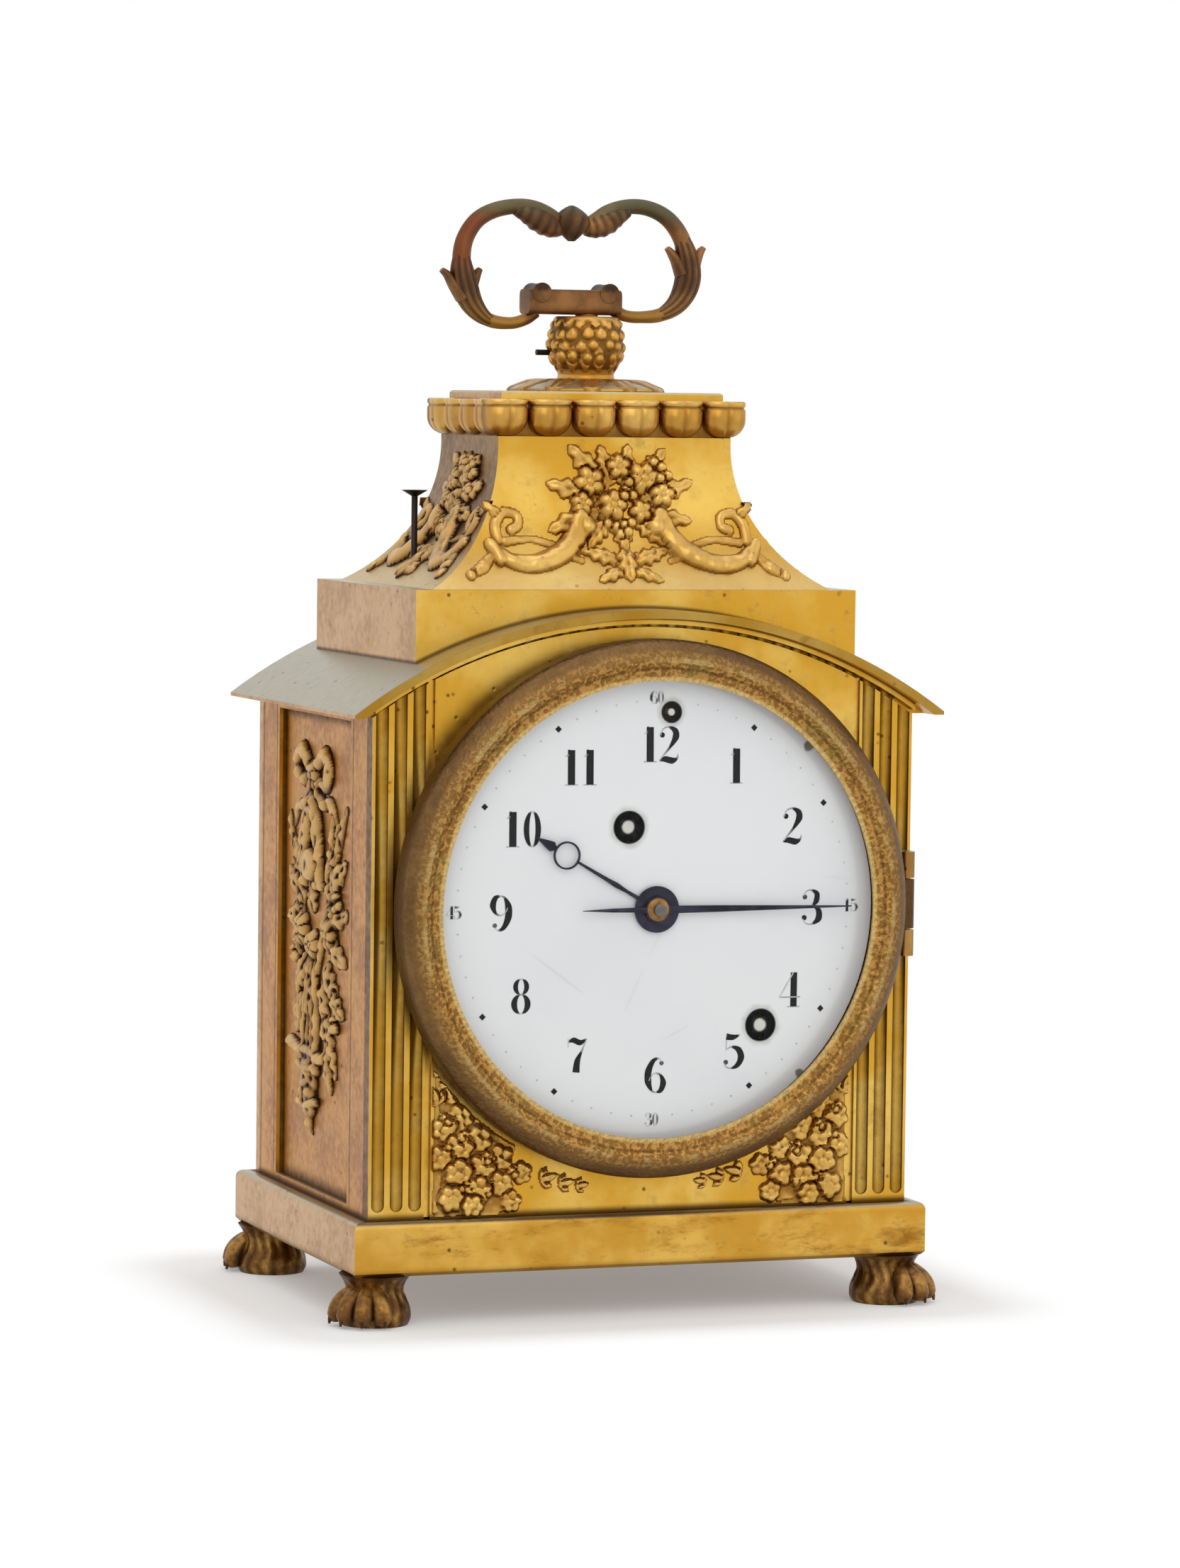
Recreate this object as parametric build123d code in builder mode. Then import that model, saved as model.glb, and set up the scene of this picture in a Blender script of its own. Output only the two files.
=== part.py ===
# Officers clock: a small gilt-bronze travelling clock with a swivelling handle, a hinged glazed bezel,
# a rear door and an eight-day movement that strikes on a bell.
# Millimetres, +Z up, the dial faces -Y, the origin is on the ground under the middle of the clock.

from math import asin, atan2, cos, degrees, pi, radians, sin, sqrt
import os

from build123d import *

os.makedirs("parts", exist_ok=True)

# Feet and plinth
foot_height = 9.5
foot_radius = 8.0
foot_inset = 4.3
toe_radius = 2.9
toe_count = 4
toe_step = 34.0
ankle_radius = 6.9
heel_shift = 2.2
plinth_step_side = 3.4
plinth_step_front = 2.6
plinth_height = 10.25
plinth_round = 1.4

# Body walls
body_half_width = 54.3
body_half_depth = 36.7
wall = 2.0
side_post = 13.5
side_recess = 1.4
eaves_height = 114.0
front_field = 1.5
pilaster_width = 10.9
pilaster_groove = 1.2
flute_count = 3
flute_width = 2.5
flute_depth = 0.6
flute_margin = 1.6

# Arched roof
roof_overhang_side = 4.8
roof_overhang_front = 4.3
roof_crown = 134.06
roof_radius = 99.7
roof_sheet = 1.6
moulding_height = 1.1
moulding_depth = 3.0
field_line = 0.6

# Attic block, hood, cornice and cap
attic_half_width = 44.4
attic_half_depth = 31.3
attic_top = 137.5
attic_wall = 2.0
hood_foot_half_width = 40.2
hood_foot_half_depth = 28.5
hood_top_half_width = 23.7
hood_top_half_depth = 17.2
hood_height = 28.75
hood_sweep_x = 31.0
hood_sweep_y = 39.7
hood_wall = 2.2
mount_relief = 1.7
trophy_relief = 2.6
cornice_half_width = 26.9
cornice_half_depth = 20.0
cornice_height = 7.1
lobe_radius = 4.4
lobe_toe = 2.6
lobe_pitch = 8.9
lobes_front = 6
lobes_side = 4
cap_half_width = 22.6
cap_half_depth = 15.6
cap_height = 1.55
rosette_radius = 16.0
rosette_height = 2.1

# Knob, handle and their pins
knob_height = 12.4
knob_radius = 7.55
knob_neck_radius = 5.65
knob_lip_radius = 6.1
stem_radius = 2.2
groove_radius = 1.3
groove_height = 1.4
stem_depth = 9.0
running_fit = 0.05
handle_gap = 0.3
handle_tube = 1.55
handle_bar_left = -12.8
handle_bar_right = 6.3
handle_bar_height = 5.0
handle_bar_depth = 6.0
handle_ear = 2.6
bud_radius = 3.4
cross_pin_radius = 0.55
cross_pin_left = -9.6
cross_pin_right = 7.2
cross_pin_rise = 5.4
tie_radius = 1.5
tie_nut_radius = 3.4
tie_nut_height = 2.4

# Repeat push
push_x = -34.0
push_y = 2.0
push_rod = 0.6
push_head_radius = 2.6
push_head_top = 155.6
push_head_thick = 1.2
push_collar = 2.0
push_collar_thick = 0.9
push_foot = 118.0
push_fit = 0.1
spring_inner = 1.0
spring_outer = 1.8

# Dial, its ring, the bezel and the glass
dial_height = 77.85
dial_radius = 44.2
dial_front = -42.6
dial_edge_front = -41.8
dial_back = -40.6
sight_radius = 43.15
ring_bore = 42.0
ring_tube = 44.4
ring_flange = 49.5
ring_flange_thick = 2.7
panel_hole = 40.0
bezel_radius = 50.9
bezel_gap = 0.3
bezel_side_front = -43.2
crest_front = -46.5
crest_outer = 47.2
crest_inner = 46.6
bezel_bore = 44.9
lip_back = -45.06
lip_front = -45.6
glass_radius = 44.6
glass_front = -47.0
glass_edge_front = -44.9
glass_thick = 1.2
dial_foot_radius = 1.2
dial_foot_ring = 34.0
arbor_hole_radius = 3.0
regulator_hole_radius = 1.95
hand_hole_radius = 2.9

# Hinges
knuckle_radius = 1.5
pin_radius = 0.7
pin_fit = 0.05
knuckle_gap = 0.15
bezel_hinge_x = 51.9
bezel_hinge_y = -40.9
bezel_hinge_half = 10.0
bezel_knuckle_half = 5.0
door_hinge_x = 39.2
door_hinge_y = 38.3
door_hinge_half = 9.0
door_knuckle_half = 4.5
door_hinge_heights = (48.0, 96.0)

# Rear door
door_half_width = 38.0
door_bottom = 31.0
door_top = 111.0
door_gap = 0.3
door_knob_x = -33.5
door_knob_z = 71.0
door_knob_radius = 3.4
door_knob_end = 47.0
spindle_radius = 1.2
catch_length = 9.0
catch_thick = 1.6
catch_width = 4.0

# Movement frame
plate_half_width = 38.0
plate_half_height = 40.0
plate_thick = 1.8
plate_space = 20.0
plate_corner = 8.0
pillar_radius = 2.4
screw_head = 2.2
screw_head_thick = 1.2
pivot_radius = 0.5
pivot_length = 1.3
end_shake = 0.3
arbor_radius = 0.7

# Wheel train, spots are from the dial centre as (x, z)
barrel_spot = (21.7, -22.5)
strike_spot = (-5.5, 15.5)
regulator_spot = (2.9, 37.1)
barrel_teeth = 60
barrel_module = 0.55
barrel_radius = 15.5
strike_barrel_teeth = 64
strike_barrel_module = 0.44
strike_barrel_radius = 12.3
barrel_shell = 1.0
winding_radius = 1.9
winding_square = 3.0
intermediate_leaves = 10
intermediate_teeth = 48
intermediate_module = 0.5
centre_leaves = 12
centre_teeth = 60
centre_module = 0.42
third_leaves = 8
third_teeth = 60
third_module = 0.4
third_bearing = 225.0
fourth_leaves = 8
fourth_teeth = 64
fourth_module = 0.36
fourth_bearing = 230.0
escape_leaves = 8
escape_teeth = 16
escape_radius = 4.5
escape_bearing = 130.0
wheel_thick = 1.2
centre_arbor_radius = 0.9

# Balance
balance_gap = 5.3
balance_bearing = 270.0
balance_radius = 7.5
balance_rim = 1.1
balance_thick = 1.2
balance_front = -6.9
staff_radius = 0.6
cock_back = -1.6
cock_thick = 1.6
hairspring_turns = 4.0
hairspring_pitch = 0.65
hairspring_start = 1.6
hairspring_width = 0.22
hairspring_height = 0.4

# Motion work and hands
cannon_leaves = 12
minute_teeth = 36
motion_module = 0.5
minute_leaves = 10
hour_teeth = 40
minute_bearing = 270.0
cannon_radius = 1.6
cannon_end_radius = 1.2
cannon_front = -45.5
hour_pipe_radius = 2.3
hour_hand_front = -43.3
hand_thick = 0.3
minute_hand_front = -43.9
hub_radius = 4.4
collet_radius = 2.4
minute_hand_length = 39.5
minute_hand_tail = 15.0
hour_hand_length = 27.9
hour_ring_place = 21.0
hour_ring_radius = 2.8
hour_ring_wire = 0.55
hour_hand_bearing = 150.0

# Strike train, bell and hammer
pin_wheel_leaves = 8
pin_wheel_teeth = 56
pin_wheel_module = 0.38
pin_wheel_bearing = 140.0
lifting_pins = 8
lifting_pin_ring = 8.5
fly_leaves = 8
fly_bearing = 200.0
fly_vane = 5.0
bell_spot = (12.0, 6.0)
bell_radius = 22.0
bell_wall = 1.2
bell_rim = -4.0
bell_depth = 16.0
bell_post_radius = 2.4
bell_thread_radius = 1.2
hammer_spot = (-4.5, 33.0)
hammer_head_radius = 3.0
hammer_gap = 0.6
hammer_bearing_on_bell = 140.0
hammer_tail = 5.6

# Derived levels
plinth_half_width = body_half_width + plinth_step_side
plinth_half_depth = body_half_depth + plinth_step_front
roof_half_width = body_half_width + roof_overhang_side
roof_half_depth = body_half_depth + roof_overhang_front
plinth_top = foot_height + plinth_height
arch_centre = roof_crown - roof_radius
sheet_under = roof_radius - roof_sheet
moulding_under = sheet_under - moulding_height
field_top_radius = moulding_under - field_line
side_thick = wall + side_recess
side_inner = body_half_width - side_thick
hood_top = attic_top + hood_height
cornice_top = hood_top + cornice_height
cap_top = cornice_top + cap_height
knob_base = cap_top + rosette_height
knob_top = knob_base + knob_height
front_wall_back = -body_half_depth + front_field + wall
panel_face = -body_half_depth
plate_inner = front_wall_back + plate_thick
back_plate_front = plate_inner + plate_space
back_plate_back = back_plate_front + plate_thick
field_half_width = body_half_width - pilaster_width - pilaster_groove


def facing(y, spot=(0.0, 0.0)):
    # A plane that faces the front at depth y, centred on a spot of the dial
    return Plane((spot[0], y, dial_height + spot[1]), x_dir=(1, 0, 0), z_dir=(0, -1, 0))


def facing_ground(y):
    # The same plane with its origin on the ground
    return Plane((0, y, 0), x_dir=(1, 0, 0), z_dir=(0, -1, 0))


def level(u):
    # Depth of a level that lies u behind the inner face of the front plate
    return plate_inner + u


def step_from(spot, distance, bearing):
    # A spot at a distance and a bearing, counted from +X towards +Z
    return (spot[0] + distance * cos(radians(bearing)), spot[1] + distance * sin(radians(bearing)))


def bearing_of(first, second):
    return degrees(atan2(second[1] - first[1], second[0] - first[0]))


def meshed_turn(turn, teeth, next_teeth, bearing):
    # The turn that puts a gap of the next wheel against a tooth of this one
    return bearing + 180 - (teeth * (turn - bearing) + 180) / next_teeth


def tooth_outline(teeth, module, turn, pinion):
    # A closed outline of radial flanks and straight-sided tips
    pitch = module * teeth / 2
    thick = 1.05 if pinion else 1.5
    tip = 0.6 if pinion else 1.2
    root = 1.5 if pinion else 1.1
    tip_thick = 0.45 if pinion else 0.4
    points = []
    for index in range(teeth):
        middle = radians(turn + index * 360 / teeth)
        flank = thick * module / 2 / pitch
        corner = tip_thick * module / 2 / (pitch + tip * module)
        for radius, angle in (
            (pitch - root * module, middle - flank),
            (pitch, middle - flank),
            (pitch + tip * module, middle - corner),
            (pitch + tip * module, middle + corner),
            (pitch, middle + flank),
            (pitch - root * module, middle + flank),
        ):
            points.append((radius * cos(angle), radius * sin(angle)))
    return points


def toothed(plane, teeth, module, turn, pinion=False, bore=0.0, windows=0):
    # A toothed face on a plane, with a bore and round crossings where asked for
    pitch = module * teeth / 2
    with BuildSketch(plane) as face:
        with BuildLine():
            Polyline(tooth_outline(teeth, module, turn, pinion), close=True)
        make_face()
        if bore:
            Circle(bore, mode=Mode.SUBTRACT)
        if windows:
            with PolarLocations(pitch * 0.56, windows):
                Circle(pitch * 0.25, mode=Mode.SUBTRACT)
    return face.sketch


def disc(plane, radius, bore=0.0):
    # A round or ring-shaped face on a plane
    with BuildSketch(plane) as face:
        Circle(radius)
        if bore:
            Circle(bore, mode=Mode.SUBTRACT)
    return face.sketch


def dome_level(middle, edge, radius):
    # Depth of a round dome at half its radius
    sagitta = edge - middle
    curve = (radius**2 + sagitta**2) / (2 * sagitta)
    return middle + curve - sqrt(curve**2 - radius**2 / 4)


def write(part, name):
    part.label = name
    export_step(part, "parts/" + name + ".step")


# Positions of the arbors
intermediate_reach = intermediate_module * (intermediate_teeth + centre_leaves) / 2
barrel_reach = barrel_module * (barrel_teeth + intermediate_leaves) / 2
barrel_distance = sqrt(barrel_spot[0] ** 2 + barrel_spot[1] ** 2)
along_barrel = (intermediate_reach**2 - barrel_reach**2 + barrel_distance**2) / (2 * barrel_distance)
intermediate_bearing = bearing_of((0, 0), barrel_spot) + degrees(
    asin(sqrt(intermediate_reach**2 - along_barrel**2) / intermediate_reach)
)
intermediate_spot = step_from((0, 0), intermediate_reach, intermediate_bearing)
third_spot = step_from((0, 0), centre_module * (centre_teeth + third_leaves) / 2, third_bearing)
fourth_spot = step_from(third_spot, third_module * (third_teeth + fourth_leaves) / 2, fourth_bearing)
escape_spot = step_from(fourth_spot, fourth_module * (fourth_teeth + escape_leaves) / 2, escape_bearing)
balance_spot = step_from(escape_spot, balance_gap, balance_bearing)
minute_reach = motion_module * (cannon_leaves + minute_teeth) / 2
hour_module = 2 * minute_reach / (minute_leaves + hour_teeth)
minute_spot = step_from((0, 0), minute_reach, minute_bearing)
pin_wheel_spot = step_from(
    strike_spot, strike_barrel_module * (strike_barrel_teeth + pin_wheel_leaves) / 2, pin_wheel_bearing
)
fly_spot = step_from(pin_wheel_spot, pin_wheel_module * (pin_wheel_teeth + fly_leaves) / 2, fly_bearing)

# Wheels turned so that teeth stand in gaps
barrel_turn = 0.0
intermediate_pinion_turn = meshed_turn(
    barrel_turn, barrel_teeth, intermediate_leaves, bearing_of(barrel_spot, intermediate_spot)
)
intermediate_turn = 0.0
centre_pinion_turn = meshed_turn(
    intermediate_turn, intermediate_teeth, centre_leaves, bearing_of(intermediate_spot, (0, 0))
)
centre_turn = 0.0
third_pinion_turn = meshed_turn(centre_turn, centre_teeth, third_leaves, third_bearing)
third_turn = 0.0
fourth_pinion_turn = meshed_turn(third_turn, third_teeth, fourth_leaves, fourth_bearing)
fourth_turn = 0.0
escape_pinion_turn = meshed_turn(fourth_turn, fourth_teeth, escape_leaves, escape_bearing)
minute_turn = meshed_turn(0.0, cannon_leaves, minute_teeth, minute_bearing)
hour_turn = meshed_turn(0.0, minute_leaves, hour_teeth, minute_bearing + 180)
strike_turn = 0.0
pin_wheel_pinion_turn = meshed_turn(strike_turn, strike_barrel_teeth, pin_wheel_leaves, pin_wheel_bearing)
pin_wheel_turn = 0.0
fly_pinion_turn = meshed_turn(pin_wheel_turn, pin_wheel_teeth, fly_leaves, fly_bearing)

# Plinth: a cast slab with rounded edges
with BuildPart() as base_plinth:
    with BuildSketch(Plane.XY.offset(foot_height)):
        Rectangle(2 * plinth_half_width, 2 * plinth_half_depth)
    extrude(amount=plinth_height)
    fillet(base_plinth.faces().sort_by(Axis.Z)[-1].edges(), plinth_round)
    chamfer(base_plinth.faces().sort_by(Axis.Z)[0].edges(), plinth_round / 2)
write(base_plinth.part, "base_plinth")

# Four lion paws, toes pointing out over the plinth corners
foot_names = {
    "front_left_paw": (-1, -1),
    "front_right_paw": (1, -1),
    "rear_left_paw": (-1, 1),
    "rear_right_paw": (1, 1),
}
for foot_name, (side_x, side_y) in foot_names.items():
    paw_x = side_x * (plinth_half_width - foot_inset)
    paw_y = side_y * (plinth_half_depth - foot_inset)
    outward = degrees(atan2(side_y, side_x))
    heel_x = paw_x - heel_shift * cos(radians(outward))
    heel_y = paw_y - heel_shift * sin(radians(outward))
    with BuildPart() as paw:
        for height, radius in ((0, ankle_radius - 0.4), (foot_height * 0.3, ankle_radius)):
            with BuildSketch(Plane((heel_x, heel_y, height))):
                Circle(radius)
        loft()
        for height, radius in ((foot_height * 0.3, ankle_radius), (foot_height * 0.72, ankle_radius - 1.5)):
            with BuildSketch(Plane((heel_x, heel_y, height))):
                Circle(radius)
        loft()
        for height, radius in ((foot_height * 0.72, ankle_radius - 1.5), (foot_height, ankle_radius)):
            with BuildSketch(Plane((heel_x, heel_y, height))):
                Circle(radius)
        loft()
        for index in range(toe_count):
            angle = radians(outward + (index - (toe_count - 1) / 2) * toe_step)
            reach = foot_radius - toe_radius
            with Locations((paw_x + reach * cos(angle), paw_y + reach * sin(angle), toe_radius - 0.4)):
                Sphere(toe_radius)
        split(bisect_by=Plane.XY)
    write(paw.part, foot_name)


def wall_outline(top_radius, half_width=body_half_width):
    # A wall of the body up to the arch, kept under the eaves outside the side walls
    with BuildSketch() as face:
        with Locations((0, arch_centre)):
            Circle(top_radius)
        with Locations((0, (plinth_top + roof_crown) / 2)):
            Rectangle(2 * min(half_width, side_inner), roof_crown - plinth_top, mode=Mode.INTERSECT)
        if half_width > side_inner:
            with Locations((0, (plinth_top + eaves_height) / 2)):
                Rectangle(2 * half_width, eaves_height - plinth_top)
    return face.sketch


# Front wall with its raised centre field and the round opening behind the dial
with BuildPart() as front_panel:
    with BuildSketch(facing_ground(front_wall_back)):
        add(wall_outline(sheet_under))
        with Locations((0, dial_height)):
            Circle(panel_hole, mode=Mode.SUBTRACT)
    extrude(amount=wall)
    with BuildSketch(facing_ground(front_wall_back - wall)):
        add(wall_outline(field_top_radius, field_half_width))
        with Locations((0, dial_height)):
            Circle(panel_hole, mode=Mode.SUBTRACT)
    extrude(amount=front_field)
write(front_panel.part, "front_panel")

# Fluted pilasters on both sides of the centre field
with BuildPart() as pilasters:
    with BuildSketch(facing_ground(front_wall_back - wall)):
        with Locations((0, arch_centre)):
            Circle(field_top_radius)
        with Locations((0, (plinth_top + roof_crown) / 2)):
            Rectangle(2 * body_half_width, roof_crown - plinth_top, mode=Mode.INTERSECT)
        with Locations((0, roof_crown / 2)):
            Rectangle(2 * (field_half_width + pilaster_groove), 2 * roof_crown, mode=Mode.SUBTRACT)
    extrude(amount=front_field)
    with BuildSketch(facing_ground(panel_face)):
        for side in (-1, 1):
            for index in range(flute_count):
                flute_x = side * (body_half_width - pilaster_width * (index + 0.5) / flute_count)
                with Locations((flute_x, plinth_top + flute_margin + roof_crown / 2)):
                    SlotOverall(roof_crown, flute_width, rotation=90)
    extrude(amount=-flute_depth, mode=Mode.SUBTRACT)
write(pilasters.part, "pilasters")

# Thin arched moulding under the roof sheet
with BuildPart() as arch_moulding:
    with BuildSketch(facing_ground(front_wall_back - wall)):
        with Locations((0, arch_centre)):
            Circle(sheet_under)
            Circle(moulding_under, mode=Mode.SUBTRACT)
        with Locations((0, roof_crown)):
            Rectangle(2 * body_half_width, 2 * (roof_crown - eaves_height), mode=Mode.INTERSECT)
    extrude(amount=moulding_depth)
write(arch_moulding.part, "arch_moulding")

# Side walls: two posts and a recessed field in one casting
for side_name, side in (("left_side", -1), ("right_side", 1)):
    side_depth = body_half_depth - wall - front_wall_back
    with BuildPart() as side_wall:
        with BuildSketch(Plane((side * side_inner, 0, 0), x_dir=(0, 1, 0), z_dir=(1, 0, 0))):
            with Locations(
                ((body_half_depth - wall + front_wall_back) / 2, (plinth_top + eaves_height) / 2)
            ):
                Rectangle(side_depth, eaves_height - plinth_top)
        extrude(amount=side * side_thick)
        field_plane = Plane((side * body_half_width, 0, 0), x_dir=(0, 1, 0), z_dir=(1, 0, 0))
        with BuildSketch(field_plane):
            with Locations((0, (plinth_top + eaves_height) / 2)):
                Rectangle(2 * (body_half_depth - side_post), eaves_height - plinth_top - side_recess * 2)
        extrude(amount=-side * side_recess, mode=Mode.SUBTRACT)
    write(side_wall.part, side_name)


def trophy_outline(middle):
    # The silhouette of a trophy: rosette, lyre, ball, fan of leaves, quiver and cross bar
    with BuildSketch() as face:
        with Locations((0, middle + 30)):
            Circle(5.6)
        with Locations((0, middle + 21)):
            Ellipse(3.2, 7.0)
        with Locations((0, middle + 10)):
            Ellipse(11.5, 13.0)
        with Locations((0, middle - 6)):
            RegularPolygon(13.0, 8)
        with Locations((0, middle - 20)):
            Rectangle(30, 4.2)
        with Locations((0, middle - 25)):
            Ellipse(5.2, 12.0)
    return face.sketch


# Gilt trophies in the side fields
with BuildPart() as side_trophies:
    for side in (-1, 1):
        seat = side * (body_half_width - side_recess)
        with BuildSketch(Plane((seat, 0, 0), x_dir=(0, 1, 0), z_dir=(1, 0, 0))):
            add(trophy_outline((plinth_top + eaves_height) / 2 + 1))
        extrude(amount=side * trophy_relief)
write(side_trophies.part, "side_trophies")

# Leaf mounts in the lower corners of the centre field
spandrel_clear = bezel_radius + 0.8
with BuildPart() as spandrel_mounts:
    with BuildSketch(facing_ground(panel_face)):
        for side in (-1, 1):
            with Locations((side * (field_half_width - 13.2), plinth_top + 15.6)):
                Rectangle(25, 30)
        with Locations((0, dial_height)):
            Circle(spandrel_clear, mode=Mode.SUBTRACT)
    extrude(amount=mount_relief)
    fillet(spandrel_mounts.faces().filter_by(Axis.Y).sort_by(Axis.Y)[0].edges(), 0.5)
write(spandrel_mounts.part, "spandrel_mounts")

# Rear wall with the door opening, and the fixed knuckles of the door hinge
with BuildPart() as rear_frame:
    with BuildSketch(facing_ground(body_half_depth)):
        add(wall_outline(sheet_under))
        with Locations((0, (door_bottom + door_top) / 2)):
            Rectangle(2 * door_half_width, door_top - door_bottom, mode=Mode.SUBTRACT)
    extrude(amount=wall)
    for hinge_z in door_hinge_heights:
        for end in (-1, 1):
            knuckle_z = hinge_z + end * (door_knuckle_half + door_hinge_half) / 2
            knuckle_length = door_hinge_half - door_knuckle_half
            with Locations((door_hinge_x, door_hinge_y, knuckle_z)):
                Cylinder(knuckle_radius, knuckle_length)
            with Locations((door_hinge_x + 0.6, (body_half_depth + door_hinge_y) / 2, knuckle_z)):
                Box(1.8, door_hinge_y - body_half_depth, knuckle_length)
        with Locations((door_hinge_x, door_hinge_y, hinge_z)):
            Cylinder(pin_radius, 2 * door_hinge_half, mode=Mode.SUBTRACT)
write(rear_frame.part, "rear_frame")

# Rear door, its knuckles and its turn knob
leaf_front = body_half_depth + 0.15
with BuildPart() as rear_door:
    with BuildSketch(facing_ground(body_half_depth)):
        with Locations((0, (door_bottom + door_top) / 2)):
            Rectangle(2 * (door_half_width - door_gap), door_top - door_bottom - 2 * door_gap)
    extrude(amount=wall)
    for hinge_z in door_hinge_heights:
        barrel_length = 2 * (door_knuckle_half - knuckle_gap)
        with Locations((door_half_width - 1.5, body_half_depth + 0.7, hinge_z)):
            Box(2.2, 1.4, barrel_length)
        with Locations((door_hinge_x - 1.6, (leaf_front + door_hinge_y) / 2, hinge_z)):
            Box(3.2, door_hinge_y - leaf_front, barrel_length)
        with Locations((door_hinge_x, door_hinge_y, hinge_z)):
            Cylinder(knuckle_radius - 0.05, barrel_length)
            Cylinder(pin_radius + pin_fit, barrel_length, mode=Mode.SUBTRACT)
    with BuildSketch(Plane((door_knob_x, body_half_depth, door_knob_z), x_dir=(1, 0, 0), z_dir=(0, -1, 0))):
        Circle(spindle_radius + running_fit)
    extrude(amount=wall, mode=Mode.SUBTRACT)
write(rear_door.part, "rear_door")

with BuildPart() as rear_hinge_pins:
    for hinge_z in door_hinge_heights:
        with Locations((door_hinge_x, door_hinge_y, hinge_z)):
            Cylinder(pin_radius, 2 * door_hinge_half)
write(rear_hinge_pins.part, "rear_hinge_pins")

knob_seat = body_half_depth + door_gap
knob_neck = door_knob_radius * 0.45
inner_face = body_half_depth - wall - door_gap
knob_plane = Plane((door_knob_x, knob_seat, door_knob_z), x_dir=(1, 0, 0), z_dir=(0, 1, 0))
with BuildPart() as rear_door_knob:
    with BuildSketch(knob_plane):
        Circle(door_knob_radius * 0.8)
    extrude(amount=1.2)
    with BuildSketch(knob_plane):
        Circle(knob_neck)
    extrude(amount=door_knob_end - door_knob_radius - knob_seat)
    with Locations((door_knob_x, door_knob_end - door_knob_radius, door_knob_z)):
        Sphere(door_knob_radius)
    with BuildSketch(knob_plane):
        Circle(spindle_radius)
    extrude(amount=inner_face - catch_thick - knob_seat)
    with Locations((door_knob_x, inner_face - catch_thick / 2, door_knob_z - catch_length / 2 + 1.5)):
        Box(catch_width, catch_thick, catch_length)
write(rear_door_knob.part, "rear_door_knob")

# Roof: an arched sheet that thickens to flat soffits over the side walls
with BuildPart() as roof_cover:
    with BuildSketch(facing_ground(roof_half_depth)):
        with Locations((0, arch_centre)):
            Circle(roof_radius)
        with Locations((0, roof_crown)):
            Rectangle(2 * roof_half_width, 2 * (roof_crown - eaves_height), mode=Mode.INTERSECT)
        with BuildSketch(mode=Mode.PRIVATE) as under_roof:
            with Locations((0, arch_centre)):
                Circle(sheet_under)
            with Locations((0, roof_crown)):
                Rectangle(2 * side_inner, 2 * (roof_crown - eaves_height), mode=Mode.INTERSECT)
        add(under_roof.sketch, mode=Mode.SUBTRACT)
    extrude(amount=2 * roof_half_depth)
    for front, back in ((-roof_half_depth, front_wall_back - wall), (body_half_depth, roof_half_depth)):
        with BuildSketch(facing_ground(back)):
            with Locations((0, arch_centre)):
                Circle(sheet_under)
        extrude(amount=back - front, mode=Mode.SUBTRACT)
    with Locations((0, 0, roof_crown)):
        Cylinder(tie_radius, 4 * roof_sheet, mode=Mode.SUBTRACT)
    with Locations((push_x, push_y, roof_crown)):
        Cylinder(push_rod + push_fit, 2 * (roof_crown - eaves_height), mode=Mode.SUBTRACT)
write(roof_cover.part, "roof_cover")

# Attic block: an open-bottomed box that fits over the arch
attic_foot = eaves_height + 4
with BuildPart() as attic_block:
    with BuildSketch(Plane.XY.offset(attic_foot)):
        Rectangle(2 * attic_half_width, 2 * attic_half_depth)
    extrude(amount=attic_top - attic_foot)
    with BuildSketch(Plane.XY.offset(attic_foot)):
        Rectangle(2 * (attic_half_width - attic_wall), 2 * (attic_half_depth - attic_wall))
    extrude(amount=attic_top - attic_foot - attic_wall, mode=Mode.SUBTRACT)
    with BuildSketch(facing_ground(roof_half_depth)):
        with Locations((0, arch_centre)):
            Circle(roof_radius)
    extrude(amount=2 * roof_half_depth, mode=Mode.SUBTRACT)
    with Locations((0, 0, attic_top)):
        Cylinder(tie_radius, 4 * attic_wall, mode=Mode.SUBTRACT)
    with Locations((push_x, push_y, attic_top)):
        Cylinder(push_rod + push_fit, 4 * attic_wall, mode=Mode.SUBTRACT)
write(attic_block.part, "attic_block")


def sweep_outline(foot, top, sweep, inset, top_level):
    # Half-symmetric outline of the hood with hollow sides, drawn as height over half width
    with BuildSketch() as face:
        with BuildLine():
            Line((-foot + inset, attic_top), (foot - inset, attic_top))
            RadiusArc((foot - inset, attic_top), (top - inset, top_level), sweep)
            Line((top - inset, top_level), (-top + inset, top_level))
            RadiusArc((-top + inset, top_level), (-foot + inset, attic_top), sweep)
        make_face()
    return face.sketch


def hood_solid(inset, top_level):
    # The hood as the common part of a front outline and a side outline
    with BuildPart() as solid:
        with BuildSketch(facing_ground(hood_foot_half_depth)):
            add(sweep_outline(hood_foot_half_width, hood_top_half_width, hood_sweep_x, inset, top_level))
        extrude(amount=2 * hood_foot_half_depth)
        side_plane = Plane((-hood_foot_half_width, 0, 0), x_dir=(0, -1, 0), z_dir=(-1, 0, 0))
        with BuildSketch(side_plane):
            add(sweep_outline(hood_foot_half_depth, hood_top_half_depth, hood_sweep_y, inset, top_level))
        extrude(amount=-2 * hood_foot_half_width, mode=Mode.INTERSECT)
    return solid.part


hood_outer = hood_solid(0, hood_top)
hood_inner = hood_solid(hood_wall, hood_top - hood_wall)

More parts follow.
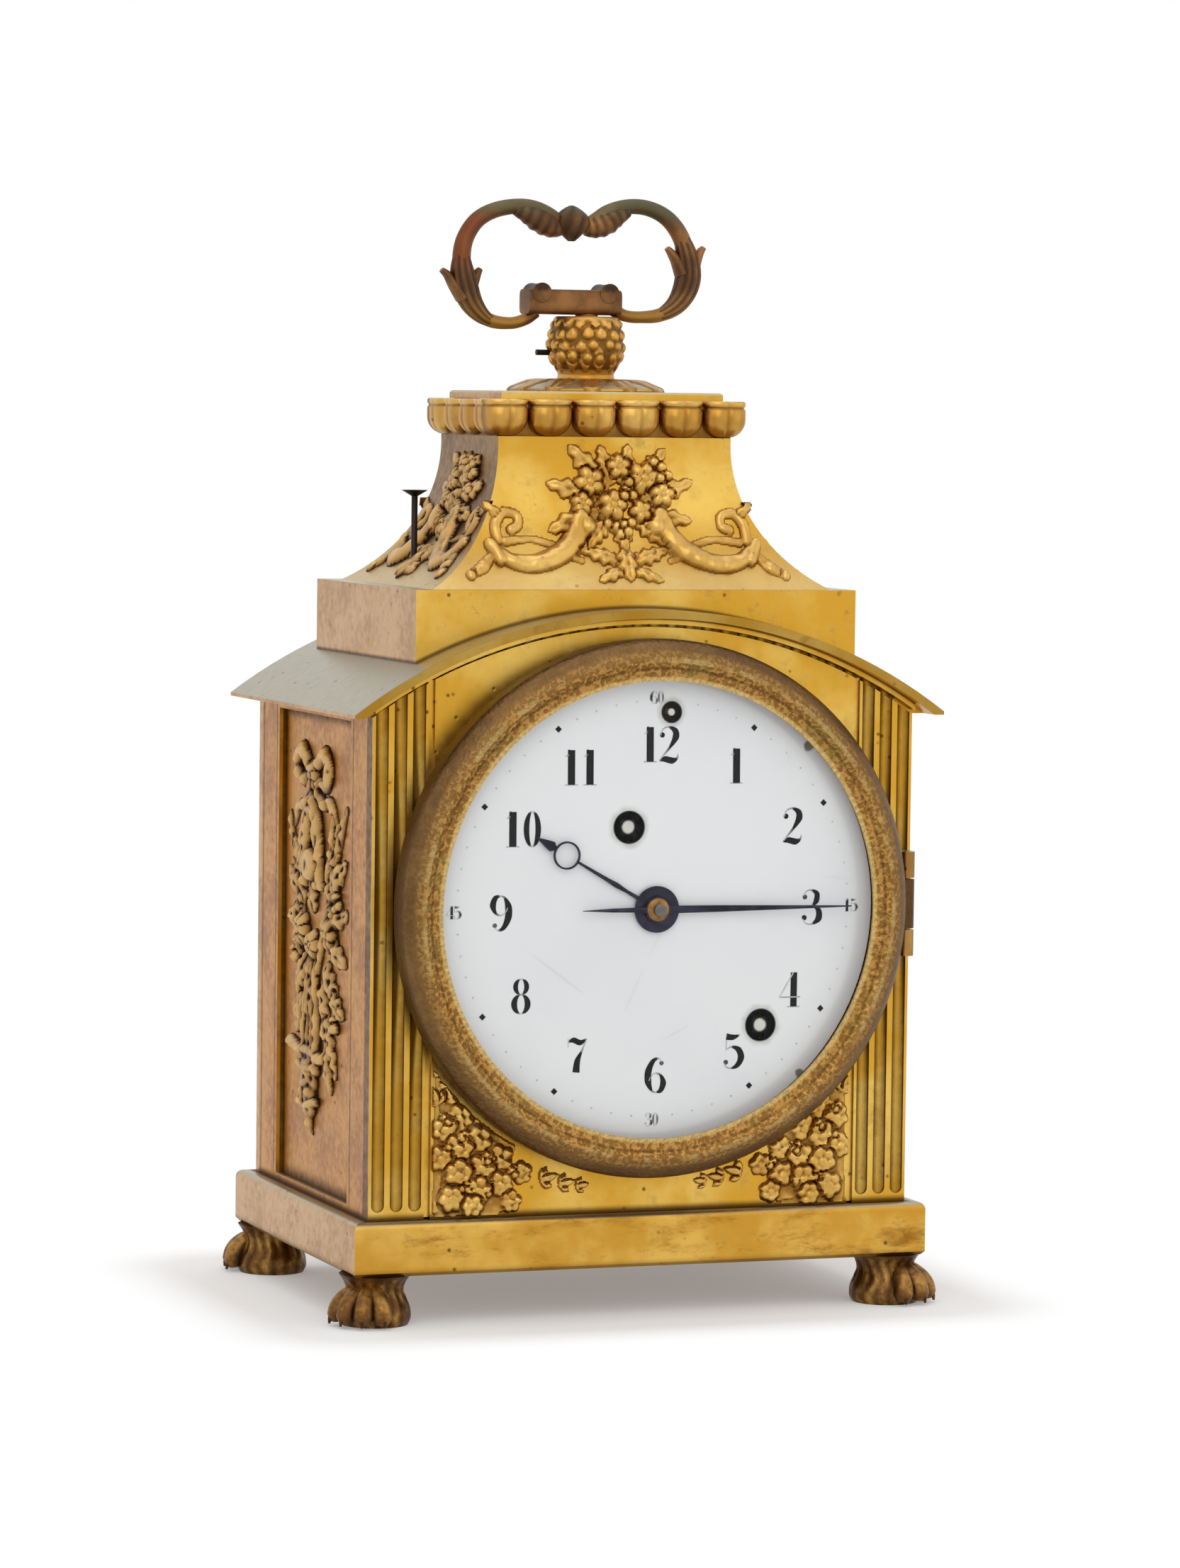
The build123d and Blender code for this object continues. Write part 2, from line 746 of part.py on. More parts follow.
# Hood with hollow sides, cast as a shell
with BuildPart() as cavetto_hood:
    add(hood_outer)
    add(hood_inner, mode=Mode.SUBTRACT)
    with Locations((0, 0, hood_top)):
        Cylinder(tie_radius, 4 * hood_wall, mode=Mode.SUBTRACT)
    with Locations((push_x, push_y, hood_top)):
        Cylinder(push_rod + push_fit, 2 * hood_height, mode=Mode.SUBTRACT)
write(cavetto_hood.part, "cavetto_hood")


def flower_outline(spread, rise):
    # Bouquet with two horns that curve outwards and a leaf swag under it
    with BuildSketch() as face:
        with Locations((0, attic_top + rise + 1)):
            Ellipse(spread * 0.42, rise * 0.68)
        for side in (-1, 1):
            with Locations((side * spread * 0.62, attic_top + rise * 0.42)):
                Ellipse(spread * 0.34, rise * 0.17)
            with Locations((side * spread * 0.78, attic_top + rise * 0.66)):
                Circle(rise * 0.16)
        with Locations((0, attic_top + rise * 0.3)):
            Ellipse(spread * 0.3, rise * 0.2)
    return face.sketch


# Flower and horn mounts on the four faces of the hood, each fitted to its hollow face
mount_spread = 29.0
mount_rise = 14.2
with BuildPart() as hood_mounts:
    with BuildSketch(facing_ground(hood_foot_half_depth + mount_relief)):
        add(flower_outline(mount_spread, mount_rise))
    extrude(amount=2 * (hood_foot_half_depth + mount_relief))
    with BuildSketch(
        Plane((-hood_foot_half_width - mount_relief, 0, 0), x_dir=(0, -1, 0), z_dir=(-1, 0, 0))
    ):
        add(sweep_outline(hood_foot_half_depth, hood_top_half_depth, hood_sweep_y, -mount_relief, hood_top))
    extrude(amount=-2 * (hood_foot_half_width + mount_relief), mode=Mode.INTERSECT)
    add(hood_outer, mode=Mode.SUBTRACT)
with BuildPart() as hood_side_mounts:
    with BuildSketch(
        Plane((-hood_foot_half_width - mount_relief, 0, 0), x_dir=(0, -1, 0), z_dir=(-1, 0, 0))
    ):
        add(flower_outline(mount_spread * 0.66, mount_rise))
    extrude(amount=-2 * (hood_foot_half_width + mount_relief))
    with BuildSketch(facing_ground(hood_foot_half_depth + mount_relief)):
        add(sweep_outline(hood_foot_half_width, hood_top_half_width, hood_sweep_x, -mount_relief, hood_top))
    extrude(amount=2 * (hood_foot_half_depth + mount_relief), mode=Mode.INTERSECT)
    add(hood_outer, mode=Mode.SUBTRACT)
    with Locations((push_x, push_y, hood_top)):
        Cylinder(push_rod + 3 * push_fit, 2 * hood_height, mode=Mode.SUBTRACT)
with BuildPart() as all_hood_mounts:
    add(hood_mounts.part)
    add(hood_side_mounts.part)
write(all_hood_mounts.part, "hood_mounts")

# Gadroon cornice: a slab with rounded lobes that hang round its edge
lobe_x = cornice_half_width - lobe_radius
lobe_y = cornice_half_depth - lobe_radius
lobe_spots = []
for index in range(lobes_front):
    for side in (-1, 1):
        lobe_spots.append(((index - (lobes_front - 1) / 2) * lobe_pitch, side * lobe_y))
for index in range(lobes_side):
    for side in (-1, 1):
        lobe_spots.append((side * lobe_x, (index - (lobes_side - 1) / 2) * lobe_pitch))
with BuildPart() as lobe:
    with BuildSketch(Plane.XZ):
        with BuildLine():
            Line((0, hood_top), (lobe_radius - lobe_toe, hood_top))
            ThreePointArc(
                (lobe_radius - lobe_toe, hood_top),
                (lobe_radius - lobe_toe * (1 - sin(pi / 4)), hood_top + lobe_toe * (1 - cos(pi / 4))),
                (lobe_radius, hood_top + lobe_toe),
            )
            Polyline(
                (lobe_radius, hood_top + lobe_toe),
                (lobe_radius, cornice_top),
                (0, cornice_top),
                (0, hood_top),
            )
        make_face()
    revolve(axis=Axis.Z)
with BuildPart() as gadroon_cornice:
    with BuildSketch(Plane.XY.offset(hood_top)):
        Rectangle(2 * lobe_x + 1, 2 * lobe_y + 1)
    extrude(amount=cornice_height)
    for x, y in lobe_spots:
        add(lobe.part.moved(Location((x, y, 0))))
    with Locations((0, 0, hood_top)):
        Cylinder(tie_radius, 4 * cornice_height, mode=Mode.SUBTRACT)
write(gadroon_cornice.part, "gadroon_cornice")

# Cap plate with a leaf rosette turned on it
with BuildPart() as cap_plate:
    with BuildSketch(Plane.XY.offset(cornice_top)):
        Rectangle(2 * cap_half_width, 2 * cap_half_depth)
    extrude(amount=cap_height)
    chamfer(cap_plate.faces().sort_by(Axis.Z)[-1].edges(), 0.4)
    with BuildSketch(Plane.XZ):
        with BuildLine():
            Polyline((0, cap_top), (rosette_radius - 1, cap_top), (rosette_radius - 1, cap_top + 0.5))
            ThreePointArc(
                (rosette_radius - 1, cap_top + 0.5),
                (rosette_radius * 0.72, knob_base - 0.3),
                (knob_neck_radius, knob_base),
            )
            Polyline((knob_neck_radius, knob_base), (0, knob_base), (0, cap_top))
        make_face()
    revolve(axis=Axis.Z)
    with Locations((0, 0, cornice_top)):
        Cylinder(tie_radius, 4 * (knob_base - cornice_top), mode=Mode.SUBTRACT)
write(cap_plate.part, "cap_plate")

# Knob: a round vase that holds the stem of the handle
stem_bottom = knob_top - stem_depth
with BuildPart() as finial_knob:
    with BuildSketch(Plane.XZ):
        with BuildLine():
            Line((0, knob_base), (knob_neck_radius, knob_base))
            Line((knob_neck_radius, knob_base), (knob_neck_radius, knob_base + 1.4))
            ThreePointArc(
                (knob_neck_radius, knob_base + 1.4),
                (knob_radius, knob_base + knob_height * 0.56),
                (knob_lip_radius, knob_top),
            )
            Polyline((knob_lip_radius, knob_top), (0, knob_top), (0, knob_base))
        make_face()
    revolve(axis=Axis.Z)
    with Locations((0, 0, knob_top)):
        Cylinder(stem_radius + running_fit, 2 * (stem_depth + handle_gap), mode=Mode.SUBTRACT)
    with Locations((0, 0, knob_base)):
        Cylinder(tie_radius, 4, mode=Mode.SUBTRACT)
    with Locations(
        Location((0, groove_radius + running_fit + cross_pin_radius, knob_base + cross_pin_rise))
    ):
        Cylinder(cross_pin_radius, 4 * knob_radius, rotation=(0, 90, 0), mode=Mode.SUBTRACT)
write(finial_knob.part, "finial_knob")

pin_middle = (cross_pin_left + cross_pin_right) / 2
with BuildPart() as handle_pin:
    with Locations((pin_middle, groove_radius + running_fit + cross_pin_radius, knob_base + cross_pin_rise)):
        Cylinder(cross_pin_radius, cross_pin_right - cross_pin_left, rotation=(0, 90, 0))
write(handle_pin.part, "handle_pin")

# Tie bolt from the knob down to a nut under the roof
tie_bottom = roof_crown - roof_sheet - tie_nut_height
with BuildPart() as tie_bolt:
    with BuildSketch(Plane.XY.offset(tie_bottom)):
        Circle(tie_radius)
    extrude(amount=knob_base + 2 - tie_bottom)
    with BuildSketch(Plane.XY.offset(tie_bottom)):
        RegularPolygon(tie_nut_radius, 6)
    extrude(amount=tie_nut_height - 0.1)
write(tie_bolt.part, "tie_bolt")

# Handle: two C-scrolls that meet in a bud, a bar with two ears and a grooved stem
bar_bottom = knob_top + handle_gap
bar_middle = (handle_bar_left + handle_bar_right) / 2
loops = (
    ((handle_bar_left + 1, 190.6), (-26.0, 188.3), (-26.0, 210.1), (-12.5, 209.9), (-4.0, 206.0)),
    ((handle_bar_right - 1, 191.2), (21.3, 190.0), (21.3, 210.9), (6.2, 210.9), (-2.2, 206.2)),
)
with BuildPart() as handle:
    for loop in loops:
        with BuildLine(Plane.XZ):
            path = FilletPolyline(*loop, radius=(9.0, 10.0, 5.0))
        with BuildSketch(Plane(path @ 0, z_dir=path % 0)):
            Circle(handle_tube)
        sweep(path=path)
    for x, z in ((-25.9, 197.5), (21.3, 199.5)):
        with Locations((x, 0, z)):
            Cylinder(handle_tube + 0.7, 9)
    with Locations((bar_middle, 0, bar_bottom + handle_bar_height / 2)):
        Box(handle_bar_right - handle_bar_left, handle_bar_depth, handle_bar_height)
    for x in (handle_bar_left + handle_ear, handle_bar_right - handle_ear):
        with Locations((x, 0, bar_bottom + handle_bar_height - 1.7)):
            Cylinder(handle_ear, handle_bar_depth + 1, rotation=(90, 0, 0))
    with Locations((bar_middle, 0, bar_bottom + handle_bar_height + 12.9)):
        Sphere(bud_radius)
    for low, high, width in ((-11.5, -5.5, 1.9), (-0.8, 5.0, 1.9)):
        with Locations(((low + high) / 2, 0, 207.9)):
            Sphere(width + 0.6)
    for tip in (
        ((-27.0, 194.5), (-25.0, 198.2), (-30.1, 198.4)),
        ((-25.4, 195.0), (-21.6, 198.4), (-25.6, 200.2)),
        ((22.0, 198.0), (22.4, 202.0), (24.3, 203.5)),
        ((20.6, 198.0), (16.3, 202.7), (21.2, 204.0)),
    ):
        with BuildSketch(Plane.XZ):
            with BuildLine():
                Polyline(*tip, close=True)
            make_face()
        extrude(amount=1.3, both=True)
    with BuildSketch(Plane.XY.offset(stem_bottom)):
        Circle(stem_radius)
    extrude(amount=bar_bottom + 1 - stem_bottom)
    groove_middle = knob_base + cross_pin_rise
    with BuildSketch(Plane.XY.offset(groove_middle - groove_height / 2)):
        Circle(stem_radius + 1)
        Circle(groove_radius, mode=Mode.SUBTRACT)
    extrude(amount=groove_height, mode=Mode.SUBTRACT)
write(handle.part, "handle")

# Repeat push: a pin with a dished head, a collar under the attic plate and a return spring
push_collar_top = attic_top - attic_wall - 0.3
roof_at_push = arch_centre + sqrt(roof_radius**2 - (abs(push_x) - spring_outer) ** 2)
with BuildPart() as repeat_push:
    with BuildSketch(Plane((push_x, push_y, push_foot))):
        Circle(push_rod)
    extrude(amount=push_head_top - push_foot)
    with BuildSketch(Plane((push_x, push_y, push_head_top - push_head_thick))):
        Circle(push_rod)
    with BuildSketch(Plane((push_x, push_y, push_head_top))):
        Circle(push_head_radius)
    loft()
    with BuildSketch(Plane((push_x, push_y, push_collar_top - push_collar_thick))):
        Circle(push_collar)
    extrude(amount=push_collar_thick)
write(repeat_push.part, "repeat_push")

with BuildPart() as repeat_spring:
    with BuildSketch(Plane((push_x, push_y, roof_at_push + 0.2))):
        Circle(spring_outer)
        Circle(spring_inner, mode=Mode.SUBTRACT)
    extrude(amount=push_collar_top - push_collar_thick - roof_at_push - 0.3)
write(repeat_spring.part, "repeat_spring")

# Dial ring: a tube and flange screwed to the front wall, with two fixed knuckles of the bezel hinge
ring_face = panel_face - ring_flange_thick
dial_axis = Axis((0, 0, dial_height), (0, 1, 0))
dial_section = Plane((0, 0, dial_height))
with BuildPart() as dial_ring:
    with BuildSketch(dial_section):
        with BuildLine():
            Polyline(
                (ring_bore, panel_face),
                (ring_flange, panel_face),
                (ring_flange, ring_face),
                (ring_tube, ring_face),
                (ring_tube, dial_back),
                (ring_bore, dial_back),
                close=True,
            )
        make_face()
    revolve(axis=dial_axis)
    for end in (-1, 1):
        knuckle_z = dial_height + end * (bezel_knuckle_half + bezel_hinge_half) / 2
        knuckle_length = bezel_hinge_half - bezel_knuckle_half
        with Locations((bezel_hinge_x, bezel_hinge_y, knuckle_z)):
            Cylinder(knuckle_radius, knuckle_length)
        with Locations((bezel_hinge_x - 1.3, (panel_face - 0.3 + ring_face) / 2, knuckle_z)):
            Box(5.6, panel_face - 0.3 - ring_face, knuckle_length)
        with Locations((bezel_hinge_x + 0.6, (ring_face + bezel_hinge_y) / 2, knuckle_z)):
            Box(1.8, ring_face - bezel_hinge_y, knuckle_length)
    with Locations((bezel_hinge_x, bezel_hinge_y, dial_height)):
        Cylinder(pin_radius, 2 * bezel_hinge_half, mode=Mode.SUBTRACT)
write(dial_ring.part, "dial_ring")

# Bezel: a turned frame with a crest between two sloping bands, and the middle knuckle of its hinge
bezel_back = ring_face - bezel_gap
with BuildPart() as bezel:
    with BuildSketch(dial_section):
        with BuildLine():
            Polyline(
                (bezel_bore, lip_back),
                (bezel_bore, bezel_back),
                (bezel_radius, bezel_back),
                (bezel_radius, bezel_side_front),
            )
            ThreePointArc(
                (bezel_radius, bezel_side_front),
                ((bezel_radius + crest_outer) / 2 + 0.5, (bezel_side_front + crest_front) / 2 - 0.35),
                (crest_outer, crest_front),
            )
            Polyline((crest_outer, crest_front), (crest_inner, crest_front))
            ThreePointArc(
                (crest_inner, crest_front),
                ((crest_inner + sight_radius) / 2, (crest_front + lip_front) / 2 + 0.3),
                (sight_radius, lip_front),
            )
            Polyline((sight_radius, lip_front), (sight_radius, lip_back), (bezel_bore, lip_back))
        make_face()
    revolve(axis=dial_axis)
    for end in (-1, 1):
        knuckle_z = dial_height + end * (bezel_knuckle_half + bezel_hinge_half) / 2
        with Locations((bezel_hinge_x, bezel_hinge_y, knuckle_z)):
            Cylinder(
                knuckle_radius + bezel_gap, bezel_hinge_half - bezel_knuckle_half + 0.6, mode=Mode.SUBTRACT
            )
    knuckle_length = 2 * (bezel_knuckle_half - bezel_gap)
    with Locations((bezel_hinge_x, bezel_hinge_y, dial_height)):
        Cylinder(knuckle_radius, knuckle_length)
    with Locations(
        ((bezel_radius + bezel_hinge_x) / 2 - 0.7, bezel_hinge_y - knuckle_radius / 2, dial_height)
    ):
        Box(bezel_hinge_x - bezel_radius + 1.4, knuckle_radius, knuckle_length)
    with Locations((bezel_hinge_x, bezel_hinge_y, dial_height)):
        Cylinder(pin_radius + pin_fit, knuckle_length, mode=Mode.SUBTRACT)
write(bezel.part, "bezel")

with BuildPart() as bezel_hinge_pin:
    with Locations((bezel_hinge_x, bezel_hinge_y, dial_height)):
        Cylinder(pin_radius, 2 * bezel_hinge_half)
write(bezel_hinge_pin.part, "bezel_hinge_pin")

# Domed glass behind the lip of the bezel
glass_half_front = dome_level(glass_front, glass_edge_front, glass_radius)
with BuildPart() as bezel_glass:
    with BuildSketch(dial_section):
        with BuildLine():
            ThreePointArc(
                (0, glass_front),
                (glass_radius / 2, glass_half_front),
                (glass_radius, glass_edge_front),
            )
            Line((glass_radius, glass_edge_front), (glass_radius, glass_edge_front + glass_thick))
            ThreePointArc(
                (glass_radius, glass_edge_front + glass_thick),
                (glass_radius / 2, glass_half_front + glass_thick),
                (0, glass_front + glass_thick),
            )
            Line((0, glass_front + glass_thick), (0, glass_front))
        make_face()
    revolve(axis=dial_axis)
write(bezel_glass.part, "bezel_glass")

# Enamel dial, slightly domed, with its three feet and its holes
dial_half_front = dome_level(dial_front, dial_edge_front, dial_radius)
dial_holes = (
    ((0.0, 0.0), hand_hole_radius),
    (strike_spot, arbor_hole_radius),
    (barrel_spot, arbor_hole_radius),
    (regulator_spot, regulator_hole_radius),
)
with BuildPart() as dial:
    with BuildSketch(dial_section):
        with BuildLine():
            ThreePointArc(
                (0, dial_front),
                (dial_radius / 2, dial_half_front),
                (dial_radius, dial_edge_front),
            )
            Polyline(
                (dial_radius, dial_edge_front),
                (dial_radius, dial_back),
                (0, dial_back),
                (0, dial_front),
            )
        make_face()
    revolve(axis=dial_axis)
    for spot, radius in dial_holes:
        extrude(disc(facing(dial_back, spot), radius), amount=dial_back - dial_front, mode=Mode.SUBTRACT)
    for bearing in (20, 160, 262):
        foot_spot = step_from((0, 0), dial_foot_ring, bearing)
        extrude(
            disc(facing(front_wall_back, foot_spot), dial_foot_radius),
            amount=front_wall_back - dial_back,
        )
write(dial.part, "dial")

# Movement plates with pivot holes
train_arbors = (
    intermediate_spot,
    third_spot,
    fourth_spot,
    escape_spot,
    pin_wheel_spot,
    fly_spot,
)
winding_arbors = (barrel_spot, strike_spot)
plate_holes = [(spot, pivot_radius) for spot in train_arbors]
plate_holes += [(spot, winding_radius) for spot in winding_arbors]
plate_holes += [
    ((0.0, 0.0), centre_arbor_radius),
    (hammer_spot, arbor_radius),
    (regulator_spot, arbor_radius),
]


def plate_face(plane, holes):
    # Outline of a plate with cut corners and a hole with running fit for each arbor
    with BuildSketch(plane) as face:
        Rectangle(2 * plate_half_width, 2 * plate_half_height)
        chamfer(face.vertices(), plate_corner)
        for spot, radius in holes:
            with Locations(spot):
                Circle(radius + running_fit, mode=Mode.SUBTRACT)
    return face.sketch


# Pillars stand inside the cut corners, and two flank the going barrel
pillar_spots = ((-31.0, 33.0), (31.0, 33.0), (-31.0, -34.0), (3.0, -36.0), (35.0, -2.0))
minute_post_radius = 0.9
minute_post_end = -38.6
with BuildPart() as front_plate:
    extrude(plate_face(facing(plate_inner), plate_holes), amount=plate_thick)
    for spot in pillar_spots:
        extrude(disc(facing(back_plate_front, spot), pillar_radius), amount=plate_space)
    extrude(
        disc(facing(front_wall_back, minute_spot), minute_post_radius),
        amount=front_wall_back - minute_post_end,
    )
write(front_plate.part, "front_plate")

staff_hole = staff_radius + 0.5
with BuildPart() as back_plate:
    extrude(plate_face(facing(back_plate_back), plate_holes), amount=plate_thick)
    extrude(disc(facing(back_plate_back, balance_spot), staff_hole), amount=plate_thick, mode=Mode.SUBTRACT)
    post_end = bell_rim + bell_depth
    extrude(
        disc(facing(post_end - bell_wall, bell_spot), bell_post_radius),
        amount=post_end - bell_wall - back_plate_back,
    )
    extrude(disc(facing(post_end + 2.2, bell_spot), bell_thread_radius), amount=2.2 + bell_wall)
write(back_plate.part, "back_plate")

# Screws that hold the back plate to the pillars, heads on the back
with BuildPart() as plate_screws:
    for spot in pillar_spots:
        extrude(
            disc(facing(back_plate_back + screw_head_thick, spot), screw_head), amount=screw_head_thick
        )
    for spot in pillar_spots:
        slot_middle = (spot[0], back_plate_back + screw_head_thick, dial_height + spot[1])
        with Locations(slot_middle):
            Box(2 * screw_head + 1, 0.8, 0.6, mode=Mode.SUBTRACT)
write(plate_screws.part, "plate_screws")


def arbor_with_pivots(spot, front_end, back_end, radius=arbor_radius):
    # A plain arbor with a pivot into each plate
    with BuildPart() as solid:
        front_shoulder = level(end_shake)
        back_shoulder = level(plate_space - end_shake)
        extrude(disc(facing(back_shoulder, spot), radius), amount=back_shoulder - front_shoulder)
        extrude(disc(facing(back_end, spot), pivot_radius), amount=back_end - front_end)
    return solid.part


front_pivot = level(-pivot_length)
back_pivot = level(plate_space + pivot_length)


def going_wheel(spot, teeth, module, turn, wheel_level, leaves, leaf_module, leaf_turn, leaf_levels):
    # An arbor with its pinion and its crossed-out wheel
    with BuildPart() as solid:
        add(arbor_with_pivots(spot, front_pivot, back_pivot))
        wheel_plane = facing(level(wheel_level + wheel_thick), spot)
        extrude(toothed(wheel_plane, teeth, module, turn, windows=5), amount=wheel_thick)
        leaf_plane = facing(level(leaf_levels[1]), spot)
        extrude(
            toothed(leaf_plane, leaves, leaf_module, leaf_turn, pinion=True),
            amount=leaf_levels[1] - leaf_levels[0],
        )
    return solid.part


def barrel_solid(spot, teeth, module, turn, radius, drum_levels, tooth_levels):
    # A hollow drum for the mainspring with its toothed ring
    bore = winding_radius + running_fit
    with BuildPart() as solid:
        drum_length = drum_levels[1] - drum_levels[0]
        extrude(disc(facing(level(drum_levels[1]), spot), radius, bore), amount=drum_length)
        tooth_length = tooth_levels[1] - tooth_levels[0]
        ring = toothed(facing(level(tooth_levels[1]), spot), teeth, module, turn, bore=bore)
        extrude(ring, amount=tooth_length)
        inside = disc(
            facing(level(tooth_levels[1] - barrel_shell), spot),
            radius - barrel_shell,
            bore + barrel_shell,
        )
        extrude(inside, amount=tooth_levels[1] - drum_levels[0] - 2 * barrel_shell, mode=Mode.SUBTRACT)
    return solid.part


def winding_arbor_solid(spot, back_end):
    # Winding arbor with a round journal, a ratchet wheel in front of the plate and a square end
    ratchet_back = front_wall_back - 0.3
    ratchet_thick = 1.2
    with BuildPart() as solid:
        extrude(disc(facing(back_end, spot), winding_radius), amount=back_end - ratchet_back)
        with BuildSketch(facing(ratchet_back, spot)):
            with BuildLine():
                Polyline(ratchet_outline(), close=True)
            make_face()
        extrude(amount=ratchet_thick)
        with BuildSketch(facing(ratchet_back, spot)):
            Rectangle(winding_square, winding_square)
            chamfer(vertices(), 0.3)
        extrude(amount=ratchet_back - winding_square_end)
    return solid.part


ratchet_radius = 5.0
ratchet_teeth = 16
ratchet_depth = 0.8
winding_square_end = -41.9


def ratchet_outline():
    # Saw teeth
    points = []
    for index in range(ratchet_teeth):
        start = radians(index * 360 / ratchet_teeth)
        points.append(
            ((ratchet_radius - ratchet_depth) * cos(start), (ratchet_radius - ratchet_depth) * sin(start))
        )
        points.append((ratchet_radius * cos(start), ratchet_radius * sin(start)))
    return points


# Going barrel and strike barrel on their winding arbors
barrel_part = barrel_solid(
    barrel_spot, barrel_teeth, barrel_module, barrel_turn, barrel_radius, (4.0, 13.0), (13.0, 15.0)
)
write(barrel_part, "going_barrel")
strike_part = barrel_solid(
    strike_spot,
    strike_barrel_teeth,
    strike_barrel_module,
    strike_turn,
    strike_barrel_radius,
    (4.0, 13.0),
    (13.0, 15.0),
)
write(strike_part, "strike_barrel")
write(winding_arbor_solid(barrel_spot, back_pivot), "going_arbor")
write(winding_arbor_solid(strike_spot, back_pivot), "strike_arbor")

# Going train from the intermediate wheel to the escape wheel
intermediate_part = going_wheel(
    intermediate_spot, intermediate_teeth, intermediate_module, intermediate_turn, 17.0,
    intermediate_leaves, barrel_module, intermediate_pinion_turn, (12.4, 15.6),
)
write(intermediate_part, "intermediate_wheel")

with BuildPart() as centre_wheel:
    back_shoulder = level(plate_space - end_shake)
    extrude(disc(facing(back_shoulder), centre_arbor_radius), amount=back_shoulder - (cannon_front + 0.6))
    extrude(disc(facing(back_pivot), centre_arbor_radius), amount=2 * pivot_length)
    wheel_plane = facing(level(2.0 + wheel_thick))
    extrude(toothed(wheel_plane, centre_teeth, centre_module, centre_turn, windows=5), amount=wheel_thick)
    pinion_face = toothed(
        facing(level(18.8)),
        centre_leaves,
        intermediate_module,
        centre_pinion_turn,
        pinion=True,
    )
    extrude(pinion_face, amount=2.6)
write(centre_wheel.part, "centre_wheel")

third_part = going_wheel(
    third_spot, third_teeth, third_module, third_turn, 6.0,
    third_leaves, centre_module, third_pinion_turn, (1.2, 4.6),
)
write(third_part, "third_wheel")
fourth_part = going_wheel(
    fourth_spot, fourth_teeth, fourth_module, fourth_turn, 10.0,
    fourth_leaves, third_module, fourth_pinion_turn, (5.2, 8.2),
)
write(fourth_part, "fourth_wheel")

# Escape wheel with pointed teeth
with BuildPart() as escape_wheel:
    add(arbor_with_pivots(escape_spot, front_pivot, back_pivot, radius=0.6))
    with BuildSketch(facing(level(14.8), escape_spot)):
        with BuildLine():
            Polyline(
                [
                    (radius * cos(radians(turn)), radius * sin(radians(turn)))
                    for index in range(escape_teeth)
                    for radius, turn in (
                        (escape_radius * 0.76, index * 360 / escape_teeth),
                        (escape_radius, index * 360 / escape_teeth + 6),
                        (escape_radius * 0.76, index * 360 / escape_teeth + 9),
                    )
                ],
                close=True,
            )
        make_face()
        with PolarLocations(escape_radius * 0.45, 3):
            Circle(escape_radius * 0.16, mode=Mode.SUBTRACT)
    extrude(amount=0.6)
    extrude(
        toothed(
            facing(level(12.6), escape_spot),
            escape_leaves,
            fourth_module,
            escape_pinion_turn,
            pinion=True,
        ),
        amount=3.2,
    )
write(escape_wheel.part, "escape_wheel")

# Balance with its staff, hairspring and the cock that carries it behind the back plate
staff_front = level(12.9)
cock_front = cock_back - cock_thick
potence_level = level(12.0)
with BuildPart() as balance_wheel:
    extrude(
        disc(facing(cock_front - end_shake, balance_spot), staff_radius),
        amount=cock_front - end_shake - staff_front,
    )
    extrude(
        disc(facing(cock_back - 0.3, balance_spot), pivot_radius * 0.7),
        amount=cock_back - 0.3 - potence_level - 0.3,
    )
    with BuildSketch(facing(balance_front + balance_thick, balance_spot)):
        Circle(balance_radius)
        Circle(balance_radius - balance_rim, mode=Mode.SUBTRACT)
        for turn in (0, 60, 120):
            Rectangle(2 * balance_radius - balance_rim, 0.9, rotation=turn)
        Circle(staff_radius * 2)
    extrude(amount=balance_thick)
write(balance_wheel.part, "balance_wheel")

with BuildPart() as balance_cock:
    foot_place = (balance_spot[0] + 12.5, balance_spot[1])
    foot_middle = (back_plate_back + cock_back) / 2
    with Locations((foot_place[0], foot_middle, dial_height + foot_place[1])):
        Box(6, cock_back - back_plate_back, 7)
    with BuildSketch(facing(cock_back, balance_spot)):
        Circle(3.0)
        with Locations((6.5, 0)):
            Rectangle(13, 5)
    extrude(amount=cock_thick)
    extrude(
        disc(facing(cock_back, balance_spot), pivot_radius * 0.7 + running_fit),
        amount=cock_thick,
        mode=Mode.SUBTRACT,
    )
    potence_foot = (balance_spot[0] - 2.6, balance_spot[1] - 4.0)
    potence_length = back_plate_front - potence_level
    extrude(disc(facing(back_plate_front, potence_foot), 1.5), amount=potence_length)
    with BuildSketch(facing(potence_level + 0.8, balance_spot)):
        Circle(1.8)
        with Locations((-1.3, -2.0)):
            Rectangle(3.2, 5.2, rotation=-33)
        with Locations((-2.6, -4.0)):
            Circle(1.5)
        Circle(pivot_radius * 0.7 + running_fit, mode=Mode.SUBTRACT)
    extrude(amount=0.8)
write(balance_cock.part, "balance_cock")


def spiral_points(offset):
    steps = int(hairspring_turns * 20)
    points = []
    for index in range(steps + 1):
        turn = 2 * pi * index / 20
        radius = hairspring_start + hairspring_pitch * turn / (2 * pi) + offset
        points.append((radius * cos(turn), radius * sin(turn)))
    return points


hairspring_back = balance_front + balance_thick + 1.3
with BuildPart() as hairspring:
    with BuildSketch(facing(hairspring_back, balance_spot)):
        with BuildLine():
            outer_edge = spiral_points(hairspring_width / 2)
            inner_edge = spiral_points(-hairspring_width / 2)
            Polyline(outer_edge + inner_edge[::-1], close=True)
        make_face()
        Circle(hairspring_start + hairspring_width / 2)
        Circle(staff_radius, mode=Mode.SUBTRACT)
    extrude(amount=hairspring_height)
write(hairspring.part, "hairspring")

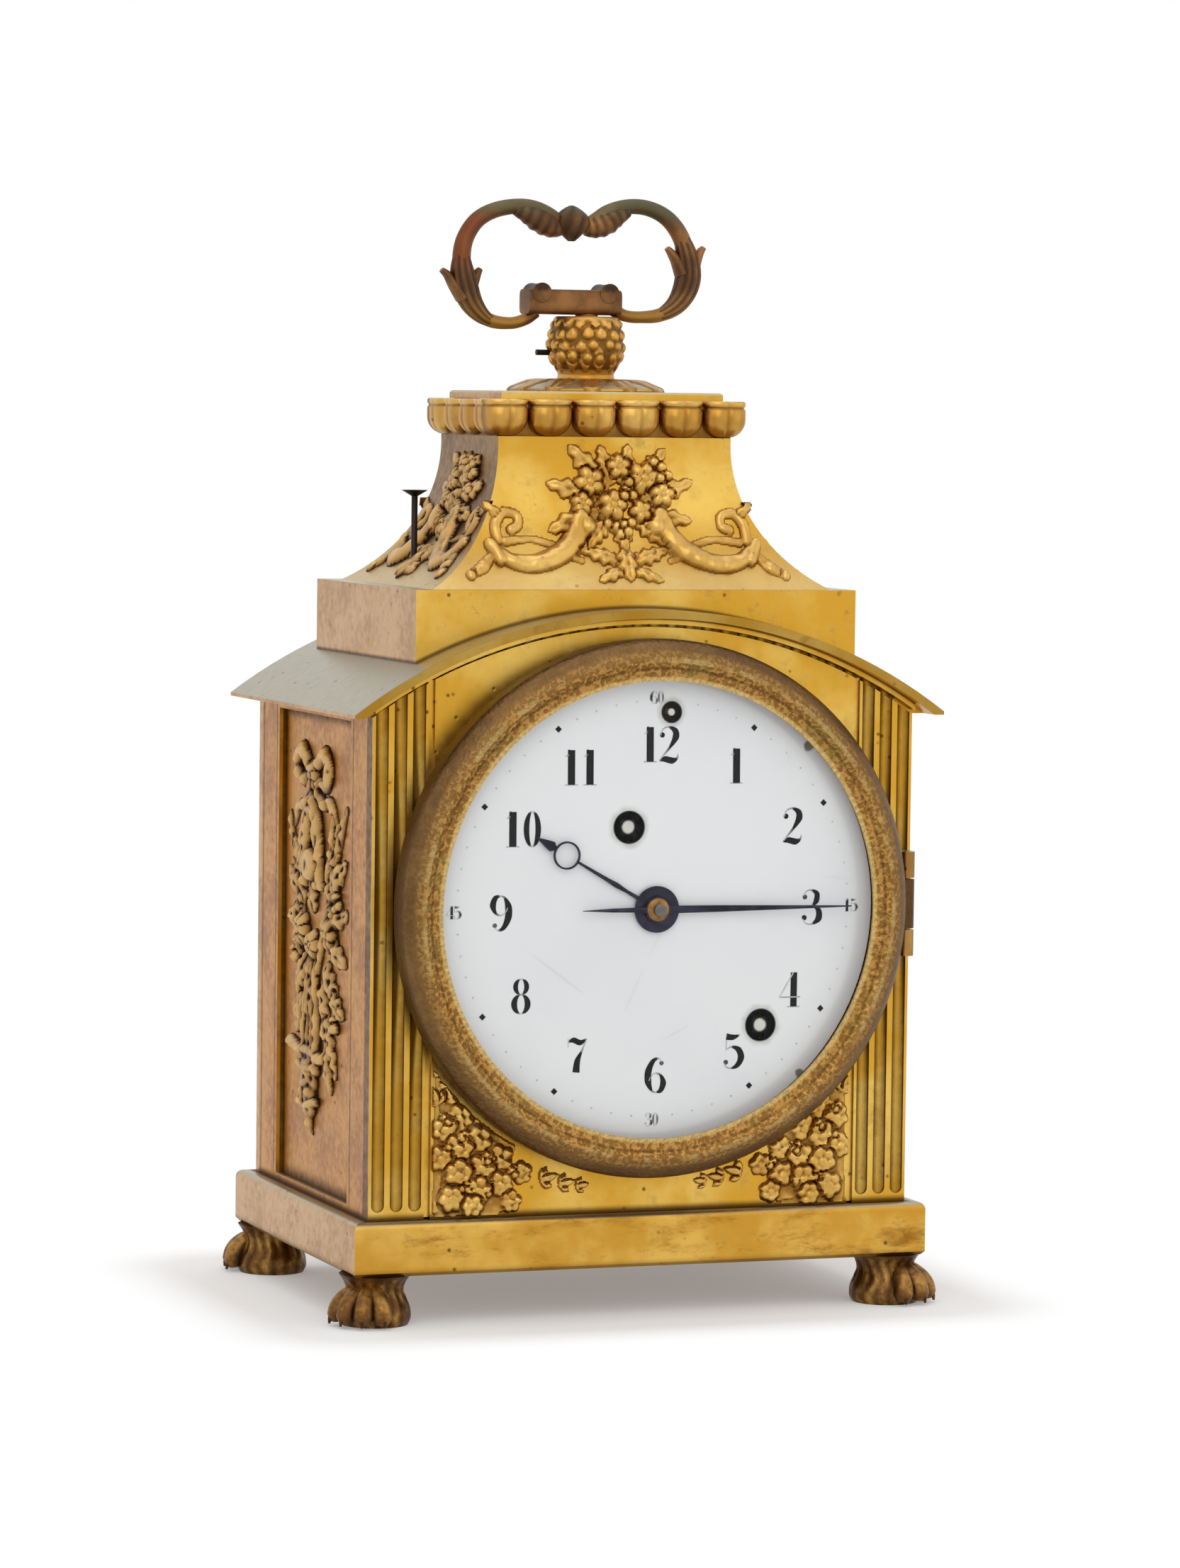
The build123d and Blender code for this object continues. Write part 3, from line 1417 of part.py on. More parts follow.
# Regulating arbor through the dial
with BuildPart() as regulator:
    regulator_back = back_plate_back + 2.4
    extrude(
        disc(facing(regulator_back, regulator_spot), arbor_radius),
        amount=regulator_back - winding_square_end,
    )
    extrude(disc(facing(front_wall_back - 0.3, regulator_spot), 1.4), amount=1.0)
    extrude(disc(facing(regulator_back, regulator_spot), 2.6), amount=1.2)
write(regulator.part, "regulator")

# One-piece click springs that stand over the ratchet wheels
with BuildPart() as click_springs:
    for spot in winding_arbors:
        click_back = front_wall_back
        click_plane = facing(click_back, spot)
        with BuildSketch(click_plane):
            with Locations((-ratchet_radius - 1.6, -6.0)):
                Circle(1.8)
        extrude(amount=1.5)
        with BuildSketch(facing(click_back - 0.3, spot)):
            with Locations((-ratchet_radius - 1.2, -2.4)):
                Rectangle(1.3, 6.2)
        extrude(amount=1.2)
write(click_springs.part, "click_springs")

# Motion work: cannon pinion on the centre arbor, minute wheel on its post, hour wheel on the cannon
minute_hand_back = minute_hand_front + hand_thick
cannon_back = front_wall_back - 0.3
with BuildPart() as cannon_pinion:
    extrude(disc(facing(cannon_back), cannon_radius), amount=cannon_back - minute_hand_back)
    extrude(disc(facing(minute_hand_back), cannon_end_radius), amount=minute_hand_back - cannon_front)
    extrude(
        toothed(facing(cannon_back - 0.1), cannon_leaves, motion_module, 0.0, pinion=True),
        amount=2.0,
    )
    bore_radius = centre_arbor_radius + running_fit
    extrude(
        disc(facing(cannon_back), bore_radius),
        amount=cannon_back - cannon_front - 0.6,
        mode=Mode.SUBTRACT,
    )
    with Locations((0, cannon_front + 0.3, dial_height)):
        Cylinder(0.2, 4, mode=Mode.SUBTRACT)
write(cannon_pinion.part, "cannon_pinion")

with BuildPart() as minute_wheel:
    minute_bore = minute_post_radius + running_fit
    wheel_plane = facing(front_wall_back - 0.5, minute_spot)
    extrude(
        toothed(wheel_plane, minute_teeth, motion_module, minute_turn, bore=minute_bore, windows=4),
        amount=1.0,
    )
    leaf_plane = facing(front_wall_back - 1.5, minute_spot)
    extrude(
        toothed(leaf_plane, minute_leaves, hour_module, 0.0, pinion=True, bore=minute_bore),
        amount=3.3,
    )
write(minute_wheel.part, "minute_wheel")

hour_bore = cannon_radius + running_fit
hour_wheel_back = front_wall_back - 3.6
hour_hand_back = hour_hand_front + hand_thick
with BuildPart() as hour_wheel:
    extrude(
        toothed(facing(hour_wheel_back), hour_teeth, hour_module, hour_turn, bore=hour_bore, windows=4),
        amount=1.0,
    )
    extrude(
        disc(facing(hour_wheel_back), hour_pipe_radius, hour_bore),
        amount=hour_wheel_back - hour_hand_front,
    )
write(hour_wheel.part, "hour_wheel")

# Hands: a hub with a ring and spade for the hour, a plain tapered blade with a tail for the minute
hour_plane = Plane(
    facing(hour_hand_back).origin,
    x_dir=(cos(radians(hour_hand_bearing)), 0, sin(radians(hour_hand_bearing))),
    z_dir=(0, -1, 0),
)
with BuildPart() as hour_hand:
    with BuildSketch(hour_plane):
        with BuildLine():
            Polyline(
                (0, 0.85),
                (hour_ring_place - hour_ring_radius + 0.3, 0.4),
                (hour_ring_place - hour_ring_radius + 0.3, -0.4),
                (0, -0.85),
                close=True,
            )
        make_face()
        with BuildLine():
            Polyline(
                (hour_ring_place + hour_ring_radius - 0.3, 0.8),
                (hour_ring_place + hour_ring_radius + 1.2, 0.35),
                (hour_hand_length, 0.05),
                (hour_hand_length, -0.05),
                (hour_ring_place + hour_ring_radius + 1.2, -0.35),
                (hour_ring_place + hour_ring_radius - 0.3, -0.8),
                close=True,
            )
        make_face()
        with Locations((hour_ring_place, 0)):
            Circle(hour_ring_radius)
            Circle(hour_ring_radius - hour_ring_wire, mode=Mode.SUBTRACT)
        Circle(hub_radius)
        Circle(hour_pipe_radius, mode=Mode.SUBTRACT)
    extrude(amount=hand_thick)
write(hour_hand.part, "hour_hand")

with BuildPart() as minute_hand:
    with BuildSketch(facing(minute_hand_back)):
        with BuildLine():
            Polyline(
                (-minute_hand_tail, 0.35),
                (0, 0.8),
                (minute_hand_length, 0.15),
                (minute_hand_length, -0.15),
                (0, -0.8),
                (-minute_hand_tail, -0.35),
                close=True,
            )
        make_face()
        Circle(collet_radius)
        Circle(cannon_end_radius, mode=Mode.SUBTRACT)
    extrude(amount=hand_thick)
write(minute_hand.part, "minute_hand")

with BuildPart() as hand_collet:
    with BuildSketch(dial_section):
        with BuildLine():
            Line((cannon_end_radius, minute_hand_front), (collet_radius, minute_hand_front))
            ThreePointArc(
                (collet_radius, minute_hand_front),
                (collet_radius * 0.8, minute_hand_front - 0.45),
                (cannon_end_radius, minute_hand_front - 0.7),
            )
            Line((cannon_end_radius, minute_hand_front - 0.7), (cannon_end_radius, minute_hand_front))
        make_face()
    revolve(axis=dial_axis)
    with Locations((0, cannon_front + 0.3, dial_height)):
        Cylinder(0.2, 4)
write(hand_collet.part, "hand_collet")

# Strike train
with BuildPart() as pin_wheel:
    add(arbor_with_pivots(pin_wheel_spot, front_pivot, back_pivot))
    wheel_plane = facing(level(17.0 + wheel_thick), pin_wheel_spot)
    extrude(toothed(wheel_plane, pin_wheel_teeth, pin_wheel_module, pin_wheel_turn), amount=wheel_thick)
    leaf_plane = facing(level(15.4), pin_wheel_spot)
    extrude(
        toothed(leaf_plane, pin_wheel_leaves, strike_barrel_module, pin_wheel_pinion_turn, pinion=True),
        amount=2.8,
    )
    with BuildSketch(facing(level(17.2), pin_wheel_spot)):
        with PolarLocations(lifting_pin_ring, lifting_pins):
            Circle(0.5)
    extrude(amount=1.6)
write(pin_wheel.part, "pin_wheel")

with BuildPart() as strike_fly:
    add(arbor_with_pivots(fly_spot, front_pivot, back_pivot))
    leaf_plane = facing(level(18.8), fly_spot)
    extrude(toothed(leaf_plane, fly_leaves, pin_wheel_module, fly_pinion_turn, pinion=True), amount=2.4)
    with BuildSketch(facing(level(14.0), fly_spot)):
        Rectangle(2 * fly_vane, 0.8)
        Circle(arbor_radius + 0.6)
    extrude(amount=9.0)
write(strike_fly.part, "strike_fly")

# Bell on its post, with the nut that holds it
with BuildPart() as bell:
    with BuildSketch(Plane((bell_spot[0], 0, dial_height + bell_spot[1]))):
        bell_crown = bell_rim + bell_depth
        with BuildLine():
            Line((bell_radius, bell_rim), (bell_radius - bell_wall, bell_rim))
            ThreePointArc(
                (bell_radius - bell_wall, bell_rim),
                (bell_radius * 0.74, bell_crown - bell_wall - bell_depth * 0.33),
                (bell_radius * 0.25, bell_crown - bell_wall),
            )
            Polyline(
                (bell_radius * 0.25, bell_crown - bell_wall),
                (bell_thread_radius, bell_crown - bell_wall),
                (bell_thread_radius, bell_crown),
                (bell_radius * 0.25, bell_crown),
            )
            ThreePointArc(
                (bell_radius * 0.25, bell_crown),
                (bell_radius * 0.8, bell_crown - bell_depth * 0.33),
                (bell_radius, bell_rim),
            )
        make_face()
    revolve(axis=Axis((bell_spot[0], 0, dial_height + bell_spot[1]), (0, 1, 0)))
    with BuildSketch(facing(bell_rim + bell_depth + 1.8, bell_spot)):
        RegularPolygon(3.0, 6)
        Circle(bell_thread_radius, mode=Mode.SUBTRACT)
    extrude(amount=1.7)
write(bell.part, "bell")

# Hammer: arbor, tail beside the lifting pins, arm behind the back plate and round head
head_spot = step_from(bell_spot, bell_radius + hammer_gap + hammer_head_radius, hammer_bearing_on_bell)
arm_bearing = bearing_of(hammer_spot, head_spot)
arm_length = sqrt((head_spot[0] - hammer_spot[0]) ** 2 + (head_spot[1] - hammer_spot[1]) ** 2)
tail_bearing = bearing_of(hammer_spot, pin_wheel_spot)
arm_front = back_plate_back + 0.8
arm_back = arm_front + 1.4
with BuildPart() as hammer:
    extrude(disc(facing(arm_back, hammer_spot), arbor_radius), amount=arm_back - front_pivot)
    with BuildSketch(facing(arm_back, hammer_spot)):
        Circle(1.8)
        with Locations(
            Location(
                (arm_length / 2 * cos(radians(arm_bearing)), arm_length / 2 * sin(radians(arm_bearing)))
            )
        ):
            Rectangle(arm_length, 1.8, rotation=arm_bearing)
    extrude(amount=arm_back - arm_front)
    extrude(disc(facing(1.0, head_spot), hammer_head_radius), amount=1.0 - arm_front)
    with BuildSketch(facing(level(16.8), hammer_spot)):
        Circle(1.6)
        with Locations(
            Location(
                (hammer_tail / 2 * cos(radians(tail_bearing)), hammer_tail / 2 * sin(radians(tail_bearing)))
            )
        ):
            Rectangle(hammer_tail, 1.4, rotation=tail_bearing)
    extrude(amount=1.1)
write(hammer.part, "hammer")
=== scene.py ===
import functools
import math

import bmesh
import bpy
import numpy as np
from mathutils import Matrix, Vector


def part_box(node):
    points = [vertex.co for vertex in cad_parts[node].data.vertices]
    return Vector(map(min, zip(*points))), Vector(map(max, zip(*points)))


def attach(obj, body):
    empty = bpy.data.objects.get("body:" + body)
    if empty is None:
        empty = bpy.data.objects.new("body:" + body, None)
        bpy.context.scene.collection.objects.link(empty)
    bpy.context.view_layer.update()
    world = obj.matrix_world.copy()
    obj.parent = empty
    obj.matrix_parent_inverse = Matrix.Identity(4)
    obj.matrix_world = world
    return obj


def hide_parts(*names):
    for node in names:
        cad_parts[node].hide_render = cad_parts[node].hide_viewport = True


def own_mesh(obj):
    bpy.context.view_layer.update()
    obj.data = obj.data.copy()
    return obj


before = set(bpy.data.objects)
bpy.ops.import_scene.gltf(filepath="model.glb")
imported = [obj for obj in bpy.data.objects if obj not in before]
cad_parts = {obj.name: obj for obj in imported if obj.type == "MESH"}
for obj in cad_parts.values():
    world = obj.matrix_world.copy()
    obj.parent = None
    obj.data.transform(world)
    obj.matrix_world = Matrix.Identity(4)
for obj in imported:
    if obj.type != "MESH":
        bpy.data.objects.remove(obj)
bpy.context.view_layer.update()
mm = 0.001
print("frame loaded", len(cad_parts), "nodes")

# Levels and places of the clock in millimetres, as in the part
clock = {
    "bodyY": 36.7, "sideField": 52.9, "dialZ": 77.85, "dialRadius": 44.2, "dialFront": -42.6,
    "dialEdge": -41.8,
    "atticTop": 137.5, "hoodTop": 166.25, "corniceTop": 173.35, "archZ": 34.36, "archRadius": 99.7,
}


# camera and stage
camera = {
    "place": (-376.226, -1042.265, 173.714), "yaw": 19.944, "pitch": 3.8788, "roll": 0.7381,
    "lens": 130.745, "sensor": 36.0,
}
stageLook = {
    "floor": (250, 250, 250), "shadowReach": (0.004, 0.030), "glowInShadow": 0.24, "skyForObject": 0.72,
    "lamps": (("keyLamp", (-0.35, -0.9, 0.85), 2.6, 0.9), ("fillLamp", (0.9, -0.7, 0.45), 1.3, 1.2),
              ("topLamp", (0.0, 0.1, 1.3), 2.2, 1.0)),
    "lampAim": (0, 0, 0.1), "plinthHalf": (0.0577, 0.0393),
}


def toLinear(colour):  # 0 to 255 screen colour to the linear colour that a shader takes
    part = np.asarray(colour, float) / 255
    linear = np.where(part <= 0.04045, part / 12.92, ((part + 0.055) / 1.055) ** 2.4)
    return (*linear.tolist(), 1.0)


def placedAt(axes, place):  # matrix of an object from its three axes and its place in metres
    matrix = Matrix.Identity(4)
    for column, values in enumerate((*axes, place)):
        for row in range(3):
            matrix[row][column] = values[row]
    return matrix


def setCamera():
    yaw, pitch, roll = (math.radians(camera[key]) for key in ("yaw", "pitch", "roll"))
    right = np.array([math.cos(yaw), -math.sin(yaw), 0])
    ahead = np.array([math.sin(yaw) * math.cos(pitch), math.cos(yaw) * math.cos(pitch), -math.sin(pitch)])
    above = np.cross(right, ahead)
    turnedRight = math.cos(roll) * right + math.sin(roll) * above
    turnedAbove = -math.sin(roll) * right + math.cos(roll) * above
    data = bpy.data.cameras.new("photoCamera")
    data.sensor_fit = "VERTICAL"
    data.sensor_height = camera["sensor"]
    data.lens = camera["lens"]
    data.clip_start = 0.01
    view = bpy.data.objects.new("photoCamera", data)
    bpy.context.collection.objects.link(view)
    view.matrix_world = placedAt((turnedRight, turnedAbove, -ahead), np.array(camera["place"]) * mm)
    bpy.context.scene.camera = view


# shader writing
class Wire:  # a socket that can be used in sums
    tree = None

    def __init__(self, socket):
        self.socket = socket

    @classmethod
    def node(cls, kind, settings=None, sockets=None, out=0):
        made = cls.tree.nodes.new(kind)
        for key, value in (settings or {}).items():
            setattr(made, key, value)
        feed(made, sockets or {})
        return cls(made.outputs[out])

    def maths(self, operation, first, second=None):
        return Wire.node("ShaderNodeMath", {"operation": operation},
                         {0: first} if second is None else {0: first, 1: second})

    def __add__(self, other):
        return self.maths("ADD", self, other)

    def __radd__(self, other):
        return self.maths("ADD", other, self)

    def __sub__(self, other):
        return self.maths("SUBTRACT", self, other)

    def __rsub__(self, other):
        return self.maths("SUBTRACT", other, self)

    def __mul__(self, other):
        return self.maths("MULTIPLY", self, other)

    def __rmul__(self, other):
        return self.maths("MULTIPLY", other, self)

    def __truediv__(self, other):
        return self.maths("DIVIDE", self, other)

    def __pow__(self, other):
        return self.maths("POWER", self, other)

    def __abs__(self):
        return self.maths("ABSOLUTE", self)

    def over(self, low, high):  # 0 below low and 1 above high, smooth between; falls where low is above high
        rises = low < high
        return Wire.node("ShaderNodeMapRange", {"interpolation_type": "SMOOTHSTEP"}, {
            0: self, 1: min(low, high), 2: max(low, high), 3: float(not rises), 4: float(rises)})

    def larger(self, other):
        return self.maths("MAXIMUM", self, other)

    def smaller(self, other):
        return self.maths("MINIMUM", self, other)

    def wave(self):
        return self.maths("SINE", self)


def blendColour(share, first, second):  # share 0 gives first, 1 gives second
    sockets = {0: share, 6: first if isinstance(first, Wire) else toLinear(first),
               7: second if isinstance(second, Wire) else toLinear(second)}
    return Wire.node("ShaderNodeMix", {"data_type": "RGBA"}, sockets, out=2)


def speckle(place, scale, detail=3.0, rough=0.55, stretch=None):
    if stretch is not None:
        place = Wire.node("ShaderNodeMapping", None, {"Vector": place, "Scale": stretch})
    return Wire.node("ShaderNodeTexNoise", None,
                     {"Vector": place, "Scale": scale, "Detail": detail, "Roughness": rough})


def dots(place, scale):  # distance to the nearest of scattered points, in cells
    return Wire.node("ShaderNodeTexVoronoi", None, {"Vector": place, "Scale": scale})


def newFinish(name):
    material = bpy.data.materials.new(name)
    material.use_nodes = True
    Wire.tree = material.node_tree
    shader = material.node_tree.nodes["Principled BSDF"]
    place = Wire.node("ShaderNodeTexCoord", out="Object")
    return material, shader, place


def feed(node, sockets):  # joins each socket to a wire or sets its value
    for key, value in sockets.items():
        if isinstance(value, Wire):
            Wire.tree.links.new(value.socket, node.inputs[key])
        else:
            node.inputs[key].default_value = value


def bumpFrom(height, strength, distance):
    return Wire.node("ShaderNodeBump", None, {"Height": height, "Strength": strength, "Distance": distance})


def parted(place):
    return [Wire.node("ShaderNodeSeparateXYZ", None, {0: place}, out=axis) for axis in range(3)]


def pointValue(name):
    return Wire.node("ShaderNodeAttribute", {"attribute_name": name}, out="Fac")


def largest(wires):
    return functools.reduce(Wire.larger, wires)


def distance(first, second):
    return (first * first + second * second) ** 0.5


# Where painted shade, dirt, bands and tints fade in, as pairs in metres; they fade out where the first is
# the larger
fades = {
    "fluteFront": (-0.0365, -0.0362), "wallFront": (-0.0365, -0.0361), "wallBack": (-0.0331, -0.0330),
    "groove": (0.0437, 0.0434), "frontFoot": (0.0214, 0.0199), "sideSunk": (0.0538, 0.0534),
    "sideEdge": (0.0208, 0.0231), "sideLow": (0.0240, 0.0214), "sideHigh": (0.1104, 0.1124),
    "sideFoot": (0.0212, 0.0199), "plinthLine": (0.0193, 0.0197), "plinthRim": (0.0014, 0.0002),
    "plinthFoot": (0.0112, 0.0097), "roofLip": (-0.0402, -0.0409), "moulding": (0.0976, 0.0980),
    "block": (0.0009, 0.0002), "knurl": (0.0492, 0.0482), "crestIn": (0.0464, 0.0468),
    "crestOut": (0.0478, 0.0472), "bandWarm": (0.0468, 0.0473), "lip": (0.0442, 0.0437),
    "seamOut": (0.0503, 0.0508), "seamIn": (0.0459, 0.0456), "seamLip": (0.0451, 0.0454),
    "milling": (0.0466, 0.0462), "redSide": (-0.017, -0.022), "redLow": (0.1990, 0.2030),
    "redHigh": (0.2125, 0.2100), "goldLow": (0.1955, 0.1915), "goldSide": (0.0085, 0.0105),
    "greenHigh": (0.2095, 0.2125), "greenSide": (0.004, 0.014), "greenLow": (0.206, 0.210),
    "hole": (0.00025, 0.00005), "holeRub": (0.0021, 0.0006), "arborEnd": (-0.0300, -0.0280),
}
postLines = ((0.0247, (0.00015, 0.0005)), (0.0335, (0.0002, 0.0006)))


def fade(wire, name):
    return wire.over(*fades[name])


# Gilt bronze: gold clouds, worn pale patches, brown stains and pits, painted shade with some dirt in the
# hollows, painted highlights on raised forms, and side and top tones of painted light
giltLook = {
    "gold": (210, 158, 52), "pale": (230, 190, 94), "stain": (146, 94, 28), "pit": (78, 46, 16),
    # The side tones and the up tone are painted light: sideways faces take the side tones and upward faces
    # the grey up tone, as light and reflection show them; the hollow colour after them is painted shade with
    # some dirt
    "side": (196, 158, 114), "sideLightStain": (174, 132, 86), "up": (172, 161, 134), "dirt": (74, 42, 10),
    # The bright colour is a painted highlight on raised forms; the share after it sets its strength
    "bright": (246, 212, 132), "highlightShare": 0.5, "gain": 0.72,
    "metallic": 0.94, "roughLow": 0.24, "roughHigh": 0.46, "stainShare": (0.50, 0.72), "stainDepth": 0.62,
    "streak": (1.0, 1.0, 1.0),
}
giltGrain = {"clouds": 75, "fine": 620, "brushed": 300, "stains": 150, "broad": 42, "pits": 300,
             "pitted": 90}


def giltFinish(name, look=None, hollows=None, sideLightTint=1.0, upLightTint=1.0, shape=None):
    look = {**giltLook, **(look or {})}
    material, shader, place = newFinish(name)
    clouds = speckle(place, giltGrain["clouds"], 4.0)
    fine = speckle(place, giltGrain["fine"], 4.0, 0.6)
    brushed = speckle(place, giltGrain["brushed"], 2.0, 0.5, (0.12, 0.12, 1.0))
    stains = speckle(place, giltGrain["stains"], 6.0, 0.72, look["streak"]).over(*look["stainShare"])
    broad = speckle(place, giltGrain["broad"], 3.0).over(0.42, 0.66)
    pitted = speckle(place, giltGrain["pitted"], 2.0).over(0.50, 0.60)
    pits = (1 - dots(place, giltGrain["pits"]).over(0.05, 0.17)) * pitted
    normal = Wire.node("ShaderNodeTexCoord", out="Normal")
    across, _, upward = parted(normal)
    front = blendColour(clouds.over(0.38, 0.66), look["gold"], look["pale"])
    front = blendColour(stains * look["stainDepth"] * (0.55 + broad * 0.45), front, look["stain"])
    # Painted light: the colour turns towards the side tones on sideways faces and towards the up tone on
    # upward faces
    sides = blendColour((clouds * 0.6 + fine * 0.4).over(0.4, 0.62), look["side"], look["sideLightStain"])
    colour = blendColour(abs(across).over(0.45, 0.9) * sideLightTint, front, sides)
    colour = blendColour(upward.over(0.35, 0.85) * upLightTint, colour, look["up"])
    colour = blendColour(pits * 0.8, colour, look["pit"])
    # Painted highlight: raised forms, marked by the mesh's high mask, turn towards the bright colour
    colour = blendColour(pointValue("high") * look["highlightShare"], colour, look["bright"])
    # Painted shade with some dirt: the mesh's hollow mask and the finish's own masks darken the colour
    # towards the hollow colour
    dirt = pointValue("grime") * (look["gain"] + fine * 0.4)
    if hollows is not None:
        dirt = dirt.larger(hollows(place, fine))
    colour = blendColour(dirt.smaller(1.0), colour, look["dirt"])
    rough = look["roughLow"] + (look["roughHigh"] - look["roughLow"]) * fine + dirt * 0.2
    height = fine * 0.5 + brushed * 0.35 - pits * 1.2
    surface = bumpFrom(height, 0.35, 0.00012)
    if shape is not None:
        surface = Wire.node("ShaderNodeBump", None, {
            "Height": shape(place), "Strength": 1.0, "Distance": mm, "Normal": surface})
    feed(shader, {"Base Color": colour, "Metallic": look["metallic"], "Roughness": rough.smaller(1.0),
                  "Normal": surface})
    return material


# Flutes of the pilasters: three on each side, with painted shade that is stronger at their banks
flutes = {"outer": 54.3, "pitch": 3.633, "half": 1.25, "depth": 0.55}


def fluteShare(place):  # 0 at the middle of a flute, 1 at its banks and on the fillets
    across, _, _ = parted(place)
    turns = (flutes["outer"] * mm - abs(across)) / (flutes["pitch"] * mm)
    part = Wire.node("ShaderNodeMath", {"operation": "FRACT"}, {0: turns})
    return (abs(part - 0.5) * (flutes["pitch"] / flutes["half"])).smaller(1.0)


def fluteShape(place):  # hollow of a flute in millimetres, h = -depth (1 - s^2)
    _, deep, _ = parted(place)
    share = fluteShare(place)
    near = fade(deep, "fluteFront") * (1 - fade(deep, "wallBack"))
    return (share * share - 1) * flutes["depth"] * near


def frontHollows(place, fine):  # painted shade in the flutes and in the grooves beside the field, and darker along the foot
    across, deep, up = parted(place)
    sunk = fade(deep, "wallFront") * (1 - fade(deep, "wallBack"))
    groove = sunk * fade(abs(across), "groove")
    flute = sunk * (0.30 + 0.38 * fluteShare(place)) * (0.75 + fine * 0.5)
    return largest((flute, groove * 0.25, fade(up, "frontFoot") * 0.9))


def sideHollows(place, fine):  # painted shade along the edges of the sunk side fields, darker along the foot, and dark lines along the posts
    across, deep, up = parted(place)
    sunk = fade(abs(across), "sideSunk")
    edge = largest((fade(abs(deep), "sideEdge"), fade(up, "sideLow"), fade(up, "sideHigh")))
    posts = largest([1 - abs(abs(deep) - spot).over(*width) for spot, width in postLines])
    return largest((sunk * edge * (0.6 + fine * 0.4), fade(up, "sideFoot") * 0.85,
                    (1 - sunk) * posts * 0.55))


def plinthHollows(place, _):  # dark line under the wall and mottled brown on the face
    across, deep, up = parted(place)
    outside = (abs(across) - 0.0545).larger(abs(deep) - 0.0370)
    line = fade(up, "plinthLine") * fade(outside, "plinthRim")
    mottled = speckle(place, 190, 6.0, 0.75, (0.7, 0.7, 1.3)).over(0.54, 0.74)
    return largest((line * 0.95, mottled * 0.45, fade(up, "plinthFoot") * 0.5))


def roofHollows(place, _):  # brown speckles on the slopes and a darker front lip
    deep = parted(place)[1]
    return (fade(deep, "roofLip") * 0.45).larger(speckle(place, 260, 5.0, 0.7).over(0.60, 0.78) * 0.35)


def mouldingHollows(place, _):  # painted shadow in a line along the outer edge of the arch, under the roof's edge
    across, _, up = parted(place)
    return fade(distance(across, up - clock["archZ"] * mm), "moulding") * 0.85


def blockHollows(place, _):  # dark line where the attic stands on the roof, and scattered stains
    across, _, up = parted(place)
    rise = up - ((clock["archRadius"] * mm) ** 2 - across * across) ** 0.5 - clock["archZ"] * mm
    return (fade(rise, "block") * 0.8).larger(speckle(place, 300, 4.0, 0.7).over(0.62, 0.76) * 0.4)


# Bezel: brown outer slope, grained crest with patches of painted highlight, milled gold band inside it and a
# bright lip
bezelLook = {
    "slope": (104, 76, 44), "slopeWarm": (128, 97, 56), "crest": (184, 154, 98), "band": (146, 104, 48),
    "bandPale": (182, 136, 70), "green": (140, 120, 58), "lip": (204, 172, 108), "pit": (70, 46, 24),
    "milling": 210.0, "metallic": 0.9,
}


def bezelFinish():
    look = bezelLook
    material, shader, place = newFinish("bezelGilt")
    across, _, up = parted(place)
    rise = up - clock["dialZ"] * mm
    away = distance(across, rise)
    angle = Wire.node("ShaderNodeMath", {"operation": "ARCTAN2"}, {0: rise, 1: across})
    fine = speckle(place, 1100, 3.0, 0.6)
    clouds = speckle(place, 90, 5.0, 0.6)
    grain = speckle(place, 1300, 2.0, 0.5).over(0.38, 0.62)
    patchNoise = speckle(place, 160, 4.0, 0.7)
    knurled = fade(away, "knurl")
    slope = blendColour((clouds * 0.6 + fine * 0.4).over(0.40, 0.64), look["slope"], look["slopeWarm"])
    band = blendColour((grain * 0.45 + clouds * 0.55).over(0.28, 0.72), look["band"], look["bandPale"])
    band = blendColour(patchNoise.over(0.52, 0.68) * 0.6, band, look["green"])
    crest = fade(away, "crestIn") * fade(away, "crestOut")
    band = blendColour(fade(away, "bandWarm") * 0.55, band, look["slopeWarm"])
    # Painted highlight in patches on the crest
    band = blendColour(crest * patchNoise.over(0.42, 0.56) * 0.75, band, look["crest"])
    colour = blendColour(knurled, slope, band)
    colour = blendColour(fade(away, "lip"), colour, look["lip"])
    seam = fade(away, "seamOut") + fade(away, "seamIn") * fade(away, "seamLip") * 0.7
    grit = (1 - grain) * 0.22 * (0.4 + knurled * 0.6)
    colour = blendColour((seam * 0.6 + grit).smaller(1.0), colour, look["pit"])
    milled = (angle * look["milling"]).wave() * fade(away, "milling")
    height = milled * 0.3 + grain * (0.3 + knurled * 0.7) + fine * 0.6
    feed(shader, {"Base Color": colour, "Metallic": look["metallic"], "Roughness": 0.3 + fine * 0.25,
                  "Normal": bumpFrom(height, 0.7, 0.0002)})
    return material


# Dark bronze of the paws and the handle
bronzeLook = {
    "paw": ((112, 74, 34), (182, 136, 68), (30, 17, 8)),
    "handle": ((104, 70, 40), (150, 104, 58), (44, 32, 22)),
    "green": (84, 86, 62), "red": (122, 64, 36), "gold": (168, 124, 52), "roughness": 0.42,
}


def pawFinish():
    dark, warm, shadeBlack = bronzeLook["paw"]
    material, shader, place = newFinish("pawBronze")
    clouds = speckle(place, 220, 4.0)
    fine = speckle(place, 1400, 4.0, 0.6)
    colour = blendColour((clouds * 0.7 + fine * 0.3).over(0.40, 0.66), dark, warm)
    # Painted shade with some dirt, from the mesh's hollow mask
    colour = blendColour(pointValue("grime").smaller(1.0), colour, shadeBlack)
    feed(shader, {"Base Color": colour, "Metallic": 0.85, "Roughness": 0.26 + fine * 0.25,
                  "Normal": bumpFrom(fine, 0.4, 0.0001)})
    return material


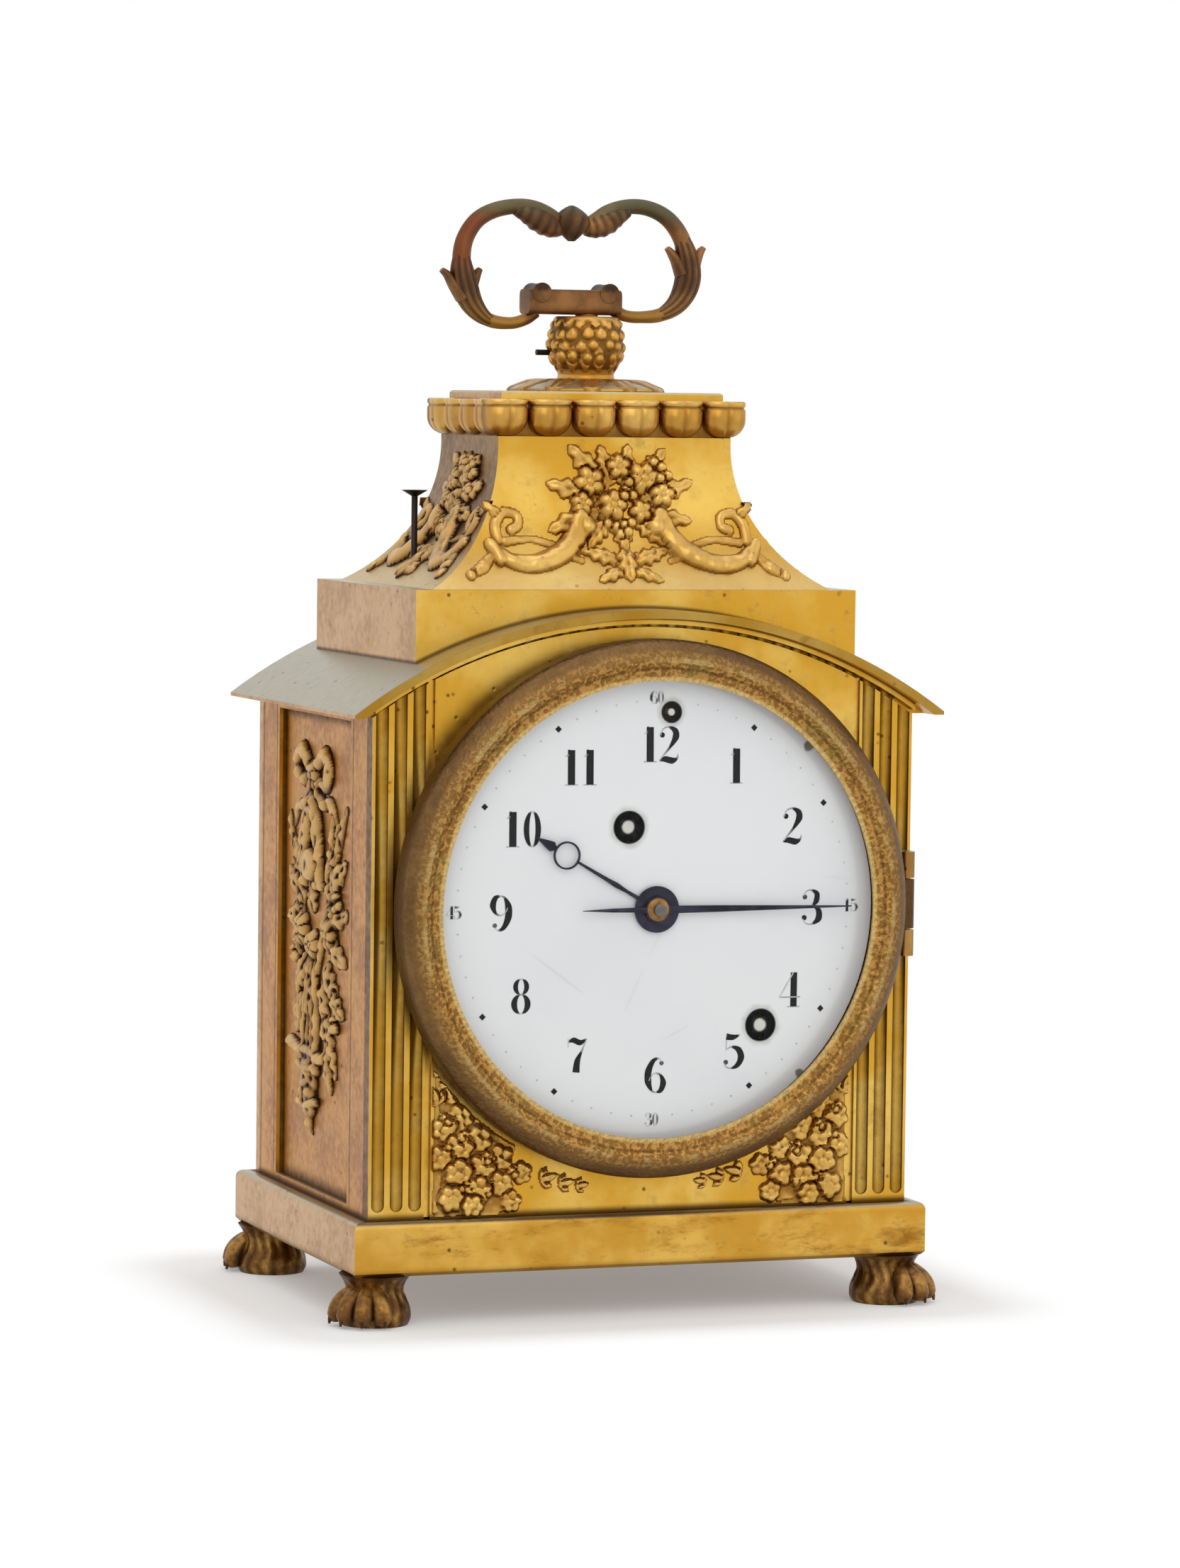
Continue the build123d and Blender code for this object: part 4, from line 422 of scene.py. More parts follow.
def handleFinish():  # red brown at the left, green grey on top, gold low on the scrolls
    brown, warm, shadeBlack = bronzeLook["handle"]
    material, shader, place = newFinish("handleBronze")
    across, _, up = parted(place)
    clouds = speckle(place, 140, 4.0)
    fine = speckle(place, 1300, 4.0, 0.6)
    colour = blendColour(clouds.over(0.38, 0.66), brown, warm)
    red = fade(across, "redSide") * fade(up + clouds * 0.006, "redLow") * fade(up + clouds * 0.006,
                                                                               "redHigh")
    colour = blendColour(red * 0.8, colour, bronzeLook["red"])
    gold = fade(up + clouds * 0.005, "goldLow") * fade(abs(across + 0.0034), "goldSide")
    colour = blendColour(gold * 0.75, colour, bronzeLook["gold"])
    green = fade(up + clouds * 0.004, "greenHigh").larger(fade(across, "greenSide") * fade(up, "greenLow"))
    colour = blendColour(green * 0.75, colour, bronzeLook["green"])
    # Painted shade with some dirt, from the mesh's hollow mask
    colour = blendColour(pointValue("grime").smaller(1.0), colour, shadeBlack)
    feed(shader, {"Base Color": colour, "Metallic": 0.75, "Roughness": bronzeLook["roughness"] + fine * 0.2,
                  "Normal": bumpFrom(fine, 0.4, 0.0001)})
    return material


# Enamel with hairlines, grey rubbing round the holes, painted shade as a black rim at each hole, and edge
# chips
enamelLook = {
    "white": (229, 231, 232), "shade": (224, 226, 228), "rub": (150, 152, 134), "chip": (78, 60, 38),
    "shadeBlack": (14, 14, 15),
    "holes": ((0.0217, -0.0225, 0.0030), (-0.0055, 0.0155, 0.0030), (0.0029, 0.0371, 0.00195),
              (0, 0, 0.0029)),
    "chips": ((0.0309, 0.0306, 0.0011), (0.0300, -0.0318, 0.0009), (-0.0245, 0.0362, 0.0004)),
}


def enamelFinish():
    look = enamelLook
    material, shader, place = newFinish("enamelWhite")
    across, _, up = parted(place)
    rise = up - clock["dialZ"] * mm
    fine = speckle(place, 500, 4.0)
    broad = speckle(place, 28, 4.0)
    colour = blendColour(broad.over(0.45, 0.7), look["white"], look["shade"])
    rubbed, shadeBlack = [], []
    for x, z, size in look["holes"]:
        away = distance(across - x, rise - z) - size
        rubbed.append(fade(away + fine * 0.0014, "holeRub") * 0.6)
        shadeBlack.append(fade(away, "hole"))
    rubbed = largest(rubbed)
    colour = blendColour(rubbed, colour, look["rub"])
    # Painted shade: a black rim at the edge of each hole, for the dark inside it
    colour = blendColour(largest(shadeBlack), colour, look["shadeBlack"])
    chipped = largest([(distance(across - x, rise - z) + fine * 0.0016).over(size + 0.0010, size + 0.0005)
                       for x, z, size in look["chips"]])
    colour = blendColour(chipped * 0.8, colour, look["chip"])
    crack = Wire.node("ShaderNodeTexVoronoi", {"feature": "DISTANCE_TO_EDGE"},
                      {"Vector": place, "Scale": 34.0}).over(0.012, 0.004)
    crack = crack * broad.over(0.55, 0.68)
    colour = blendColour(crack * 0.10, colour, look["chip"])
    feed(shader, {"Base Color": colour, "Metallic": 0.0, "Roughness": 0.16 + rubbed * 0.3,
                  "Coat Weight": 0.5, "Normal": bumpFrom(broad + fine * 0.05 - chipped * 0.4, 0.10, 0.0004)})
    return material


def inkFinish():  # fired black paint, rubbed away where its strokes are thin
    material, shader, place = newFinish("numeralBlack")
    patchNoise = speckle(place, 700, 4.0, 0.7)
    colour = blendColour(patchNoise.over(0.60, 0.78) * 0.4, (12, 12, 13), (70, 72, 72))
    colour = blendColour((pointValue("grime") * (0.45 + patchNoise)).smaller(1.0), colour, (196, 198, 199))
    feed(shader, {"Base Color": colour, "Roughness": 0.35 + patchNoise * 0.2, "Specular IOR Level": 0.15})
    return material


# Steels and brasses of the hands, the movement and the small parts
metalLooks = {
    "bluedSteel": {"base": (26, 27, 36), "other": (60, 56, 76), "rough": 0.34, "grain": (1, 1, 1),
                   "scale": 500},
    "greySteel": {"base": (128, 126, 122), "other": (96, 92, 88), "rough": 0.36, "grain": (0.1, 1, 1),
                  "scale": 700},
    "darkPin": {"base": (62, 54, 50), "other": (24, 20, 20), "rough": 0.4, "grain": (1, 1, 0.2),
                "scale": 400},
    "movementBrass": {"base": (222, 186, 110), "other": (196, 154, 80), "rough": 0.3, "grain": (0.08, 1, 1),
                      "scale": 520},
    "wheelBrass": {"base": (226, 188, 104), "other": (202, 160, 78), "rough": 0.28, "grain": (1, 0.1, 1),
                   "scale": 480},
    "bellMetal": {"base": (206, 178, 128), "other": (178, 148, 98), "rough": 0.24, "grain": (1, 0.06, 1),
                  "scale": 380},
    "colletBrass": {"base": (168, 128, 66), "other": (112, 74, 36), "rough": 0.3, "grain": (1, 1, 1),
                    "scale": 420},
}


def metalFinish(name):
    look = metalLooks[name]
    material, shader, place = newFinish(name)
    grain = speckle(place, look["scale"], 4.0, 0.6, look["grain"])
    clouds = speckle(place, 60, 4.0)
    colour = blendColour((grain * 0.5 + clouds * 0.5).over(0.38, 0.66), look["base"], look["other"])
    # Painted shade from the mesh's hollow mask, where a piece has one
    colour = blendColour(pointValue("grime").smaller(1.0), colour, (38, 28, 20))
    feed(shader, {"Base Color": colour, "Metallic": 0.9, "Roughness": look["rough"] + grain * 0.15,
                  "Normal": bumpFrom(grain, 0.3, 0.00006)})
    return material


arborLook = {
    # The dark colour is painted shade for the inside of the winding holes
    "bright": (214, 214, 208), "dark": (9, 9, 9), "reach": 0.00118, "smallShare": 0.6,
    "spots": ((21.7, -22.5), (-5.5, 15.5), (2.9, 37.1)),
}


def arborFinish():  # squares of the arbors: polished in the middle of the end and painted black around it at the front, for the shade inside the winding holes
    look = arborLook
    material, shader, place = newFinish("windingSteel")
    across, deep, up = parted(place)
    fine = speckle(place, 900, 3.0)
    spots = []
    for x, z in look["spots"]:
        away = distance(across - x * mm, up - (clock["dialZ"] + z) * mm)
        size = look["reach"] * (look["smallShare"] if z > 30 else 1.0)
        spots.append((away + fine * 0.0003).over(size + 0.0004, size - 0.0001))
    # Painted shade: the front end is black outside the polished spot; further back the steel stays lighter
    bright = largest(spots).larger(fade(deep, "arborEnd") * 0.7)
    colour = blendColour(bright * (0.8 + fine * 0.2), look["dark"], look["bright"])
    feed(shader, {"Base Color": colour, "Metallic": bright * 0.8, "Roughness": 0.3 + fine * 0.3,
                  "Specular IOR Level": 0.1, "Normal": bumpFrom(fine, 0.3, 0.00005)})
    return material


def glassFinish():  # old thin glass: nearly clear, with a little haze
    material, shader, place = newFinish("clearGlass")
    haze = speckle(place, 40, 3.0)
    feed(shader, {"Base Color": blendColour(haze, (236, 240, 240), (246, 248, 246)), "Roughness": 0.05,
                  "Alpha": 0.004 + haze * 0.008, "IOR": 1.5})
    material.surface_render_method = "BLENDED"
    return material


# mesh making
def gridFaces(rows, columns, wrapRows=False, wrapColumns=False):
    # Quad (i, j), (i+1, j), (i+1, j+1), (i, j+1) for each cell of a grid
    i, j = np.meshgrid(np.arange(rows if wrapRows else rows - 1),
                       np.arange(columns if wrapColumns else columns - 1), indexing="ij")
    nextI, nextJ = (i + 1) % rows, (j + 1) % columns
    return np.stack([i * columns + j, nextI * columns + j, nextI * columns + nextJ, i * columns + nextJ],
                    -1).reshape(-1, 4)


def facedOut(points, faces):
    # Volume = sum of a.(b x c)/6 over the triangles; a negative volume turns the faces round
    a, b, c, d = (points[faces[:, k]] for k in range(4))
    volume = np.einsum("ij,ij->i", a, np.cross(b, c)).sum() + np.einsum("ij,ij->i", a, np.cross(c, d)).sum()
    return faces if volume >= 0 else faces[:, ::-1]


class Shells:  # gathers closed grids of one piece
    def __init__(self):
        self.points, self.faces, self.grime, self.high, self.count = [], [], [], [], 0

    def add(self, points, faces, grime=None, high=None):
        self.points.append(points)
        self.faces.append(facedOut(points, faces) + self.count)
        self.grime.append(np.zeros(len(points)) if grime is None else grime)
        self.high.append(np.zeros(len(points)) if high is None else high)
        self.count += len(points)

    def grid(self, surface, wrapColumns=True, grime=None, high=None):
        rows, columns = surface.shape[:2]
        flat = [None if value is None else np.broadcast_to(value, (rows, columns)).reshape(-1)
                for value in (grime, high)]
        self.add(surface.reshape(-1, 3), gridFaces(rows, columns, False, wrapColumns), *flat)

    def piece(self, name, finish, body, slot, stands=(), sharp=50):
        points = np.concatenate(self.points) * mm
        faces = np.concatenate(self.faces)
        mesh = bpy.data.meshes.new(name)
        mesh.from_pydata(points.tolist(), [], faces.tolist())
        for key, values in (("grime", self.grime), ("high", self.high)):
            attribute = mesh.attributes.new(key, "FLOAT", "POINT")
            attribute.data.foreach_set("value", clamped(np.concatenate(values)).astype(np.float32))
        work = bmesh.new()
        work.from_mesh(mesh)
        bmesh.ops.remove_doubles(work, verts=work.verts, dist=0.5e-6)
        work.to_mesh(mesh)
        work.free()
        mesh.polygons.foreach_set("use_smooth", np.ones(len(mesh.polygons), bool))
        mesh.set_sharp_from_angle(angle=math.radians(sharp))
        mesh.materials.append(finish)
        made = bpy.data.objects.new(name, mesh)
        bpy.context.collection.objects.link(made)
        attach(made, body)
        if stands:
            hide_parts(*stands)
        print("made", name, len(mesh.polygons), "faces")
        return made


def smoothLine(points, count):
    # Catmull-Rom: 0.5(2b + (c-a)t + (2a-5b+4c-d)t^2 + (3b-a-3c+d)t^3) through the points
    given = np.asarray(points, float)
    held = np.vstack([2 * given[0] - given[1], given, 2 * given[-1] - given[-2]])
    along = np.linspace(0, len(given) - 1, count)
    start = np.minimum(along.astype(int), len(given) - 2)
    t = (along - start)[:, None]
    a, b, c, d = held[start], held[start + 1], held[start + 2], held[start + 3]
    return 0.5 * (2 * b + (c - a) * t + (2 * a - 5 * b + 4 * c - d) * t**2 + (3 * b - a - 3 * c + d) * t**3)


def unit(vectors):
    return vectors / np.maximum(np.linalg.norm(vectors, axis=-1, keepdims=True), 1e-9)


def clamped(values):
    return np.clip(values, 0, 1)


def ringAngles(count):
    return np.linspace(0, 2 * np.pi, count, endpoint=False)


def closedEnds(rings):  # the rings between two more that lie at the middle points of the first and the last
    ends = np.repeat(rings[[0, -1]].mean(1, keepdims=True), rings.shape[1], 1)
    return np.concatenate([ends[:1], rings, ends[1:]])


def sweptTube(path, wide, deep=None, sides=20, level=(0, 1, 0), ripple=None):
    # Ring point = path + (wide cos a) normal + (deep sin a) side, with closed ends
    path = np.asarray(path, float)
    wide = np.broadcast_to(np.asarray(wide, float), len(path)).copy()
    deep = wide.copy() if deep is None else np.broadcast_to(np.asarray(deep, float), len(path)).copy()
    tangent = unit(np.gradient(path, axis=0))
    side = np.broadcast_to(np.asarray(level, float), path.shape)
    side = unit(side - (side * tangent).sum(1, keepdims=True) * tangent)
    normal = np.cross(tangent, side)
    angle = ringAngles(sides)
    swell = 1.0 if ripple is None else ripple(np.linspace(0, 1, len(path))[:, None], angle[None, :])
    rings = (path[:, None] + (wide[:, None] * np.cos(angle) * swell)[..., None] * normal[:, None]
             + (deep[:, None] * np.sin(angle) * swell)[..., None] * side[:, None])
    ends = np.stack([np.repeat(path[:1], sides, 0), np.repeat(path[-1:], sides, 0)])
    return np.concatenate([ends[:1], rings, ends[1:]])


def turned(profile, centre=(0, 0), sides=96, relief=None):
    # Surface of revolution about a vertical axis: (cx + r cos a, cy + r sin a, z)
    profile = np.asarray(profile, float)
    angle = ringAngles(sides)
    radius = np.repeat(profile[:, :1], sides, 1)
    level = np.repeat(profile[:, 1:2], sides, 1)
    if relief is not None:
        radius = radius + relief(angle[None, :], level)
    return np.stack([centre[0] + radius * np.cos(angle), centre[1] + radius * np.sin(angle), level], -1)


# carving: heights over a flat sheet, raised by leaves, berries, flowers and stems
# The first value sets the gap, the next three scale the painted shade in the hollows, the last scales the
# painted highlight on raised forms
relief = {"gap": 0.16, "near": 0.24, "far": 0.75, "foot": 0.36, "crown": 0.6}
class Carving:
    def __init__(self, left, right, low, high, step):
        self.step = step
        self.x, self.z = np.meshgrid(np.arange(left, right + step, step), np.arange(low, high + step, step),
                                     indexing="ij")
        self.height = np.full_like(self.x, -1.0)

    def raiseTo(self, height, inside, beside=None):
        # A form laid over others keeps a narrow gap round itself, which the painted shade then fills
        if beside is not None:
            lowered = beside & (self.height < height.max() + 0.2)
            self.height = np.where(lowered, np.minimum(self.height, relief["gap"]), self.height)
        self.height = np.where(inside, np.maximum(self.height, height), self.height)

    def local(self, x, z, angle):
        c, s = math.cos(math.radians(angle)), math.sin(math.radians(angle))
        return (self.x - x) * c + (self.z - z) * s, -(self.x - x) * s + (self.z - z) * c

    def leaf(self, x, z, angle, length, width, rise, lobes=4, base=0.0, bend=0.0):
        # Half width w = W sin(pi t^0.75)^0.6 (1 - 0.32 notch), height = rise sqrt(1 - (d/w)^2)
        along, across = self.local(x, z, angle)
        t = clamped(along / length)
        across = across - bend * length * t**2
        notch = 0.5 + 0.5 * np.cos(2 * np.pi * (lobes * t - 0.35 * np.abs(across) / width))
        half = 0.5 * width * np.sin(np.pi * t**0.75) ** 0.6 * (1 - 0.32 * notch * (t > 0.08)) + 1e-6
        share = 1 - (across / half) ** 2
        body = np.sqrt(clamped(share)) * (0.62 + 0.38 * np.sin(np.pi * t))
        rib = 0.22 * np.exp(-((across / (0.07 * width)) ** 2))
        veins = 0.10 * np.cos(2 * np.pi * (lobes * t - 0.9 * np.abs(across) / width))
        gap = (np.abs(across) < half + 0.22) & (along > -0.1) & (along < length + 0.4) & (t > 0.12)
        inside = (share > 0) & (along > 0) & (along < length)
        self.raiseTo(base + rise * (body * (1 + veins) - rib), inside, gap)

    def berry(self, x, z, radius, base=0.0, gap=0.3):  # height = base + sqrt(r^2 - d^2)
        away = (self.x - x) ** 2 + (self.z - z) ** 2
        self.raiseTo(base + np.sqrt(np.clip(radius**2 - away, 0, None)), away < radius**2,
                     None if gap is None else away < (radius + gap) ** 2)

    def flower(self, x, z, radius, petals, rise, base=0.0, turn=0.0):
        # Petal edge R(a) = r (0.68 + 0.32 |cos(n a / 2)|); cupped petals and a round heart
        along, across = self.x - x, self.z - z
        away = np.hypot(along, across)
        phase = petals * (np.arctan2(across, along) - turn) / 2
        edge = radius * (0.68 + 0.32 * np.abs(np.cos(phase)) ** 0.7)
        share = away / edge
        cup = np.sqrt(clamped(1 - share**2)) * 0.55 + 0.55 * np.sin(np.pi * clamped(share)) ** 1.2
        crease = 1 - 0.35 * np.exp(-(np.abs(np.sin(phase + np.pi / 2)) / 0.22) ** 2) * (share > 0.3)
        self.raiseTo(base + rise * cup * crease, share < 1, away < edge + 0.2)
        self.berry(x, z, radius * 0.27, base + rise * 0.35, None)

    def strand(self, points, radii, rise=1.0, base=0.0, rings=0, ringDepth=0.2, count=90):
        # Height = base + rise sqrt(r(s)^2 - d^2) to the nearest point of the line; rings add a cosine to it
        line = smoothLine(points, count)
        thick = np.interp(np.linspace(0, 1, count), np.linspace(0, 1, len(radii)), radii)
        reach = max(radii) + self.step
        near = ((self.x > line[:, 0].min() - reach) & (self.x < line[:, 0].max() + reach)
                & (self.z > line[:, 1].min() - reach) & (self.z < line[:, 1].max() + reach))
        x, z = self.x[near], self.z[near]
        away = np.hypot(x[:, None] - line[:, 0], z[:, None] - line[:, 1])
        nearest = away.argmin(1)
        distance, radius = away[np.arange(len(x)), nearest], thick[nearest]
        ripple = 1 - ringDepth * (0.5 + 0.5 * np.cos(2 * np.pi * rings * nearest / count)) if rings else 1.0
        height = self.height[near]
        raised = base + rise * np.sqrt(np.clip(radius**2 - distance**2, 0, None)) * ripple
        self.height[near] = np.where(distance < radius, np.maximum(height, raised), height)

    def roughen(self, pitch, depth, seed):  # smooth random lumps, one value in each square of the pitch
        values = np.random.default_rng(seed).random([int(n * self.step / pitch) + 3 for n in self.x.shape])
        u, v = (self.x - self.x[0, 0]) / pitch, (self.z - self.z[0, 0]) / pitch
        i, j = u.astype(int), v.astype(int)
        s, t = (w * w * (3 - 2 * w) for w in (u - i, v - j))
        mixed = ((values[i, j] * (1 - s) + values[i + 1, j] * s) * (1 - t)
                 + (values[i, j + 1] * (1 - s) + values[i + 1, j + 1] * s) * t)
        self.height = np.where(self.height > 0.3, np.maximum(self.height - depth * mixed, 0.2), self.height)

    def roundLeaf(self, x, z, angle, size, base):  # six round lobes and a heart, cut off from what is below
        away = np.hypot(self.x - x, self.z - z)
        self.height = np.where(away < size * 1.06, np.minimum(self.height, 0.3), self.height)
        for turn, share in ((180, 0.72), (118, 0.85), (-118, 0.85), (60, 0.95), (-60, 0.95), (0, 1.05)):
            around = math.radians(angle + turn)
            self.berry(x + 0.6 * size * share * math.cos(around), z + 0.6 * size * share * math.sin(around),
                       0.42 * size, base, None)
        self.berry(x, z, 0.42 * size, base + 0.12, None)

    def blurred(self, reach):  # mean of the height over a square of 2 reach + 1 cells, taken twice
        height = np.clip(self.height, -0.1, None)
        span = 2 * reach + 1
        for _ in range(2):
            sums = np.pad(np.cumsum(np.cumsum(np.pad(height, reach, mode="edge"), 0), 1), ((1, 0), (1, 0)))
            height = sums[span:, span:] - sums[:-span, span:] - sums[span:, :-span] + sums[:-span, :-span]
            height = height / span**2
        return height

    def dirt(self, narrow=2, wide=7):
        # Painted shade, with some dirt, where the sheet lies below the mean of its surroundings, near and
        # far, and along its foot
        height = np.clip(self.height, -0.1, None)
        low = np.clip((self.blurred(narrow) - height) / relief["near"], 0, 0.9)
        deep = np.clip((self.blurred(wide) - height) / relief["far"], 0, 0.75)
        edge = clamped(1 - self.height / relief["foot"]) * 0.9
        return np.maximum(np.maximum(low, deep), edge)

    def crown(self, wide=6):  # painted highlight on the forms that stand above the mean of their surroundings
        return clamped((self.height - self.blurred(wide)) / relief["crown"])

    def closedSheet(self, shells, lay, under=-0.3):
        # lay(x, z, h) gives the place of a point at height h; the sheet is closed by its own back, under it
        rows, columns = self.x.shape
        quads = gridFaces(rows, columns)
        raised = self.height.reshape(-1) > 0.0
        quads = quads[raised[quads].any(1)]
        top = lay(self.x, self.z, np.maximum(self.height, under * 0.5)).reshape(-1, 3)
        back = lay(self.x, self.z, np.full_like(self.x, under)).reshape(-1, 3)
        size = rows * columns
        edges = np.concatenate([quads[:, [k, (k + 1) % 4]] for k in range(4)])
        keys = edges[:, 0].astype(np.int64) * size + edges[:, 1]
        backKeys = edges[:, 1].astype(np.int64) * size + edges[:, 0]
        rim = edges[~np.isin(keys, backKeys)]
        walls = np.stack([rim[:, 1], rim[:, 0], rim[:, 0] + size, rim[:, 1] + size], 1)
        faces = np.concatenate([quads, quads[:, ::-1] + size, walls])
        used, compact = np.unique(faces, return_inverse=True)
        points = np.concatenate([top, back])[used]
        # Painted shade with some dirt in the hollows, full on the back
        grime = np.concatenate([self.dirt().reshape(-1), np.ones(size)])[used]
        # Painted highlight on the raised forms
        high = np.concatenate([self.crown().reshape(-1), np.zeros(size)])[used]
        shells.add(points, compact.reshape(-1, 4), grime, high)


# hood mounts: bouquet with two horns, on the hollow faces
hood = {
    "footX": 40.2, "footY": 28.5, "topX": 23.7, "topY": 17.2, "sweepX": 31.0, "sweepY": 39.7, "rise": 0.92,
    "leaves": (
        (-4, 152, 196, 11.5, 5.4), (-3, 154, 160, 12, 5.2), (-2, 156, 128, 11.6, 5.4),
        (-1, 157, 104, 8.2, 4.6), (1, 157, 76, 8.2, 4.6), (3, 156, 46, 11, 5), (4, 154, 16, 12.4, 5),
        (4, 152, -12, 11, 4.6), (-2, 151, 226, 8, 4), (3, 151, -46, 8, 4), (0, 151, 270, 6.5, 5),
    ),
    "flowers": (
        (-5.6, 157.6, 3.3, 5), (5.4, 158.4, 3.6, 6), (-1.2, 153.2, 3.2, 5), (9.0, 155.2, 2.7, 5),
        (-7.4, 153.4, 2.5, 5), (0.4, 160.6, 2.7, 5), (4.4, 152.0, 2.5, 5),
    ),
    "berries": (
        (1.6, 156.2), (3.0, 155.0), (1.2, 154.9), (2.4, 157.6), (7.6, 161.6), (9.2, 160.6),
        (10.4, 159.0), (8.8, 158.4), (-2.6, 149.6), (-1.0, 149.0), (0.6, 149.2), (2.2, 149.8),
        (-0.4, 147.6), (1.2, 147.9),
    ),
}


def hollowFace(foot, top, sweep):
    # Circle of radius sweep through (foot, low) and (top, high): half(z) = cx - sqrt(r^2 - (z - cz)^2)
    low, high = clock["atticTop"], clock["hoodTop"]
    chord = math.hypot(top - foot, high - low)
    away = math.sqrt(sweep**2 - chord**2 / 4)
    centreX = (foot + top) / 2 + (high - low) / chord * away
    centreZ = (low + high) / 2 + (foot - top) / chord * away

    def place(z):
        half = centreX - np.sqrt(sweep**2 - (z - centreZ) ** 2)
        return half, (centreX - half) / sweep, (centreZ - z) / sweep
    return place


def bouquet(narrow, step):
    # The carving of one hood face in its own flat sheet; narrow squeezes it sideways for the end faces
    sheet = Carving(-35 * narrow, 35 * narrow, 137.9, 166.0, step)
    for side in (-1, 1):
        def branch(points, *shape, rings=0, side=side):
            sheet.strand([(side * x * narrow, z) for x, z in points], *shape, rings=rings)
        branch(((8.0, 150.4), (10.0, 146.8), (13.4, 143.9), (18.6, 142.2), (22.9, 142.6), (25.6, 144.4)),
               (2.5, 2.3, 2.0, 1.75, 1.5, 1.3), 0.9, 0.25)
        branch(((8.2, 151.2), (7.2, 149.2)), (2.0, 2.3), 1.0, 0.35)
        branch(((23.9, 146.3), (18.5, 146.8), (13.4, 145.4)), (0.95, 0.75, 0.9), 0.9, 0.1)
        branch(((25.4, 142.9), (26.9, 145.8)), (1.25, 1.25), 1.0, 0.45)
        branch(((26.6, 144.0), (29.2, 141.6), (31.9, 140.2)), (0.9, 1.25, 0.8), 0.9, 0.2, rings=3)
        sheet.berry(side * 31.9 * narrow, 140.1, 1.0, 0.2)
        branch(((25.4, 146.6), (25.2, 149.6), (23.4, 151.7), (20.9, 151.3), (20.7, 149.4), (22.2, 148.6)),
               (1.1, 1.2, 1.1, 1.0, 1.0, 1.1), 0.95, 0.1)
        sheet.leaf(side * 24.0 * narrow, 151.0, 90 - side * 50, 4.4, 2.4, 1.0, 2)
        branch(((9.4, 144.6), (11.0, 146.1), (11.4, 143.8), (9.0, 142.8)), (0.8, 0.8, 0.7, 0.7), 0.9, 0.1)
        sheet.leaf(side * 1.0 * narrow, 142.6, 90 - side * 74, 8.4 * narrow, 3.6, 1.2, 4, 0.2)
        sheet.leaf(side * 0.5 * narrow, 141.4, 90 - side * 112, 6.6 * narrow, 2.8, 1.1, 3, 0.2)
    sheet.leaf(0, 145.0, -90, 6.2, 4.6, 1.3, 3, 0.3)
    for x, z, angle, length, width in hood["leaves"]:
        sheet.leaf(x * narrow, z, angle, length * (0.35 + 0.65 * narrow), width, 1.35, 4, 0.2, 0.05)
    for x, z, radius, petals in hood["flowers"]:
        sheet.flower(x * narrow, z, radius * (0.5 + 0.5 * narrow), petals, 1.15, 0.75, x)
    for x, z in hood["berries"]:
        sheet.berry(x * narrow, z, 1.05, 0.8, 0.12)
    sheet.roughen(1.5, 0.45, 8)
    return sheet


def hoodMounts(finish, sideFinish):
    frontFace = hollowFace(hood["footY"], hood["topY"], hood["sweepY"])
    sideFace = hollowFace(hood["footX"], hood["topX"], hood["sweepX"])
    for name, turn, face, narrow, step in (
            ("hoodMountFront", 0, frontFace, 1.0, 0.27), ("hoodMountBack", 2, frontFace, 1.0, 0.4),
            ("hoodMountLeft", 3, sideFace, 0.66, 0.3), ("hoodMountRight", 1, sideFace, 0.66, 0.3)):
        def lay(x, z, height, turn=turn, face=face):
            half, outward, upward = face(z)
            out = half + outward * height * hood["rise"]
            level = z + upward * height * hood["rise"]
            spots = ((x, -out), (out, x), (-x, out), (-out, -x))[turn]
            return np.stack([spots[0], spots[1], level], -1)
        shells = Shells()
        bouquet(narrow, step).closedSheet(shells, lay)
        shells.piece(name, finish if turn % 2 == 0 else sideFinish, "case", "gilt_bronze", ("hood_mounts",),
                     80)


# Spandrels: vine leaves and grapes in the lower corners of the field
spandrel = {
    "step": 0.24, "leaf": 0.66, "clear": 51.4, "left": 10.0, "right": 41.8, "low": 20.2, "high": 52.0,
    "top": 1.68,
    "leaves": (
        (39.9, 47.6, 104, 3.6, 0.1), (38.7, 43.4, 128, 4.2, 0.2), (40.9, 41.4, 66, 3.4, 0.3),
        (36.6, 38.6, 134, 4.6, 0.15), (39.6, 36.6, 96, 4.4, 0.35), (33.0, 34.6, 140, 4.6, 0.2),
        (36.8, 33.0, 112, 4.8, 0.4), (40.4, 31.0, 70, 4.2, 0.5), (28.8, 30.6, 146, 4.6, 0.2),
        (32.4, 29.0, 122, 4.8, 0.45), (36.8, 28.0, 96, 4.8, 0.55), (24.4, 27.9, 156, 3.8, 0.2),
        (20.4, 26.4, 164, 3.2, 0.2), (16.6, 25.5, 168, 2.8, 0.2), (13.2, 25.0, 172, 2.3, 0.15),
        (28.6, 25.8, 136, 4.4, 0.5), (33.0, 24.8, 110, 4.6, 0.65), (38.0, 23.4, 60, 4.6, 0.65),
        (26.4, 22.6, 168, 3.6, 0.45), (34.2, 22.0, 184, 3.8, 0.7),
    ),
    "berries": (
        (35.4, 35.8), (36.2, 34.9), (31.2, 31.6), (30.3, 31.0), (31.0, 30.4), (38.9, 33.4), (26.2, 28.6),
        (25.6, 27.7), (35.2, 26.2), (36.0, 25.4), (35.0, 25.2), (30.8, 24.2), (39.6, 39.0), (39.0, 38.2),
    ),
}


